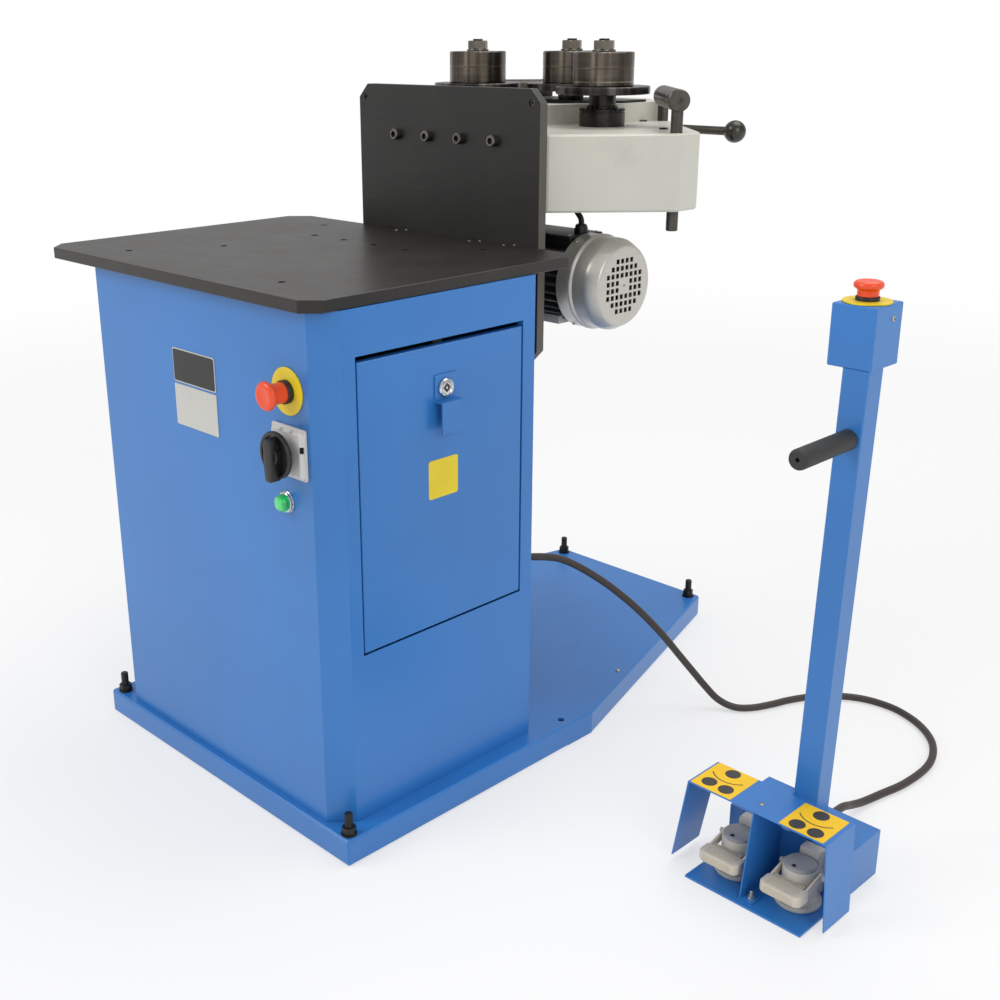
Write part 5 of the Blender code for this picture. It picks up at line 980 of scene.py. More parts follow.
def smooth_run(route: Sequence[Point], count: int) -> list[Vector]:
    """Evenly spaced points on one smooth curve through the points of a route.

    Args:
        route: The points that the curve goes through.
        count: How many points to read from it.

    Returns:
        The points.
    """
    knots = [Vector(point) for point in route]
    knots = [2 * knots[0] - knots[1], *knots, 2 * knots[-1] - knots[-2]]
    fine = []
    for before, start, end, after in zip(knots, knots[1:], knots[2:], knots[3:]):
        for step in range(FINE_STEPS):
            share = step / FINE_STEPS
            bend = 2 * before - 5 * start + 4 * end - after
            twist = -before + 3 * start - 3 * end + after
            fine.append((2 * start + (end - before) * share + bend * share**2 + twist * share**3) / 2)
    fine.append(knots[-2])
    lengths = [0.0]
    for first, second in zip(fine, fine[1:]):
        lengths.append(lengths[-1] + (second - first).length)
    run = []
    segment = 0
    for index in range(count):
        goal = lengths[-1] * index / (count - 1)
        while segment < len(fine) - 2 and lengths[segment + 1] < goal:
            segment += 1
        span = lengths[segment + 1] - lengths[segment]
        run.append(fine[segment].lerp(fine[segment + 1], (goal - lengths[segment]) / span))
    return run


@dataclass
class Studio:
    """Camera at the photograph's place, pale floor and soft light."""

    camera_place: Point = (1.5192, -1.4618, 1.10)
    yaw: float = 0.8052
    pitch: float = 0.3368
    roll: float = 0.0074
    focal_length: float = 46.63
    sensor_width: float = 36.0
    shift: Flat = (0.0540, -0.0123)
    floor_size: float = 60.0
    floor_under: float = 0.0005
    white_centre: Point = (0.2, 0.0, 0.0)
    white_reach: Flat = (1.1, 4.5)
    white_share: Flat = (0.55, 1.0)
    world_light: float = 0.62
    lamps: tuple[tuple[str, Point, Point, float, float], ...] = (
        ("key_lamp", (-1.6, -3.2, 3.2), (0.1, 0.0, 0.5), 2.2, 62.0),
        ("side_lamp", (3.6, -1.2, 2.4), (0.1, 0.0, 0.5), 2.0, 30.0),
        ("top_lamp", (0.4, 1.2, 3.6), (0.1, 0.1, 0.6), 2.4, 46.0),
    )

    def build(self) -> None:
        """Sets the camera, the floor, the world and the lamps."""
        self.set_camera()
        self.lay_floor()
        self.light()
        bpy.context.scene.view_settings.view_transform = "Standard"

    def set_camera(self) -> None:
        """Makes the camera from its place and its three angles."""
        yaw, pitch, roll = self.yaw, self.pitch, self.roll
        ahead = Vector((-math.sin(yaw) * math.cos(pitch), math.cos(yaw) * math.cos(pitch), -math.sin(pitch)))
        level = Vector((math.cos(yaw), math.sin(yaw), 0.0))
        down = ahead.cross(level)
        right = math.cos(roll) * level + math.sin(roll) * down
        down = -math.sin(roll) * level + math.cos(roll) * down
        data = bpy.data.cameras.new("camera")
        data.lens = self.focal_length
        data.sensor_width = self.sensor_width
        data.shift_x, data.shift_y = self.shift
        data.clip_start, data.clip_end = 0.05, 200.0
        camera = bpy.data.objects.new("camera", data)
        bpy.context.scene.collection.objects.link(camera)
        axes = Matrix((right, -down, -ahead)).transposed()
        camera.matrix_world = Matrix.Translation(self.camera_place) @ axes.to_4x4()
        bpy.context.scene.camera = camera

    def lay_floor(self) -> None:
        """Lays a pale floor that only dims where the object shades it."""
        Bench.clear()
        bpy.ops.mesh.primitive_circle_add(vertices=96, radius=self.floor_size, fill_type="NGON")
        floor = bpy.context.object
        floor.name = "floor"
        floor.data.transform(Matrix.Translation((0.0, 0.0, -self.floor_under)))
        graph = Graph("pale_floor")
        grain = graph.noise(2.0, 2.0)
        tone = graph.mix(grain, (0.86, 0.86, 0.86), (0.90, 0.90, 0.90))
        graph.set(Base_Color=tone, Roughness=0.9, Specular_IOR_Level=0.1)
        x, y, _ = graph.axes(graph.space(self.white_centre))
        self.show_white(graph, (x * x + y * y).root().span(*self.white_reach, *self.white_share))
        floor.data.materials.append(graph.material)

    @staticmethod
    def show_white(graph: Graph, share: Channel) -> None:
        """Blends plain white into what the camera and mirrors see of a floor, so its shadow stays soft.

        Args:
            graph: The floor's graph.
            share: How much of the white is blended in.
        """
        path = graph.node("ShaderNodeLightPath")
        seen = Channel(graph, path.outputs["Is Camera Ray"]) + Channel(graph, path.outputs["Is Glossy Ray"])
        glow = graph.node("ShaderNodeEmission", {}, {0: (1.0, 1.0, 1.0), 1: 1.0})
        parts = {0: seen * share, 1: graph.shader.outputs[0], 2: glow.outputs[0]}
        blend = graph.node("ShaderNodeMixShader", {}, parts)
        output = graph.tree.nodes["Material Output"]
        graph.tree.links.new(blend.outputs[0], output.inputs["Surface"])

    def light(self) -> None:
        """Makes a white world and three soft lamps."""
        world = bpy.data.worlds.new("studio")
        bpy.context.scene.world = world
        world.use_nodes = True
        tree = world.node_tree
        back = tree.nodes["Background"]
        back.inputs["Color"].default_value = (1.0, 1.0, 1.0, 1.0)
        path = tree.nodes.new("ShaderNodeLightPath")
        level = tree.nodes.new("ShaderNodeMapRange")
        level.inputs["To Min"].default_value = self.world_light
        level.inputs["To Max"].default_value = 1.0
        tree.links.new(path.outputs["Is Camera Ray"], level.inputs["Value"])
        tree.links.new(level.outputs[0], back.inputs["Strength"])
        for lamp in self.lamps:
            self.lamp(*lamp)

    @staticmethod
    def lamp(name: str, place: Point, aim_at: Point, size: float, power: float) -> None:
        """Adds one square area lamp that faces a point.

        Args:
            name: The lamp's name.
            place: Where it hangs.
            aim_at: The point it faces.
            size: Its square's side.
            power: Its power in watts.
        """
        data = bpy.data.lights.new(name, "AREA")
        data.energy = power
        data.size = size
        lamp = bpy.data.objects.new(name, data)
        bpy.context.scene.collection.objects.link(lamp)
        lamp.location = place
        lamp.rotation_mode = "QUATERNION"
        lamp.rotation_quaternion = (Vector(aim_at) - Vector(place)).to_track_quat("-Z", "Y")


@dataclass
class PedalCord:
    """The free cord from the cabinet to the pedal station."""

    diameter: float = 0.012
    length: float = 1.307
    start: Point = (0.185, -0.0662, 0.300)
    end: Point = (0.745, 0.0433, 0.035)
    run_points: int = 260
    route: tuple[Point, ...] = (
        (0.1930, -0.0300, 0.2990), (0.2074, -0.0100, 0.2965), (0.2180, 0.0120, 0.2930),
        (0.2305, 0.0350, 0.2865), (0.2460, 0.0550, 0.2745), (0.2618, 0.0750, 0.2585),
        (0.2781, 0.0950, 0.2400), (0.2946, 0.1150, 0.2185), (0.3115, 0.1350, 0.1945),
        (0.3291, 0.1550, 0.1670), (0.3471, 0.1750, 0.1360), (0.3621, 0.1960, 0.1025),
        (0.3778, 0.2160, 0.0700), (0.3935, 0.2330, 0.0410), (0.4130, 0.2460, 0.0175),
        (0.4380, 0.2590, 0.0070), (0.4598, 0.2790, 0.0063), (0.4765, 0.3120, 0.0063),
        (0.4910, 0.3500, 0.0063), (0.5120, 0.3880, 0.0063), (0.5420, 0.4210, 0.0063),
        (0.5724, 0.4405, 0.0063), (0.6056, 0.4490, 0.0063), (0.6434, 0.4470, 0.0063),
        (0.6883, 0.4280, 0.0063), (0.7260, 0.3950, 0.0063), (0.7500, 0.3530, 0.0063),
        (0.7609, 0.3054, 0.0063), (0.7590, 0.2430, 0.0063), (0.7480, 0.1902, 0.0063),
        (0.7410, 0.1489, 0.0085), (0.7390, 0.1161, 0.0170), (0.7420, 0.0860, 0.0290),
    )

    def build(self) -> Piece:
        """Returns:
            The cord.
        """
        straight = Vector((0.0, self.diameter, 0.0))
        first, last = Vector(self.start), Vector(self.end)
        run = smooth_run([first + straight, *self.route, last + straight], self.run_points)
        points = [first, *run, last]
        curve = bpy.data.curves.new("pedal_cord_sheath", "CURVE")
        curve.dimensions = "3D"
        curve.bevel_depth = self.diameter / 2
        curve.bevel_resolution = 6
        curve.use_fill_caps = True
        spline = curve.splines.new("POLY")
        spline.points.add(len(points) - 1)
        for place, point in zip(spline.points, points):
            place.co = (*point, 1.0)
        cord = bpy.data.objects.new("pedal_cord_sheath", curve)
        bpy.context.scene.collection.objects.link(cord)
        cord.data.materials.append(Paint.CORD.material())
        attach(cord, "machine")
        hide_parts("pedal_cord")
        measured = sum((after - before).length for before, after in zip(points, points[1:]))
        LOG.info("pedal_cord_sheath is %.4f m long", measured)
        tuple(self.start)
        return cord


class Hardware:
    """Small fasteners that several sub-assemblies use."""

    @staticmethod
    def socket_screw(name: str, radius: float, height: float, place: Matrix) -> Piece:
        """A cap screw with a hexagon socket.

        Args:
            name: The piece's name.
            radius: Radius of its head.
            height: Height of its head.
            place: Where it stands.

        Returns:
            The screw head.
        """
        fall = radius * 0.14
        rim = [(0.0, 0.0), (radius, 0.0), (radius, height - fall), (radius - fall, height), (0.0, height)]
        head = Bench.turned(name, rim, Matrix.Identity(4), 36)
        Bench.cut(head, [Bench.slab("socket", six_corners(radius * 0.6), height * 0.4, height * 1.3)])
        head.data.transform(place)
        return head

    @staticmethod
    def pan_screw(name: str, radius: float, place: Matrix) -> Piece:
        """A domed screw with a cross recess.

        Args:
            name: The piece's name.
            radius: Radius of its head.
            place: Where it stands.

        Returns:
            The screw head.
        """
        shares = [(1.0, 0.0), (1.0, 0.12), (0.93, 0.32), (0.72, 0.5), (0.4, 0.62), (0.0, 0.66)]
        dome = [(0.0, 0.0)] + [(radius * across, radius * up) for across, up in shares]
        head = Bench.turned(name, dome, Matrix.Identity(4), 32)
        thin, reach = radius * 0.11, radius * 0.56
        arm = [(thin, thin), (thin, reach), (-thin, reach)]
        outline = []
        for _ in range(4):
            outline += arm
            arm = [(-up, across) for across, up in arm]
        Bench.cut(head, [Bench.slab("recess", outline, radius * 0.3, radius)])
        head.data.transform(place)
        return head

    @staticmethod
    def hex_bolt(name: str, flats: float, height: float, place: Matrix) -> Piece:
        """A hexagon head on a washer.

        Args:
            name: The piece's name.
            flats: Distance across the flats.
            height: Height of the head.
            place: Where it stands.

        Returns:
            The head with its washer.
        """
        sheet = flats * 0.12
        head = Bench.hexagon(name, flats, sheet, sheet + height, Matrix.Identity(4))
        washer = Bench.turned("washer", tube(flats * 0.62, 0.0, sheet), Matrix.Identity(4), 32)
        bolt = Bench.merge([head, washer])
        bolt.data.transform(place)
        return bolt

    @staticmethod
    def arc(centre: Flat, radius: float, start: float, end: float, steps: int) -> list[Flat]:
        """Points along a circle's arc, from one angle to another.

        Args:
            centre: The circle's centre.
            radius: Its radius.
            start: The first angle.
            end: The last angle.
            steps: How many parts the arc has.

        Returns:
            The points.
        """
        x, y = centre
        angles = [start + (end - start) * step / steps for step in range(steps + 1)]
        return [(x + radius * math.cos(angle), y + radius * math.sin(angle)) for angle in angles]

    @staticmethod
    def patch(left: float, right: float, low: float, high: float, corner: float) -> list[Flat]:
        """The outline of a rectangle with rounded corners.

        Args:
            left: Its left side.
            right: Its right side.
            low: Its lower side.
            high: Its upper side.
            corner: Radius of the corners.

        Returns:
            The outline's corners.
        """
        quarter = math.pi / 2
        near, far, base, top = left + corner, right - corner, low + corner, high - corner
        outline = []
        for index, centre in enumerate(((far, base), (far, top), (near, top), (near, base))):
            start = (index - 1) * quarter
            outline += Hardware.arc(centre, corner, start, start + quarter, 4)
        return outline

    @staticmethod
    def square(half: float, corner: float) -> list[Flat]:
        """The outline of a square round the origin, with rounded corners."""
        return Hardware.patch(-half, half, -half, half, corner)


@dataclass
class Cabinet:
    """Folded cabinet on its tray: bare plates, lock and feet."""

    front: float = -0.487
    side: float = 0.2857
    tray_top: float = 0.041
    rivet: Flat = (0.253, 0.171)
    plate_left: float = -0.0560
    plate_right: float = 0.0480
    badge_low: float = 0.6330
    badge_high: float = 0.6825
    badge_rim: float = 0.0018
    label_low: float = 0.5690
    label_high: float = 0.6300
    label_sheet: float = 0.0009
    sticker: tuple[float, float, float, float] = (-0.309, -0.253, 0.490, 0.546)
    lock: Point = (0.2857, -0.2784, 0.647)
    feet: tuple[Flat, ...] = ((0.300, -0.4835), (-0.295, -0.4835), (0.148, 0.522), (-0.178, 0.522))
    foot_names: tuple[str, ...] = ("front_right", "front_left", "back_right", "back_left")

    def build(self) -> None:
        """Dresses the sheet metal and adds its fittings."""
        Kit.repaint(Paint.BLUE, "base_tray", "cabinet_shell", "cabinet_door")
        Kit.repaint(Paint.ZINC, "control_panel")
        self.plates()
        self.door_lock()
        for name, place in zip(self.foot_names, self.feet):
            self.foot(name, place)
        Kit.fit(Hardware.pan_screw("tray_rivet", 0.0045, Way.UP.at((*self.rivet, self.tray_top))), Paint.ZINC)

    def plates(self) -> None:
        """Two bare plates on the front and a bare sticker on the door."""
        sheet = self.label_sheet
        outline = Hardware.patch(self.plate_left, self.plate_right, self.badge_low, self.badge_high, 0.004)
        border = Bench.slab("badge_rim", outline, self.front - sheet, self.front, Way.FRONT, 0.0003)
        Kit.fit(border, Paint.ALUMINIUM)
        rim = self.badge_rim
        left, right = self.plate_left + rim, self.plate_right - rim
        outline = Hardware.patch(left, right, self.badge_low + rim, self.badge_high - rim, 0.003)
        face = Bench.slab("badge_face", outline, self.front - 1.5 * sheet, self.front - sheet, Way.FRONT)
        Kit.fit(face, Paint.BLACK)
        outline = Hardware.patch(self.plate_left, self.plate_right, self.label_low, self.label_high, 0.0015)
        label = Bench.slab("data_plate", outline, self.front - sheet, self.front, Way.FRONT, 0.0002)
        Kit.fit(label, Paint.ALUMINIUM)
        outline = Hardware.patch(*self.sticker, 0.004)
        sticker = Bench.slab("door_sticker", outline, self.side, self.side + sheet / 3, Way.RIGHT)
        Kit.fit(sticker, Paint.YELLOW, body="door")

    def door_lock(self) -> None:
        """Chromed lock with its dark insert, barrel and cam."""
        place = Way.RIGHT.at(self.lock)
        profile = mill(
            (0, -13), (9.4, -13), (9.4, 2.3), (12.2, 2.3), (13, 3), (13, 5), (11.8, 6.8), (10, 7.2),
            (8.6, 6.6), (8, 5.8), (5.2, 5.8), (5.2, 4.5), (0, 4.5),
        )
        head = Bench.turned("lock_head", profile, place, 64)
        x, y, z = self.lock
        outline = Hardware.patch(y - 0.009, y + 0.009, z - 0.012, z + 0.080, 0.004)
        cam = Bench.slab("lock_cam", outline, x - 0.0143, x - 0.0123, Way.RIGHT)
        Kit.fit(head, Paint.CHROME, "door_lock", body="door_lock")
        Kit.fit(cam, Paint.DARK_BOLT, body="door_lock")
        insert = Bench.turned("lock_insert", tube(0.0051, 0.0045, 0.0062, 0.0030), place, 36)
        low = (x + 0.0046, y - 0.0008, z - 0.0066)
        nub = Bench.box("lock_nub", low, (x + 0.0064, y + 0.0008, z - 0.0046))
        nubs = Bench.ring(nub, 4, self.lock, (1, 0, 0))
        Kit.fit(Bench.merge([insert, *nubs]), Paint.BLACK, body="door_lock")
        profile = mill((0, 4.5), (1.9, 4.5), (1.9, 6), (0, 6.4))
        Kit.fit(Bench.turned("lock_pin", profile, place, 24), Paint.CHROME, body="door_lock")

    def foot(self, name: str, place: Flat) -> None:
        """A levelling screw with its pad, washer and nut.

        Args:
            name: Which corner it stands at.
            place: Its axis.
        """
        x, y = place
        node = f"levelling_foot_{name}"
        stand = Way.UP.at((x, y, 0.0))
        profile = mill(
            (0, 0), (9.5, 0), (10.5, 1), (10.5, 7), (9.5, 8), (6, 8), (6, 73.8), (4.8, 75), (0, 75),
        )
        Kit.fit(Bench.turned(f"foot_screw_{name}", profile, stand, 40), Paint.FOOT_THREAD, node)
        nut = Bench.hexagon(f"foot_nut_{name}", 0.018, 0.0433, 0.0538, stand, bore=0.0062)
        washer = Bench.turned(f"foot_washer_{name}", tube(0.0115, 0.0413, 0.0433, 0.0062), stand, 40, 0.0003)
        Kit.fit(Bench.merge([nut, washer]), Paint.DARK_BOLT)


@dataclass
class StopButton:
    """Emergency stop: bare yellow disc, black collar and red mushroom on its neck."""

    name: str
    place: Matrix
    body: str
    base_node: str
    button_node: str
    share: float = 1.0
    collar_high: float = 0.0105
    crown: float = 0.040

    def turned(self, name: str, profile: Sequence[Flat], steps: int = 80) -> Piece:
        """One turned piece of the stop, with its radii taken to this stop's size."""
        slim = [(radius * self.share, height) for radius, height in profile]
        return Bench.turned(f"{self.name}_{name}", slim, self.place, steps)

    def build(self) -> None:
        """Makes the three pieces and fits them."""
        rim = mill((31.7, 0.3), (32, 0.6), (32, 2), (31.7, 2.3))
        Kit.fit(self.turned("disc", [(0.0112, 0.0003), *rim, (0.0112, 0.0023)]), Paint.YELLOW, self.base_node)
        top = self.collar_high
        collar = [
            (0.0, -0.0548), (0.0148, -0.0548), (0.0148, -0.0120), (0.0109, -0.0120), (0.0109, 0.0024),
            (0.0158, 0.0024), (0.0158, top - 0.0012), (0.0154, top - 0.0003), (0.0150, top), (0.0146, top),
            (0.0146, 0.0027), (0.0, 0.0027),
        ]
        Kit.fit(self.turned("collar", collar), Paint.BLACK)
        skirt = self.crown - 0.0095
        mushroom = [
            (0.0, 0.0070), (0.0134, 0.0070), (0.0140, 0.0076), (0.0140, skirt - 0.0030),
            (0.0144, skirt - 0.0014), (0.0156, skirt - 0.0002), (0.0182, skirt + 0.0012),
            (0.0192, skirt + 0.0026), (0.0195, skirt + 0.0044), (0.0192, skirt + 0.0060),
            (0.0182, skirt + 0.0076), (0.0164, skirt + 0.0089), (0.0140, skirt + 0.0095),
            (0.0120, skirt + 0.0094), (0.0104, skirt + 0.0089), (0.0, skirt + 0.0086),
        ]
        Kit.fit(self.turned("mushroom", mushroom), Paint.RED, self.button_node, body=self.body)


@dataclass
class FrontControls:
    """Stop, isolator and lamp on the front of the cabinet."""

    front: float = -0.487
    stop: Flat = (0.2122, 0.667)
    isolator: Flat = (0.2138, 0.5865)
    lamp: Flat = (0.200, 0.5128)
    isolator_screw: float = 0.031
    isolator_slots: tuple[tuple[Flat, Flat, Flat], ...] = (
        ((0.0255, 0.036), (0.0052, 0.0095), (0.004, 0.013)),
        ((-0.012, -0.004), (0.0062, 0.0110), (0.027, 0.037)),
        ((0.008, 0.016), (0.0062, 0.0110), (0.027, 0.037)),
    )

    def at(self, place: Flat) -> Matrix:
        """The place of a control that faces the operator."""
        return Way.FRONT.at((place[0], self.front, place[1]))

    def build(self) -> None:
        """Builds the three controls."""
        place = self.at(self.stop)
        StopButton("cabinet_stop", place, "stop_button", "stop_switch_base", "stop_button").build()
        self.isolator_plate()
        self.isolator_knob()
        self.pilot_lamp()

    def raised(self, name: str, outline: Sequence[Flat], low: float, high: float, edge: float) -> Piece:
        """A slab on the isolator, given by its outline round the axis and two heights over the cabinet.

        Args:
            name: The piece's name.
            outline: Its corners round the axis.
            low: Its height where it starts.
            high: Its height where it ends.
            edge: Width of the rounding.

        Returns:
            The piece.
        """
        x, z = self.isolator
        around = [(x + across, z + up) for across, up in outline]
        return Bench.slab(name, around, self.front - high, self.front - low, Way.FRONT, edge, 3)

    def isolator_plate(self) -> None:
        """Pale plate with its raised tapered housing, side slot and body."""
        flat = self.raised("isolator_flange", Hardware.square(0.035, 0.003), 0.0003, 0.0045, 0.0008)
        dome = Bench.slab("isolator_dome", Hardware.square(0.0335, 0.004), 0.0040, 0.0103, taper=0.88)
        Bench.dress(dome, 0.0008, self.at(self.isolator))
        x, z = self.isolator
        slots = []
        for (left, right), (near, far), (low, high) in self.isolator_slots:
            corner = (x + left, self.front - far, z + low)
            slots.append(Bench.box("slot", corner, (x + right, self.front - near, z + high)))
        Bench.cut(dome, slots)
        Kit.fit(Bench.merge([flat, dome]), Paint.PALE, "isolator_plate")
        near, far = self.front - 0.0062, self.front - 0.0050
        insert = Bench.box("isolator_insert", (x + 0.0259, near, z + 0.0044), (x + 0.0330, far, z + 0.0126))
        Kit.fit(insert, Paint.BLACK)
        body = self.raised("isolator_contacts", Hardware.square(0.022, 0.002), -0.052, -0.0022, 0.0)
        Kit.fit(body, Paint.BLACK)
        reach = self.isolator_screw
        for index, (side, level) in enumerate(((1, 1), (1, -1), (-1, 1), (-1, -1))):
            place = self.at((x + side * reach, z + level * reach)) @ Matrix.Translation((0, 0, 0.0044))
            Kit.fit(Hardware.pan_screw(f"isolator_screw_{index}", 0.0019, place), Paint.ZINC)

    def isolator_knob(self) -> None:
        """Black rotary knob: neck, ring and a handle that points down."""
        profile = mill(
            (0, 1), (4.4, 1), (4.4, 10.7), (13, 10.7), (13, 22.2), (30, 22.2), (31.4, 23), (32, 24.6),
            (32, 26.4), (31.4, 27.9), (30.2, 28.5), (28.2, 28.5), (26.8, 27.9), (26.2, 26.2), (26.2, 24),
            (0, 24),
        )
        ring = Bench.turned("isolator_ring", profile, self.at(self.isolator), 96)
        outline = mill(
            (-8.5, 16.5), (-5, 23.5), (5, 23.5), (8.5, 16.5), (8.2, -16), (6.8, -32.5), (4.8, -34),
            (-4.8, -34), (-6.8, -32.5), (-8.2, -16),
        )
        handle = self.raised("isolator_handle", outline, 0.0235, 0.040, 0.0018)
        profile = mill((0, 23.5), (12.5, 23.5), (12.5, 33), (11, 34.8), (0, 35))
        boss = Bench.turned("isolator_boss", profile, self.at(self.isolator), 48)
        Kit.fit(Bench.merge([ring, handle, boss]), Paint.BLACK, "isolator_knob", body="isolator_knob")
        x, z = self.isolator
        profile = mill((0, 39.6), (1.4, 39.6), (1.4, 39.9), (0, 40))
        dot = Bench.turned("isolator_dot", profile, self.at((x, z + 0.004)), 24)
        Kit.fit(dot, Paint.PALE, body="isolator_knob")

    def pilot_lamp(self) -> None:
        """Green domed lens in a bright ribbed bezel."""
        place = self.at(self.lamp)
        bezel = mill(
            (0, -34.8), (8.9, -34.8), (8.9, 0.3), (15, 0.3), (15, 1.8), (14.2, 2.4), (14.2, 5.2), (13.4, 6),
            (12.1, 6), (12.1, 3), (0, 3),
        )
        ring = Bench.turned("lamp_bezel", bezel, place, 72)
        rib = Bench.box("lamp_rib", (0.0136, -0.0005, 0.0004), (0.0149, 0.0005, 0.0056))
        ribs = Bench.ring(rib, 12, (0, 0, 0))
        for piece in ribs:
            piece.data.transform(place)
        Kit.fit(Bench.merge([ring, *ribs]), Paint.CHROME, "pilot_lamp")
        lens = mill((0, 3.1), (12, 3.1), (12, 10.5), (11.4, 13), (9.8, 14.9), (7.4, 15.7), (0, 16))
        Kit.fit(Bench.turned("lamp_lens", lens, place, 64), Paint.LENS)


@dataclass
class WorkFace:
    """Table and upright plate with their screws."""

    table_top: float = 0.794
    screw_z: float = 0.947
    screw_xs: tuple[float, ...] = (-0.1095, -0.0365, 0.0365, 0.1095)
    corner_x: float = 0.185
    corner_z: float = 1.004
    corner_sunk: float = 0.0060
    dowels: tuple[Flat, ...] = ((-0.0935, -0.0095), (0.0800, -0.0120), (0.1483, -0.0060))
    dowel_shift: float = 0.0058
    countersinks: tuple[Flat, ...] = ((-0.2350, -0.0592), (-0.1525, -0.146), (-0.0795, -0.146))

    def build(self) -> None:
        """Dresses the two plates and adds the screws."""
        Kit.repaint(Paint.TABLE, "table_top")
        Kit.repaint(Paint.PLATE, "mounting_plate")
        for index, x in enumerate(self.screw_xs):
            place = Way.FRONT.at((x, 0.0, self.screw_z))
            Kit.fit(Hardware.socket_screw(f"plate_screw_{index}", 0.009, 0.010, place), Paint.SCREW)
        for index, x in enumerate((-self.corner_x, self.corner_x)):
            place = Way.FRONT.at((x, self.corner_sunk, self.corner_z))
            Kit.fit(Hardware.socket_screw(f"corner_screw_{index}", 0.0048, 0.004, place), Paint.SCREW)
        for index, (x, y) in enumerate(self.countersinks):
            place = Way.UP.at((x, y, self.table_top))
            # A flat black ring over each countersink stands in for its sunk cone: painted shade.
            ring = tube(0.0088, -0.0003, 0.0001, 0.0054)
            sink = Bench.turned(f"table_countersink_{index}", ring, place, 40)
            Kit.fit(sink, Paint.BLACK, slot="black_steel")
        for index, (x, y) in enumerate(self.dowels):
            for twin, shift in enumerate((-self.dowel_shift, self.dowel_shift)):
                place = Way.UP.at((x + shift, y + shift, self.table_top))
                rim = mill((0, -1), (2.4, -1), (2.4, 0.4), (2, 0.9), (0, 1))
                Kit.fit(Bench.turned(f"table_dowel_{index}_{twin}", rim, place, 24), Paint.ZINC)


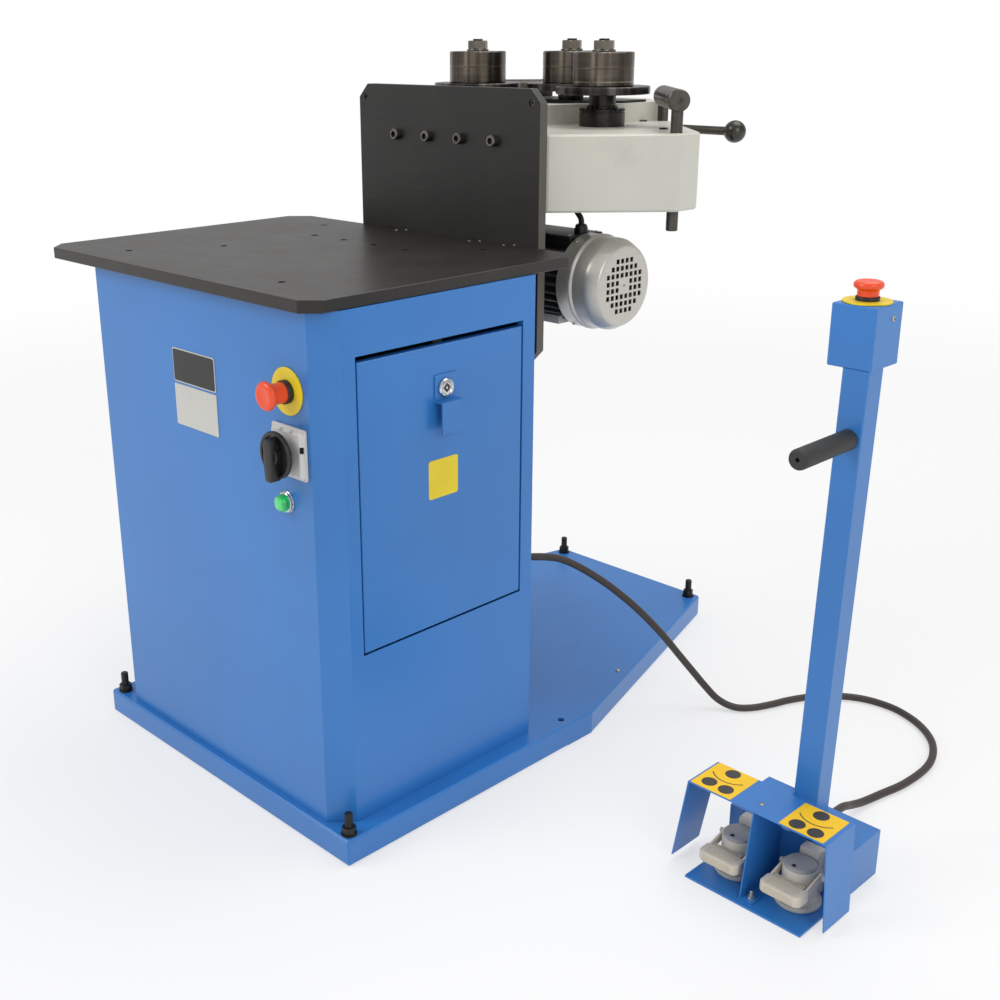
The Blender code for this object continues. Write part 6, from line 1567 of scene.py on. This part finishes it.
@dataclass
class RollSet:
    """One roll on its shaft: disc, two-part roll, washer, nut and threaded end."""

    side: str
    centre: Flat
    foot: float = 0.870
    foot_radius: float = 0.0175
    collar_low: float = 0.9905
    locknut: bool = True
    disc_radius: float = 0.075
    disc_low: float = 1.0085
    disc_high: float = 1.0205
    roll_radius: float = 0.0485
    roll_high: float = 1.072
    seam: float = 1.0474
    scribed: float = 1.0275
    bore: float = 0.0153
    washer_low: float = 1.0723
    washer_radius: float = 0.0185
    nut_low: float = 1.0753
    nut_high: float = 1.0893
    nut_flats: float = 0.030
    nut_bore: float = 0.0092
    thread_low: float = 1.0706
    thread_radius: float = 0.0087
    thread_root: float = 0.0079
    pitch: float = 0.0015
    turns: int = 13
    locknut_slots: int = 12

    def build(self) -> None:
        """Makes the four pieces of the set."""
        x, y = self.centre
        body = f"{self.side}_roll_set"
        centre = (x, y, 0.0)
        place = Way.UP.at(centre)
        # The disc's rust tint and the strength of its painted reflection streaks.
        tint_and_reflection = {"centre": centre, "tint": srgb(74, 66, 60), "painted_reflection": 0.6}
        disc = Turned(f"{self.side}_disc_steel", srgb(64, 62, 61), 0.28, **tint_and_reflection)
        lines = (self.seam, self.scribed) if self.side == "right" else (self.seam,)
        # The roll's rust tint, the strength of its painted reflection streaks and its scribed seam lines.
        tint_and_reflection = {"centre": centre, "tint": srgb(104, 84, 70), "painted_reflection": 0.75, "lines": lines}
        rolled = Turned(f"{self.side}_roll_steel", srgb(92, 85, 77), 0.25, **tint_and_reflection)
        radius, low, high = self.disc_radius, self.disc_low, self.disc_high
        outline = [
            (self.bore, low), (radius - 0.0012, low), (radius, low + 0.0012), (radius, high - 0.0012),
            (radius - 0.0012, high), (self.bore, high),
        ]
        piece = Bench.turned(f"{self.side}_disc_turned", outline, place, 128)
        Kit.fit(piece, disc, f"{self.side}_flange_disc", body=body)
        radius, low, high = self.roll_radius, self.disc_high + 0.0003, self.roll_high
        outline = [
            (self.bore, low), (radius - 0.0010, low), (radius, low + 0.0010), (radius, self.seam - 0.0009),
            (radius - 0.0012, self.seam - 0.0001), (radius - 0.0012, self.seam + 0.0001),
            (radius, self.seam + 0.0009), (radius, high - 0.0016), (radius - 0.0016, high),
            (self.bore + 0.003, high), (self.bore, high - 0.001),
        ]
        piece = Bench.turned(f"{self.side}_roll_turned", outline, place, 128)
        Kit.fit(piece, rolled, f"{self.side}_roll", body=body)
        low, bore = self.nut_low, self.nut_bore
        nut = Bench.hexagon(f"{self.side}_nut", self.nut_flats, low, self.nut_high, place, bore=bore)
        ring = tube(self.washer_radius, self.washer_low, low, bore)
        washer = Bench.turned(f"{self.side}_washer", ring, place, 64, 0.0004)
        Kit.fit(Bench.merge([nut, washer]), Paint.NUT, f"{self.side}_roll_nut", body=body)
        self.shaft(place, body)

    def shaft(self, place: Matrix, body: str) -> None:
        """The journal with its locknut and collar, and the threaded end.

        Args:
            place: The shaft's axis.
            body: The CAD body it turns with.
        """
        lower = [(0.0, self.foot), (self.foot_radius, self.foot)]
        if self.locknut:
            lower += [(self.foot_radius, 0.9853), (0.0224, 0.9853), (0.0224, 0.9866), (0.0245, 0.9866)]
            lower += [(0.0245, 0.9900), (0.0240, 0.9905), (0.0214, 0.9905)]
        else:
            lower += [(self.foot_radius, self.collar_low)]
        upper = mill(
            (21.4, 1006), (22.5, 1006.6), (22.5, 1008.2), (14.9, 1008.2), (14.9, 1070), (8.7, 1070),
        )
        if not self.locknut:
            upper[0] = (0.0214, self.collar_low)
        profile = lower + upper
        for step in range(self.turns):
            height = self.thread_low + self.pitch * step
            profile += [(self.thread_radius, height), (self.thread_root, height + self.pitch / 2)]
        profile += [(self.thread_radius, 1.0908), (0.0075, 1.0920), (0.0, 1.0920)]
        shaft = Bench.turned(f"{self.side}_shaft_turned", profile, place, 64)
        if self.locknut:
            x, y = self.centre
            slot = Bench.box("slot", (x + 0.0222, y - 0.0016, 0.9868), (x + 0.026, y + 0.0016, 0.992))
            Bench.cut(shaft, Bench.ring(slot, self.locknut_slots, (x, y, 0.0)))
        Kit.fit(shaft, Paint.BLACK_OXIDE, f"{self.side}_roll_shaft", body=body)


@dataclass
class RollHead:
    """Head casting, bearing housings and the three roll sets."""

    spacing: float = 0.140
    driven_y: float = 0.217
    pressure_y: float = 0.302
    ledge: float = 0.959
    bearing_radius: float = 0.0365
    bearing_top: float = 0.9865
    bearing_bore: float = 0.0178
    notches: int = 24
    plugs: tuple[Flat, ...] = ((0.262, 0.219), (-0.262, 0.219), (0.120, 0.350), (-0.120, 0.350))

    def build(self) -> None:
        """Builds the head from the casting up."""
        Kit.repaint(Paint.HEAD, "head_housing")
        for name, side in (("left", -1), ("right", 1)):
            self.bearing(name, (side * self.spacing, self.driven_y))
            RollSet(name, (side * self.spacing, self.driven_y)).build()
        RollSet("pressure", (0.0, self.pressure_y), 0.9158, 0.015, 0.9938, False).build()
        for index, place in enumerate(self.plugs):
            stand = Way.UP.at((*place, self.ledge))
            Kit.fit(Hardware.socket_screw(f"head_plug_{index}", 0.0072, 0.0022, stand), Paint.BLACK_OXIDE)

    def bearing(self, name: str, centre: Flat) -> None:
        """A bearing housing with a notched rim.

        Args:
            name: Left or right.
            centre: Its axis.
        """
        x, y = centre
        radius, low, top = self.bearing_radius, self.ledge + 0.0003, self.bearing_top
        profile = [
            (self.bearing_bore, low), (radius, low), (radius, top - 0.0062), (radius - 0.0012, top - 0.0056),
            (radius - 0.0012, top - 0.0044), (radius, top - 0.0038), (radius, top - 0.0008),
            (radius - 0.0008, top), (0.0245, top), (0.0245, top - 0.0015), (self.bearing_bore, top - 0.0015),
        ]
        housing = Bench.turned(f"{name}_bearing_turned", profile, Way.UP.at((x, y, 0.0)), 96)
        low_corner = (x + radius - 0.0022, y - 0.0013, top - 0.0034)
        notch = Bench.box("notch", low_corner, (x + radius + 0.002, y + 0.0013, top + 0.002))
        Bench.cut(housing, Bench.ring(notch, self.notches, (x, y, 0.0)))
        Kit.fit(housing, Paint.BLACK_OXIDE, f"{name}_bearing_housing")


@dataclass
class PressureDrive:
    """Slide with its cover, threaded screw, hub and ball lever."""

    axis_z: float = 0.937
    lever_y: float = 0.5135
    hub_front: float = 0.5025
    hub_back: float = 0.5275
    screw_start: float = 0.324
    lever_half: float = 0.194
    ball_radius: float = 0.0190
    ball_steps: int = 24
    neck_radius: float = 0.0095
    bar_radius: float = 0.0074
    thread_radius: float = 0.012

    def build(self) -> None:
        """Dresses the slide and turns the screw, hub and lever."""
        Kit.repaint(Paint.SLIDE, "pressure_slide")
        Kit.repaint(Paint.PLATE, "slide_cover")
        place = Way.BACK.at((0.0, 0.0, self.axis_z))
        rod = tube(self.thread_radius, self.screw_start, self.hub_front)
        thread = Bench.turned("screw_thread", rod, place, 64)
        Kit.fit(thread, Paint.SCREW_THREAD, "pressure_screw", body="pressure_screw")
        front, back = self.hub_front, self.hub_back
        profile = [
            (0.0, front), (0.0150, front), (0.0170, front + 0.002), (0.0170, back - 0.003),
            (0.0158, back - 0.0008), (0.0140, back), (0.0, back),
        ]
        Kit.fit(Bench.turned("screw_hub", profile, place, 72), Paint.HANDLE, body="pressure_screw")
        across = Way.RIGHT.at((0.0, self.lever_y, self.axis_z))
        half = self.lever_half - self.ball_radius * 0.8
        bar = Bench.turned("lever_bar", tube(self.bar_radius, -half, half), across, 40)
        Kit.fit(bar, Paint.HANDLE, "pressure_lever", body="pressure_screw")
        start = math.asin(self.neck_radius / self.ball_radius)
        steps = self.ball_steps
        dome = [
            (self.ball_radius * math.sin(angle), self.lever_half - self.ball_radius * math.cos(angle))
            for angle in [start + (math.pi - start) * step / steps for step in range(steps)]
        ]
        neck = dome[0][1] - 0.0012
        profile = [(0.0, neck), (self.neck_radius, neck), *dome]
        profile.append((0.0, self.lever_half + self.ball_radius))
        for name, way in (("right", Way.RIGHT), ("left", Way.LEFT)):
            ball = Bench.turned(f"lever_ball_{name}", profile, way.at((0.0, self.lever_y, self.axis_z)), 48)
            Kit.fit(ball, Paint.BALL, body="pressure_screw")


@dataclass
class SideGuides:
    """Two guide rollers on pins and the bare pin between them."""

    height: float = 1.0055
    pin_low: float = 0.815
    pin_radius: float = 0.009
    near: Flat = (0.3235, 0.168)
    far: Flat = (0.1345, 0.385)
    plain_top: float = 1.012
    slant: float = math.sqrt(0.5)

    def build(self) -> None:
        """Builds both arms and the bare pin."""
        self.arm("right", self.near, (-self.slant, self.slant, 0.0))
        self.arm("left", (-self.far[0], self.far[1]), (-self.slant, -self.slant, 0.0))
        pin = self.pin("plain_pin", self.far, self.plain_top)
        Kit.fit(pin, Paint.HANDLE, "plain_guide_pin", body="plain_guide")

    def pin(self, name: str, place: Flat, top: float) -> Piece:
        """A round pin with chamfered ends, standing in the head.

        Args:
            name: The piece's name.
            place: Its axis.
            top: Its upper end.

        Returns:
            The piece.
        """
        radius = self.pin_radius
        profile = [(0.0, self.pin_low), (radius - 0.001, self.pin_low), (radius, self.pin_low + 0.001)]
        profile += [(radius, top - 0.0012), (radius - 0.0012, top), (0.0, top)]
        return Bench.turned(name, profile, Way.UP.at((*place, 0.0)), 48)

    def arm(self, name: str, place: Flat, direction: Point) -> None:
        """Pin, boss with its socket, axle and roller.

        Args:
            name: Which side it is on.
            place: The pin's axis.
            direction: Which way the roller points.
        """
        centre = (*place, self.height)
        along = aim(direction, centre)
        outline = mill(
            (0, -11), (4, -11), (4, -13.6), (4.6, -14), (14.6, -14), (16.2, -12.4), (16.2, 8.9),
            (15.6, 9.5), (6, 9.5), (6, 152.1), (9.4, 152.1), (10, 152.7), (10, 154.5), (9.4, 155.1),
            (0, 155.1),
        )
        boss = Bench.turned(f"{name}_guide_boss", outline, along, 64)
        pin = self.pin(f"{name}_guide_post", place, self.height)
        Kit.fit(Bench.merge([boss, pin]), Paint.HANDLE, f"{name}_guide_pin", body=f"{name}_guide")
        outline = mill(
            (6.3, 9.8), (15.2, 9.8), (16, 10.6), (16, 18), (15.7, 18.3), (15.7, 19), (16, 19.3),
            (16, 150.6), (15, 151.8), (6.3, 151.8),
        )
        roller = Bench.turned(f"{name}_guide_sleeve", outline, along, 72)
        Kit.fit(roller, Paint.SLEEVE, f"{name}_guide_roller", body=f"{name}_guide_roller")


@dataclass
class DriveMotor:
    """Finned motor with its cowl, terminal box and cable, and the gearbox beside it."""

    axis_y: float = 0.133
    axis_z: float = 0.728
    pitch: float = 0.0111
    hole: float = 0.0037
    rows: tuple[int, ...] = (4, 6, 8, 8, 8, 8, 6, 4)
    blind: tuple[int, int] = (3, 4)
    fins: int = 32
    flange: Flat = (-0.050, 0.8305)
    bolt_ring: float = 0.0837
    cover_x: float = -0.116
    cover_ring: float = 0.034
    lug: tuple[Point, Point] = ((0.126, 0.0840, 0.6610), (0.1740, 0.1120, 0.6745))
    cowl_screws: tuple[int, ...] = (-118, -62, 62, 118)
    cowl_screw_x: float = 0.1935
    cowl_radius: float = 0.0738
    fin_span: Flat = (0.0405, 0.1868)
    seat: tuple[Flat, Flat] = ((0.0427, 0.1863), (0.7797, 0.860))
    seat_half: float = 0.0403

    def build(self) -> None:
        """Builds the motor from its fins to its cowl."""
        Kit.repaint(Paint.GEARBOX, "gearbox")
        Kit.repaint(Paint.BLACK, "motor_fan")
        Kit.repaint(Paint.CABLE, "motor_cable")
        self.cowl()
        self.stator()
        self.terminal_box()
        self.gearbox_fittings()

    def gearbox_fittings(self) -> None:
        """Four bolts under the gearbox's flange, the motor's lug and four screws in the side cover."""
        turns = [math.radians(45 + 90 * index) for index in range(4)]
        flange_x, flange_z = self.flange
        for index, turn in enumerate(turns):
            x = flange_x + self.bolt_ring * math.cos(turn)
            y = self.axis_y + self.bolt_ring * math.sin(turn)
            bolt = Hardware.hex_bolt(f"flange_bolt_{index}", 0.013, 0.006, Way.DOWN.at((x, y, flange_z)))
            Kit.fit(bolt, Paint.ZINC)
        Kit.fit(Bench.box("motor_lug", *self.lug, 0.0012), Paint.GEARBOX)
        for index, turn in enumerate(turns):
            y = self.axis_y + self.cover_ring * math.cos(turn)
            z = self.axis_z + self.cover_ring * math.sin(turn)
            place = Way.LEFT.at((self.cover_x, y, z))
            screw = Hardware.socket_screw(f"gear_cover_screw_{index}", 0.0045, 0.0040, place)
            Kit.fit(screw, Paint.SCREW, slot="bright_steel")

    def axis(self) -> Matrix:
        """The motor's axis, counted along +X."""
        return Way.RIGHT.at((0.0, self.axis_y, self.axis_z))

    def cowl(self) -> None:
        """Pressed cowl: rolled bead, step, crown and the grille of square holes."""
        outer = mill(
            (74, 188), (74, 210.5), (74.6, 211.5), (75.2, 213), (75.2, 214), (74.6, 215.4), (73.8, 216.2),
            (72, 218.5), (72, 240),
        )
        inner = mill((70.4, 240.2), (70.4, 219), (72.2, 215), (72.4, 188))
        crown = mill(
            (72, 242), (71.7, 245), (70.7, 248), (64, 260.8), (62.6, 262.6), (60.8, 263.7), (59, 264),
        )
        under = [(radius - 0.0016, height - 0.0016 * (height - 0.242) / 0.022) for radius, height in crown]
        outside = [(0.0, 0.264), *reversed(crown), *reversed(outer)]
        inside = [*reversed(inner), *under, (0.0, 0.2624)]
        shell = Bench.turned("cowl_pressing", outside + inside, self.axis(), 128)
        tools = []
        for row, count in enumerate(self.rows):
            up = ((len(self.rows) - 1) / 2 - row) * self.pitch
            for column in range(count):
                if row in self.blind and column in self.blind:
                    continue
                y, z = self.axis_y + (column - (count - 1) / 2) * self.pitch, self.axis_z + up
                low = (0.2600, y - self.hole, z - self.hole)
                tools.append(Bench.box("grille_hole", low, (0.2660, y + self.hole, z + self.hole)))
        Bench.cut(shell, tools)
        Kit.fit(shell, Paint.COWL, "fan_cowl")
        # A flat dark disc at the crown's centre stands in for the dimple's hollow: painted shade.
        dimple = mill((0, 263.6), (1.7, 263.6), (1.7, 264), (0, 264.05))
        Kit.fit(Bench.turned("cowl_dimple_shade", dimple, self.axis(), 24), Paint.DARK_BOLT, slot="silver_paint")
        for index, angle in enumerate(self.cowl_screws):
            turn = math.radians(angle)
            y = self.axis_y + self.cowl_radius * math.cos(turn)
            z = self.axis_z + self.cowl_radius * math.sin(turn)
            place = aim((0.0, math.cos(turn), math.sin(turn)), (self.cowl_screw_x, y, z))
            Kit.fit(Hardware.pan_screw(f"cowl_screw_{index}", 0.0032, place), Paint.ZINC)

    def stator(self) -> None:
        """Core with its end bells, shaft and the fins round it."""
        profile = mill(
            (0, 30), (71, 30), (72, 31), (72, 40), (60.3, 41.2), (60, 187), (60, 190), (71.8, 190),
            (71.8, 197), (7, 197), (7, 239), (0, 239),
        )
        core = Bench.turned("stator_core", profile, self.axis(), 96)
        y, z = self.axis_y, self.axis_z
        outline = [
            (y - 0.0026, z + 0.0590), (y + 0.0026, z + 0.0590), (y + 0.0017, z + 0.0700), (y, z + 0.0705),
            (y - 0.0017, z + 0.0700),
        ]
        fin = Bench.slab("stator_fin", outline, *self.fin_span, Way.RIGHT)
        fins = Bench.ring(fin, self.fins, (0.0, y, z), (1, 0, 0))
        (left, right), (base, top) = self.seat
        low, high = (left, y - self.seat_half, base), (right, y + self.seat_half, top)
        for piece in [core, *fins]:
            if max(vertex.co.z for vertex in piece.data.vertices) > base:
                Bench.cut(piece, [Bench.box("terminal_seat", low, high)])
        Kit.fit(Bench.merge([core, *fins]), Paint.STATOR, "motor_stator")

    def terminal_box(self) -> None:
        """Box with its lid, four screws and the cable gland."""
        y = self.axis_y
        body = Bench.box("terminal_case", (0.045, y - 0.038, 0.780), (0.184, y + 0.038, 0.7938), 0.0008)
        lid = Bench.box("terminal_lid", (0.043, y - 0.040, 0.794), (0.186, y + 0.040, 0.800), 0.0022, 3)
        Kit.fit(Bench.merge([body, lid]), Paint.BLACK, "terminal_box")
        for index, (x, side) in enumerate(((0.051, -1), (0.178, -1), (0.051, 1), (0.178, 1))):
            place = Way.UP.at((x, y + side * 0.032, 0.7998))
            Kit.fit(Hardware.pan_screw(f"terminal_screw_{index}", 0.0030, place), Paint.ZINC)
        place = Way.UP.at((0.174, y, 0.0))
        nut = Bench.hexagon("terminal_gland_nut", 0.0205, 0.800, 0.8085, place)
        cap = mill((0, 808.5), (10, 808.5), (10, 810.5), (8.8, 813.5), (6.4, 815), (0, 815))
        Kit.fit(Bench.merge([nut, Bench.turned("terminal_gland_cap", cap, place, 48)]), Paint.BLACK)


@dataclass
class FootStation:
    """Pedal station: plate, cable box, post with stop and grip, guard, switches and treadles."""

    floor: float = 0.003
    guard_top: float = 0.130
    guard_front: float = -0.154
    post_face: float = -0.0787
    stop: Point = (0.7717, -0.050, 0.7978)
    grip: Flat = (0.7802, 0.6355)
    grip_length: float = 0.1138
    pedals: Flat = (0.6985, 0.7945)
    switch_y: float = -0.118
    pivot: Flat = (-0.112, 0.048)
    pivot_reach: float = 0.0340
    ribs: int = 14
    rib_pitch: float = 0.0032
    rib_half: float = 0.0007
    rib_rise: float = 0.0008
    label_sheet: float = 0.0003
    label_discs: tuple[Flat, ...] = ((0.0313, -0.0128), (0.0190, -0.0512), (0.0463, -0.0522))
    disc_radius: float = 0.0108
    ink: float = 0.0002
    line_centre: Flat = (0.0320, -0.0055)
    line_radii: Flat = (0.0327, 0.0311)
    line_turn: Flat = (math.radians(220), math.radians(320))
    labels: tuple[tuple[float, float, float], ...] = ((0.6365, 0.7010, -0.0835), (0.7755, 0.8405, -0.0870))

    def build(self) -> None:
        """Dresses the folded sheet and adds all fittings."""
        Kit.repaint(Paint.BLUE, "station_base", "station_post", "station_switch_box", "pedal_guard")
        nodes = ("station_stop_button", "station_stop_base", "station_stop_button")
        StopButton("station_stop", Way.UP.at(self.stop), *nodes, 0.91, 0.007, 0.0255).build()
        self.add_grip()
        for name, span in zip(("left", "right"), self.labels):
            self.label(name, span)
        for name, x in zip(("left", "right"), self.pedals):
            self.switch(name, x)
            self.treadle(name, x)
        screws = {
            "guard_screw": (0.0034, Way.UP.at((0.7372, -0.1315, self.guard_top))),
            "box_screw": (0.0036, Way.RIGHT.at((0.8010, -0.0390, 0.7800))),
        }
        for name, (radius, place) in screws.items():
            Kit.fit(Hardware.pan_screw(name, radius, place), Paint.ZINC)
        place = Way.UP.at((0.7500, -0.1610, 0.0048))
        bolt = Hardware.hex_bolt("divider_bolt", 0.0080, 0.0042, place)
        profile = mill((0, 0.4), (2.6, 0.4), (2.6, 10.4), (2.1, 11), (0, 11))
        stud = Bench.turned("divider_stud", profile, place, 24)
        Kit.fit(Bench.merge([bolt, stud]), Paint.ZINC)

    def add_grip(self) -> None:
        """Dark grip on the post, with a hole in its rounded end."""
        place = Way.FRONT.at((self.grip[0], self.post_face, self.grip[1]))
        end = self.grip_length
        profile = [
            (0.0, -0.0118), (0.0060, -0.0118), (0.0060, 0.0003), (0.0124, 0.0003), (0.0130, 0.0010),
            (0.0130, end - 0.0045), (0.0127, end - 0.0026), (0.0118, end - 0.0011), (0.0100, end - 0.0002),
            (0.0080, end), (0.0034, end), (0.0026, end - 0.0008), (0.0026, end - 0.0120),
            (0.0, end - 0.0120),
        ]
        Kit.fit(Bench.turned("grip_sleeve", profile, place, 64), Paint.GRIP, "station_grip")

    def label(self, name: str, span: tuple[float, float, float]) -> None:
        """A yellow label with three dark discs and a curved line, which show how the rolls bend a bar.

        Args:
            name: Left or right.
            span: Its two ends along X and its back edge.
        """
        left, right, back = span
        top = self.guard_top
        outline = Hardware.patch(left, right, self.guard_front + 0.0015, back, 0.0015)
        Kit.fit(Bench.slab(f"{name}_label", outline, top, top + self.label_sheet), Paint.LABEL)
        top += self.label_sheet
        marks = []
        for index, (x, y) in enumerate(self.label_discs):
            place = Way.UP.at((left + x, back + y, top))
            disc = tube(self.disc_radius, 0.0, self.ink)
            marks.append(Bench.turned(f"{name}_mark_{index}", disc, place, 40))
        centre = (left + self.line_centre[0], back + self.line_centre[1])
        (outside, inside), (start, end) = self.line_radii, self.line_turn
        outline = Hardware.arc(centre, outside, start, end, 16) + Hardware.arc(centre, inside, end, start, 16)
        marks.append(Bench.slab(f"{name}_mark_line", outline, top, top + self.ink))
        Kit.fit(Bench.merge(marks), Paint.INK)

    def switch(self, name: str, x: float) -> None:
        """Moulded foot switch: foot, waist, round body with its darker lid, tail and pivot.

        Args:
            name: Left or right.
            x: Its centre.
        """
        y, low = self.switch_y, self.floor + 0.0003
        place = Way.UP.at((x, y, 0.0))
        profile = [
            (0.0, low), (0.0300, low), (0.0310, low + 0.001), (0.0310, 0.0085), (0.0302, 0.0097),
            (0.0280, 0.0103), (0.0250, 0.0112), (0.0240, 0.0130), (0.0236, 0.0220), (0.0235, 0.0300),
            (0.0235, 0.0560), (0.0231, 0.0574), (0.0222, 0.0580), (0.0, 0.0580),
        ]
        body = Bench.turned(f"{name}_switch_body", profile, place, 80)
        outline = [
            (y, low), (-0.0793, low), (-0.0793, 0.0690), (-0.0812, 0.0718), (-0.0960, 0.0718),
            (-0.0985, 0.0690), (-0.0985, 0.0520), (y, 0.0520),
        ]
        tail = Bench.slab(f"{name}_switch_tail", outline, x - 0.015, x + 0.015, Way.RIGHT, 0.0022, 3)
        across = Way.RIGHT.at((x, *self.pivot))
        reach = self.pivot_reach
        pivot = Bench.turned(f"{name}_switch_pivot", tube(0.0035, -reach, reach), across, 32, 0.0005)
        Kit.fit(Bench.merge([body, tail, pivot]), Paint.FOOT, f"{name}_foot_switch")
        lid = mill((0, 57.5), (21.5, 57.5), (21.5, 60.8), (20.8, 62.2), (19.4, 62.9), (0, 63))
        Kit.fit(Bench.turned(f"{name}_switch_lid", lid, place, 72), Paint.SWITCH)
        place = Way.UP.at((x - 0.002, y - 0.0145, 0.0626))
        Kit.fit(Hardware.pan_screw(f"{name}_switch_screw", 0.0030, place), Paint.DARK_BOLT)

    def treadle(self, name: str, x: float) -> None:
        """Ribbed treadle with rounded corners on two arms.

        Args:
            name: Left or right.
            x: Its centre.
        """
        front, back, low, top = -0.172, -0.146, 0.030, 0.046
        corners = Hardware.arc((x + 0.0215, front + 0.0095), 0.0095, -math.pi / 2, 0.0, 6)
        corners += [(x + 0.031, back), (x - 0.031, back)]
        corners += Hardware.arc((x - 0.0215, front + 0.0095), 0.0095, math.pi, 1.5 * math.pi, 6)
        bar = Bench.slab(f"{name}_treadle_bar", corners, low, top, Way.UP, 0.0032, 4)
        ribs = []
        half = self.rib_half
        for index in range(self.ribs):
            step = x - self.rib_pitch * (self.ribs - 1) / 2 + self.rib_pitch * index
            ridge = [
                (front - 0.0007, low + 0.0035), (back + 0.0040, low + 0.0035),
                (back + 0.0040, top + self.rib_rise), (front + 0.0034, top + self.rib_rise),
                (front + 0.0006, top - 0.0005), (front - 0.0007, top - 0.0034),
            ]
            ribs.append(Bench.slab(f"{name}_rib_{index}", ridge, step - half, step + half, Way.RIGHT))
        arms = []
        for side in (-1, 1):
            near, far = sorted((x + side * 0.0246, x + side * 0.0279))
            outline = [
                (back - 0.0005, 0.0335), (-0.1120, 0.0415), (-0.1068, 0.0436), (-0.1055, 0.0480),
                (-0.1068, 0.0524), (-0.1120, 0.0545), (back - 0.0005, top - 0.0006),
            ]
            arms.append(Bench.slab(f"{name}_arm_{side}", outline, near, far, Way.RIGHT, 0.0006))
        Kit.fit(Bench.merge([bar, *ribs, *arms]), Paint.BEIGE, f"{name}_treadle", body=f"{name}_treadle")


@dataclass
class CordGland:
    """Hexagon gland with the soft tapered sleeve that holds the cord."""

    name: str
    place: Point
    nut_flats: float = 0.0212
    nut_span: Flat = (0.0005, 0.0145)
    thread_radius: float = 0.0094
    rings: int = 4
    ring_pitch: float = 0.0030
    ring_fall: float = 0.0004

    def build(self) -> None:
        """Turns the gland and its sleeve."""
        place = Way.BACK.at(self.place)
        nut = Bench.hexagon(f"{self.name}_nut", self.nut_flats, *self.nut_span, place)
        thread = Bench.turned(f"{self.name}_thread", tube(self.thread_radius, -0.0119, 0.0006), place, 40)
        Kit.fit(Bench.merge([nut, thread]), Paint.BLACK, self.name)
        sleeve = mill((0, 14.5), (10, 14.5), (10, 16), (9.6, 16.8))
        for step in range(self.rings):
            start = 0.0168 + self.ring_pitch * step
            radius = self.thread_radius - self.ring_fall * step
            sleeve += [(radius, start), (radius, start + 0.0020)]
            sleeve += [(radius - 0.0008, start + 0.0022), (radius - 0.0008, start + 0.0029)]
        sleeve += [(0.0078, 0.0290), (0.0078, 0.0300), (0.0, 0.0300)]
        Kit.fit(Bench.turned(f"{self.name}_sleeve", sleeve, place, 48), Paint.CABLE)


def main() -> None:
    """Builds the studio and every sub-assembly, in order."""
    logging.basicConfig(level=logging.INFO, format="%(name)s: %(message)s")
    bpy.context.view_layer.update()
    Studio().build()
    PedalCord().build()
    machine = (Cabinet, FrontControls, WorkFace, RollHead, PressureDrive, SideGuides, DriveMotor)
    for assembly in (*machine, FootStation):
        LOG.info("building %s", assembly.__name__)
        assembly().build()
    CordGland("cabinet_gland", (0.185, -0.0965, 0.300)).build()
    CordGland("station_gland", (0.745, 0.013, 0.035)).build()


if __name__ == "__main__":
    main()
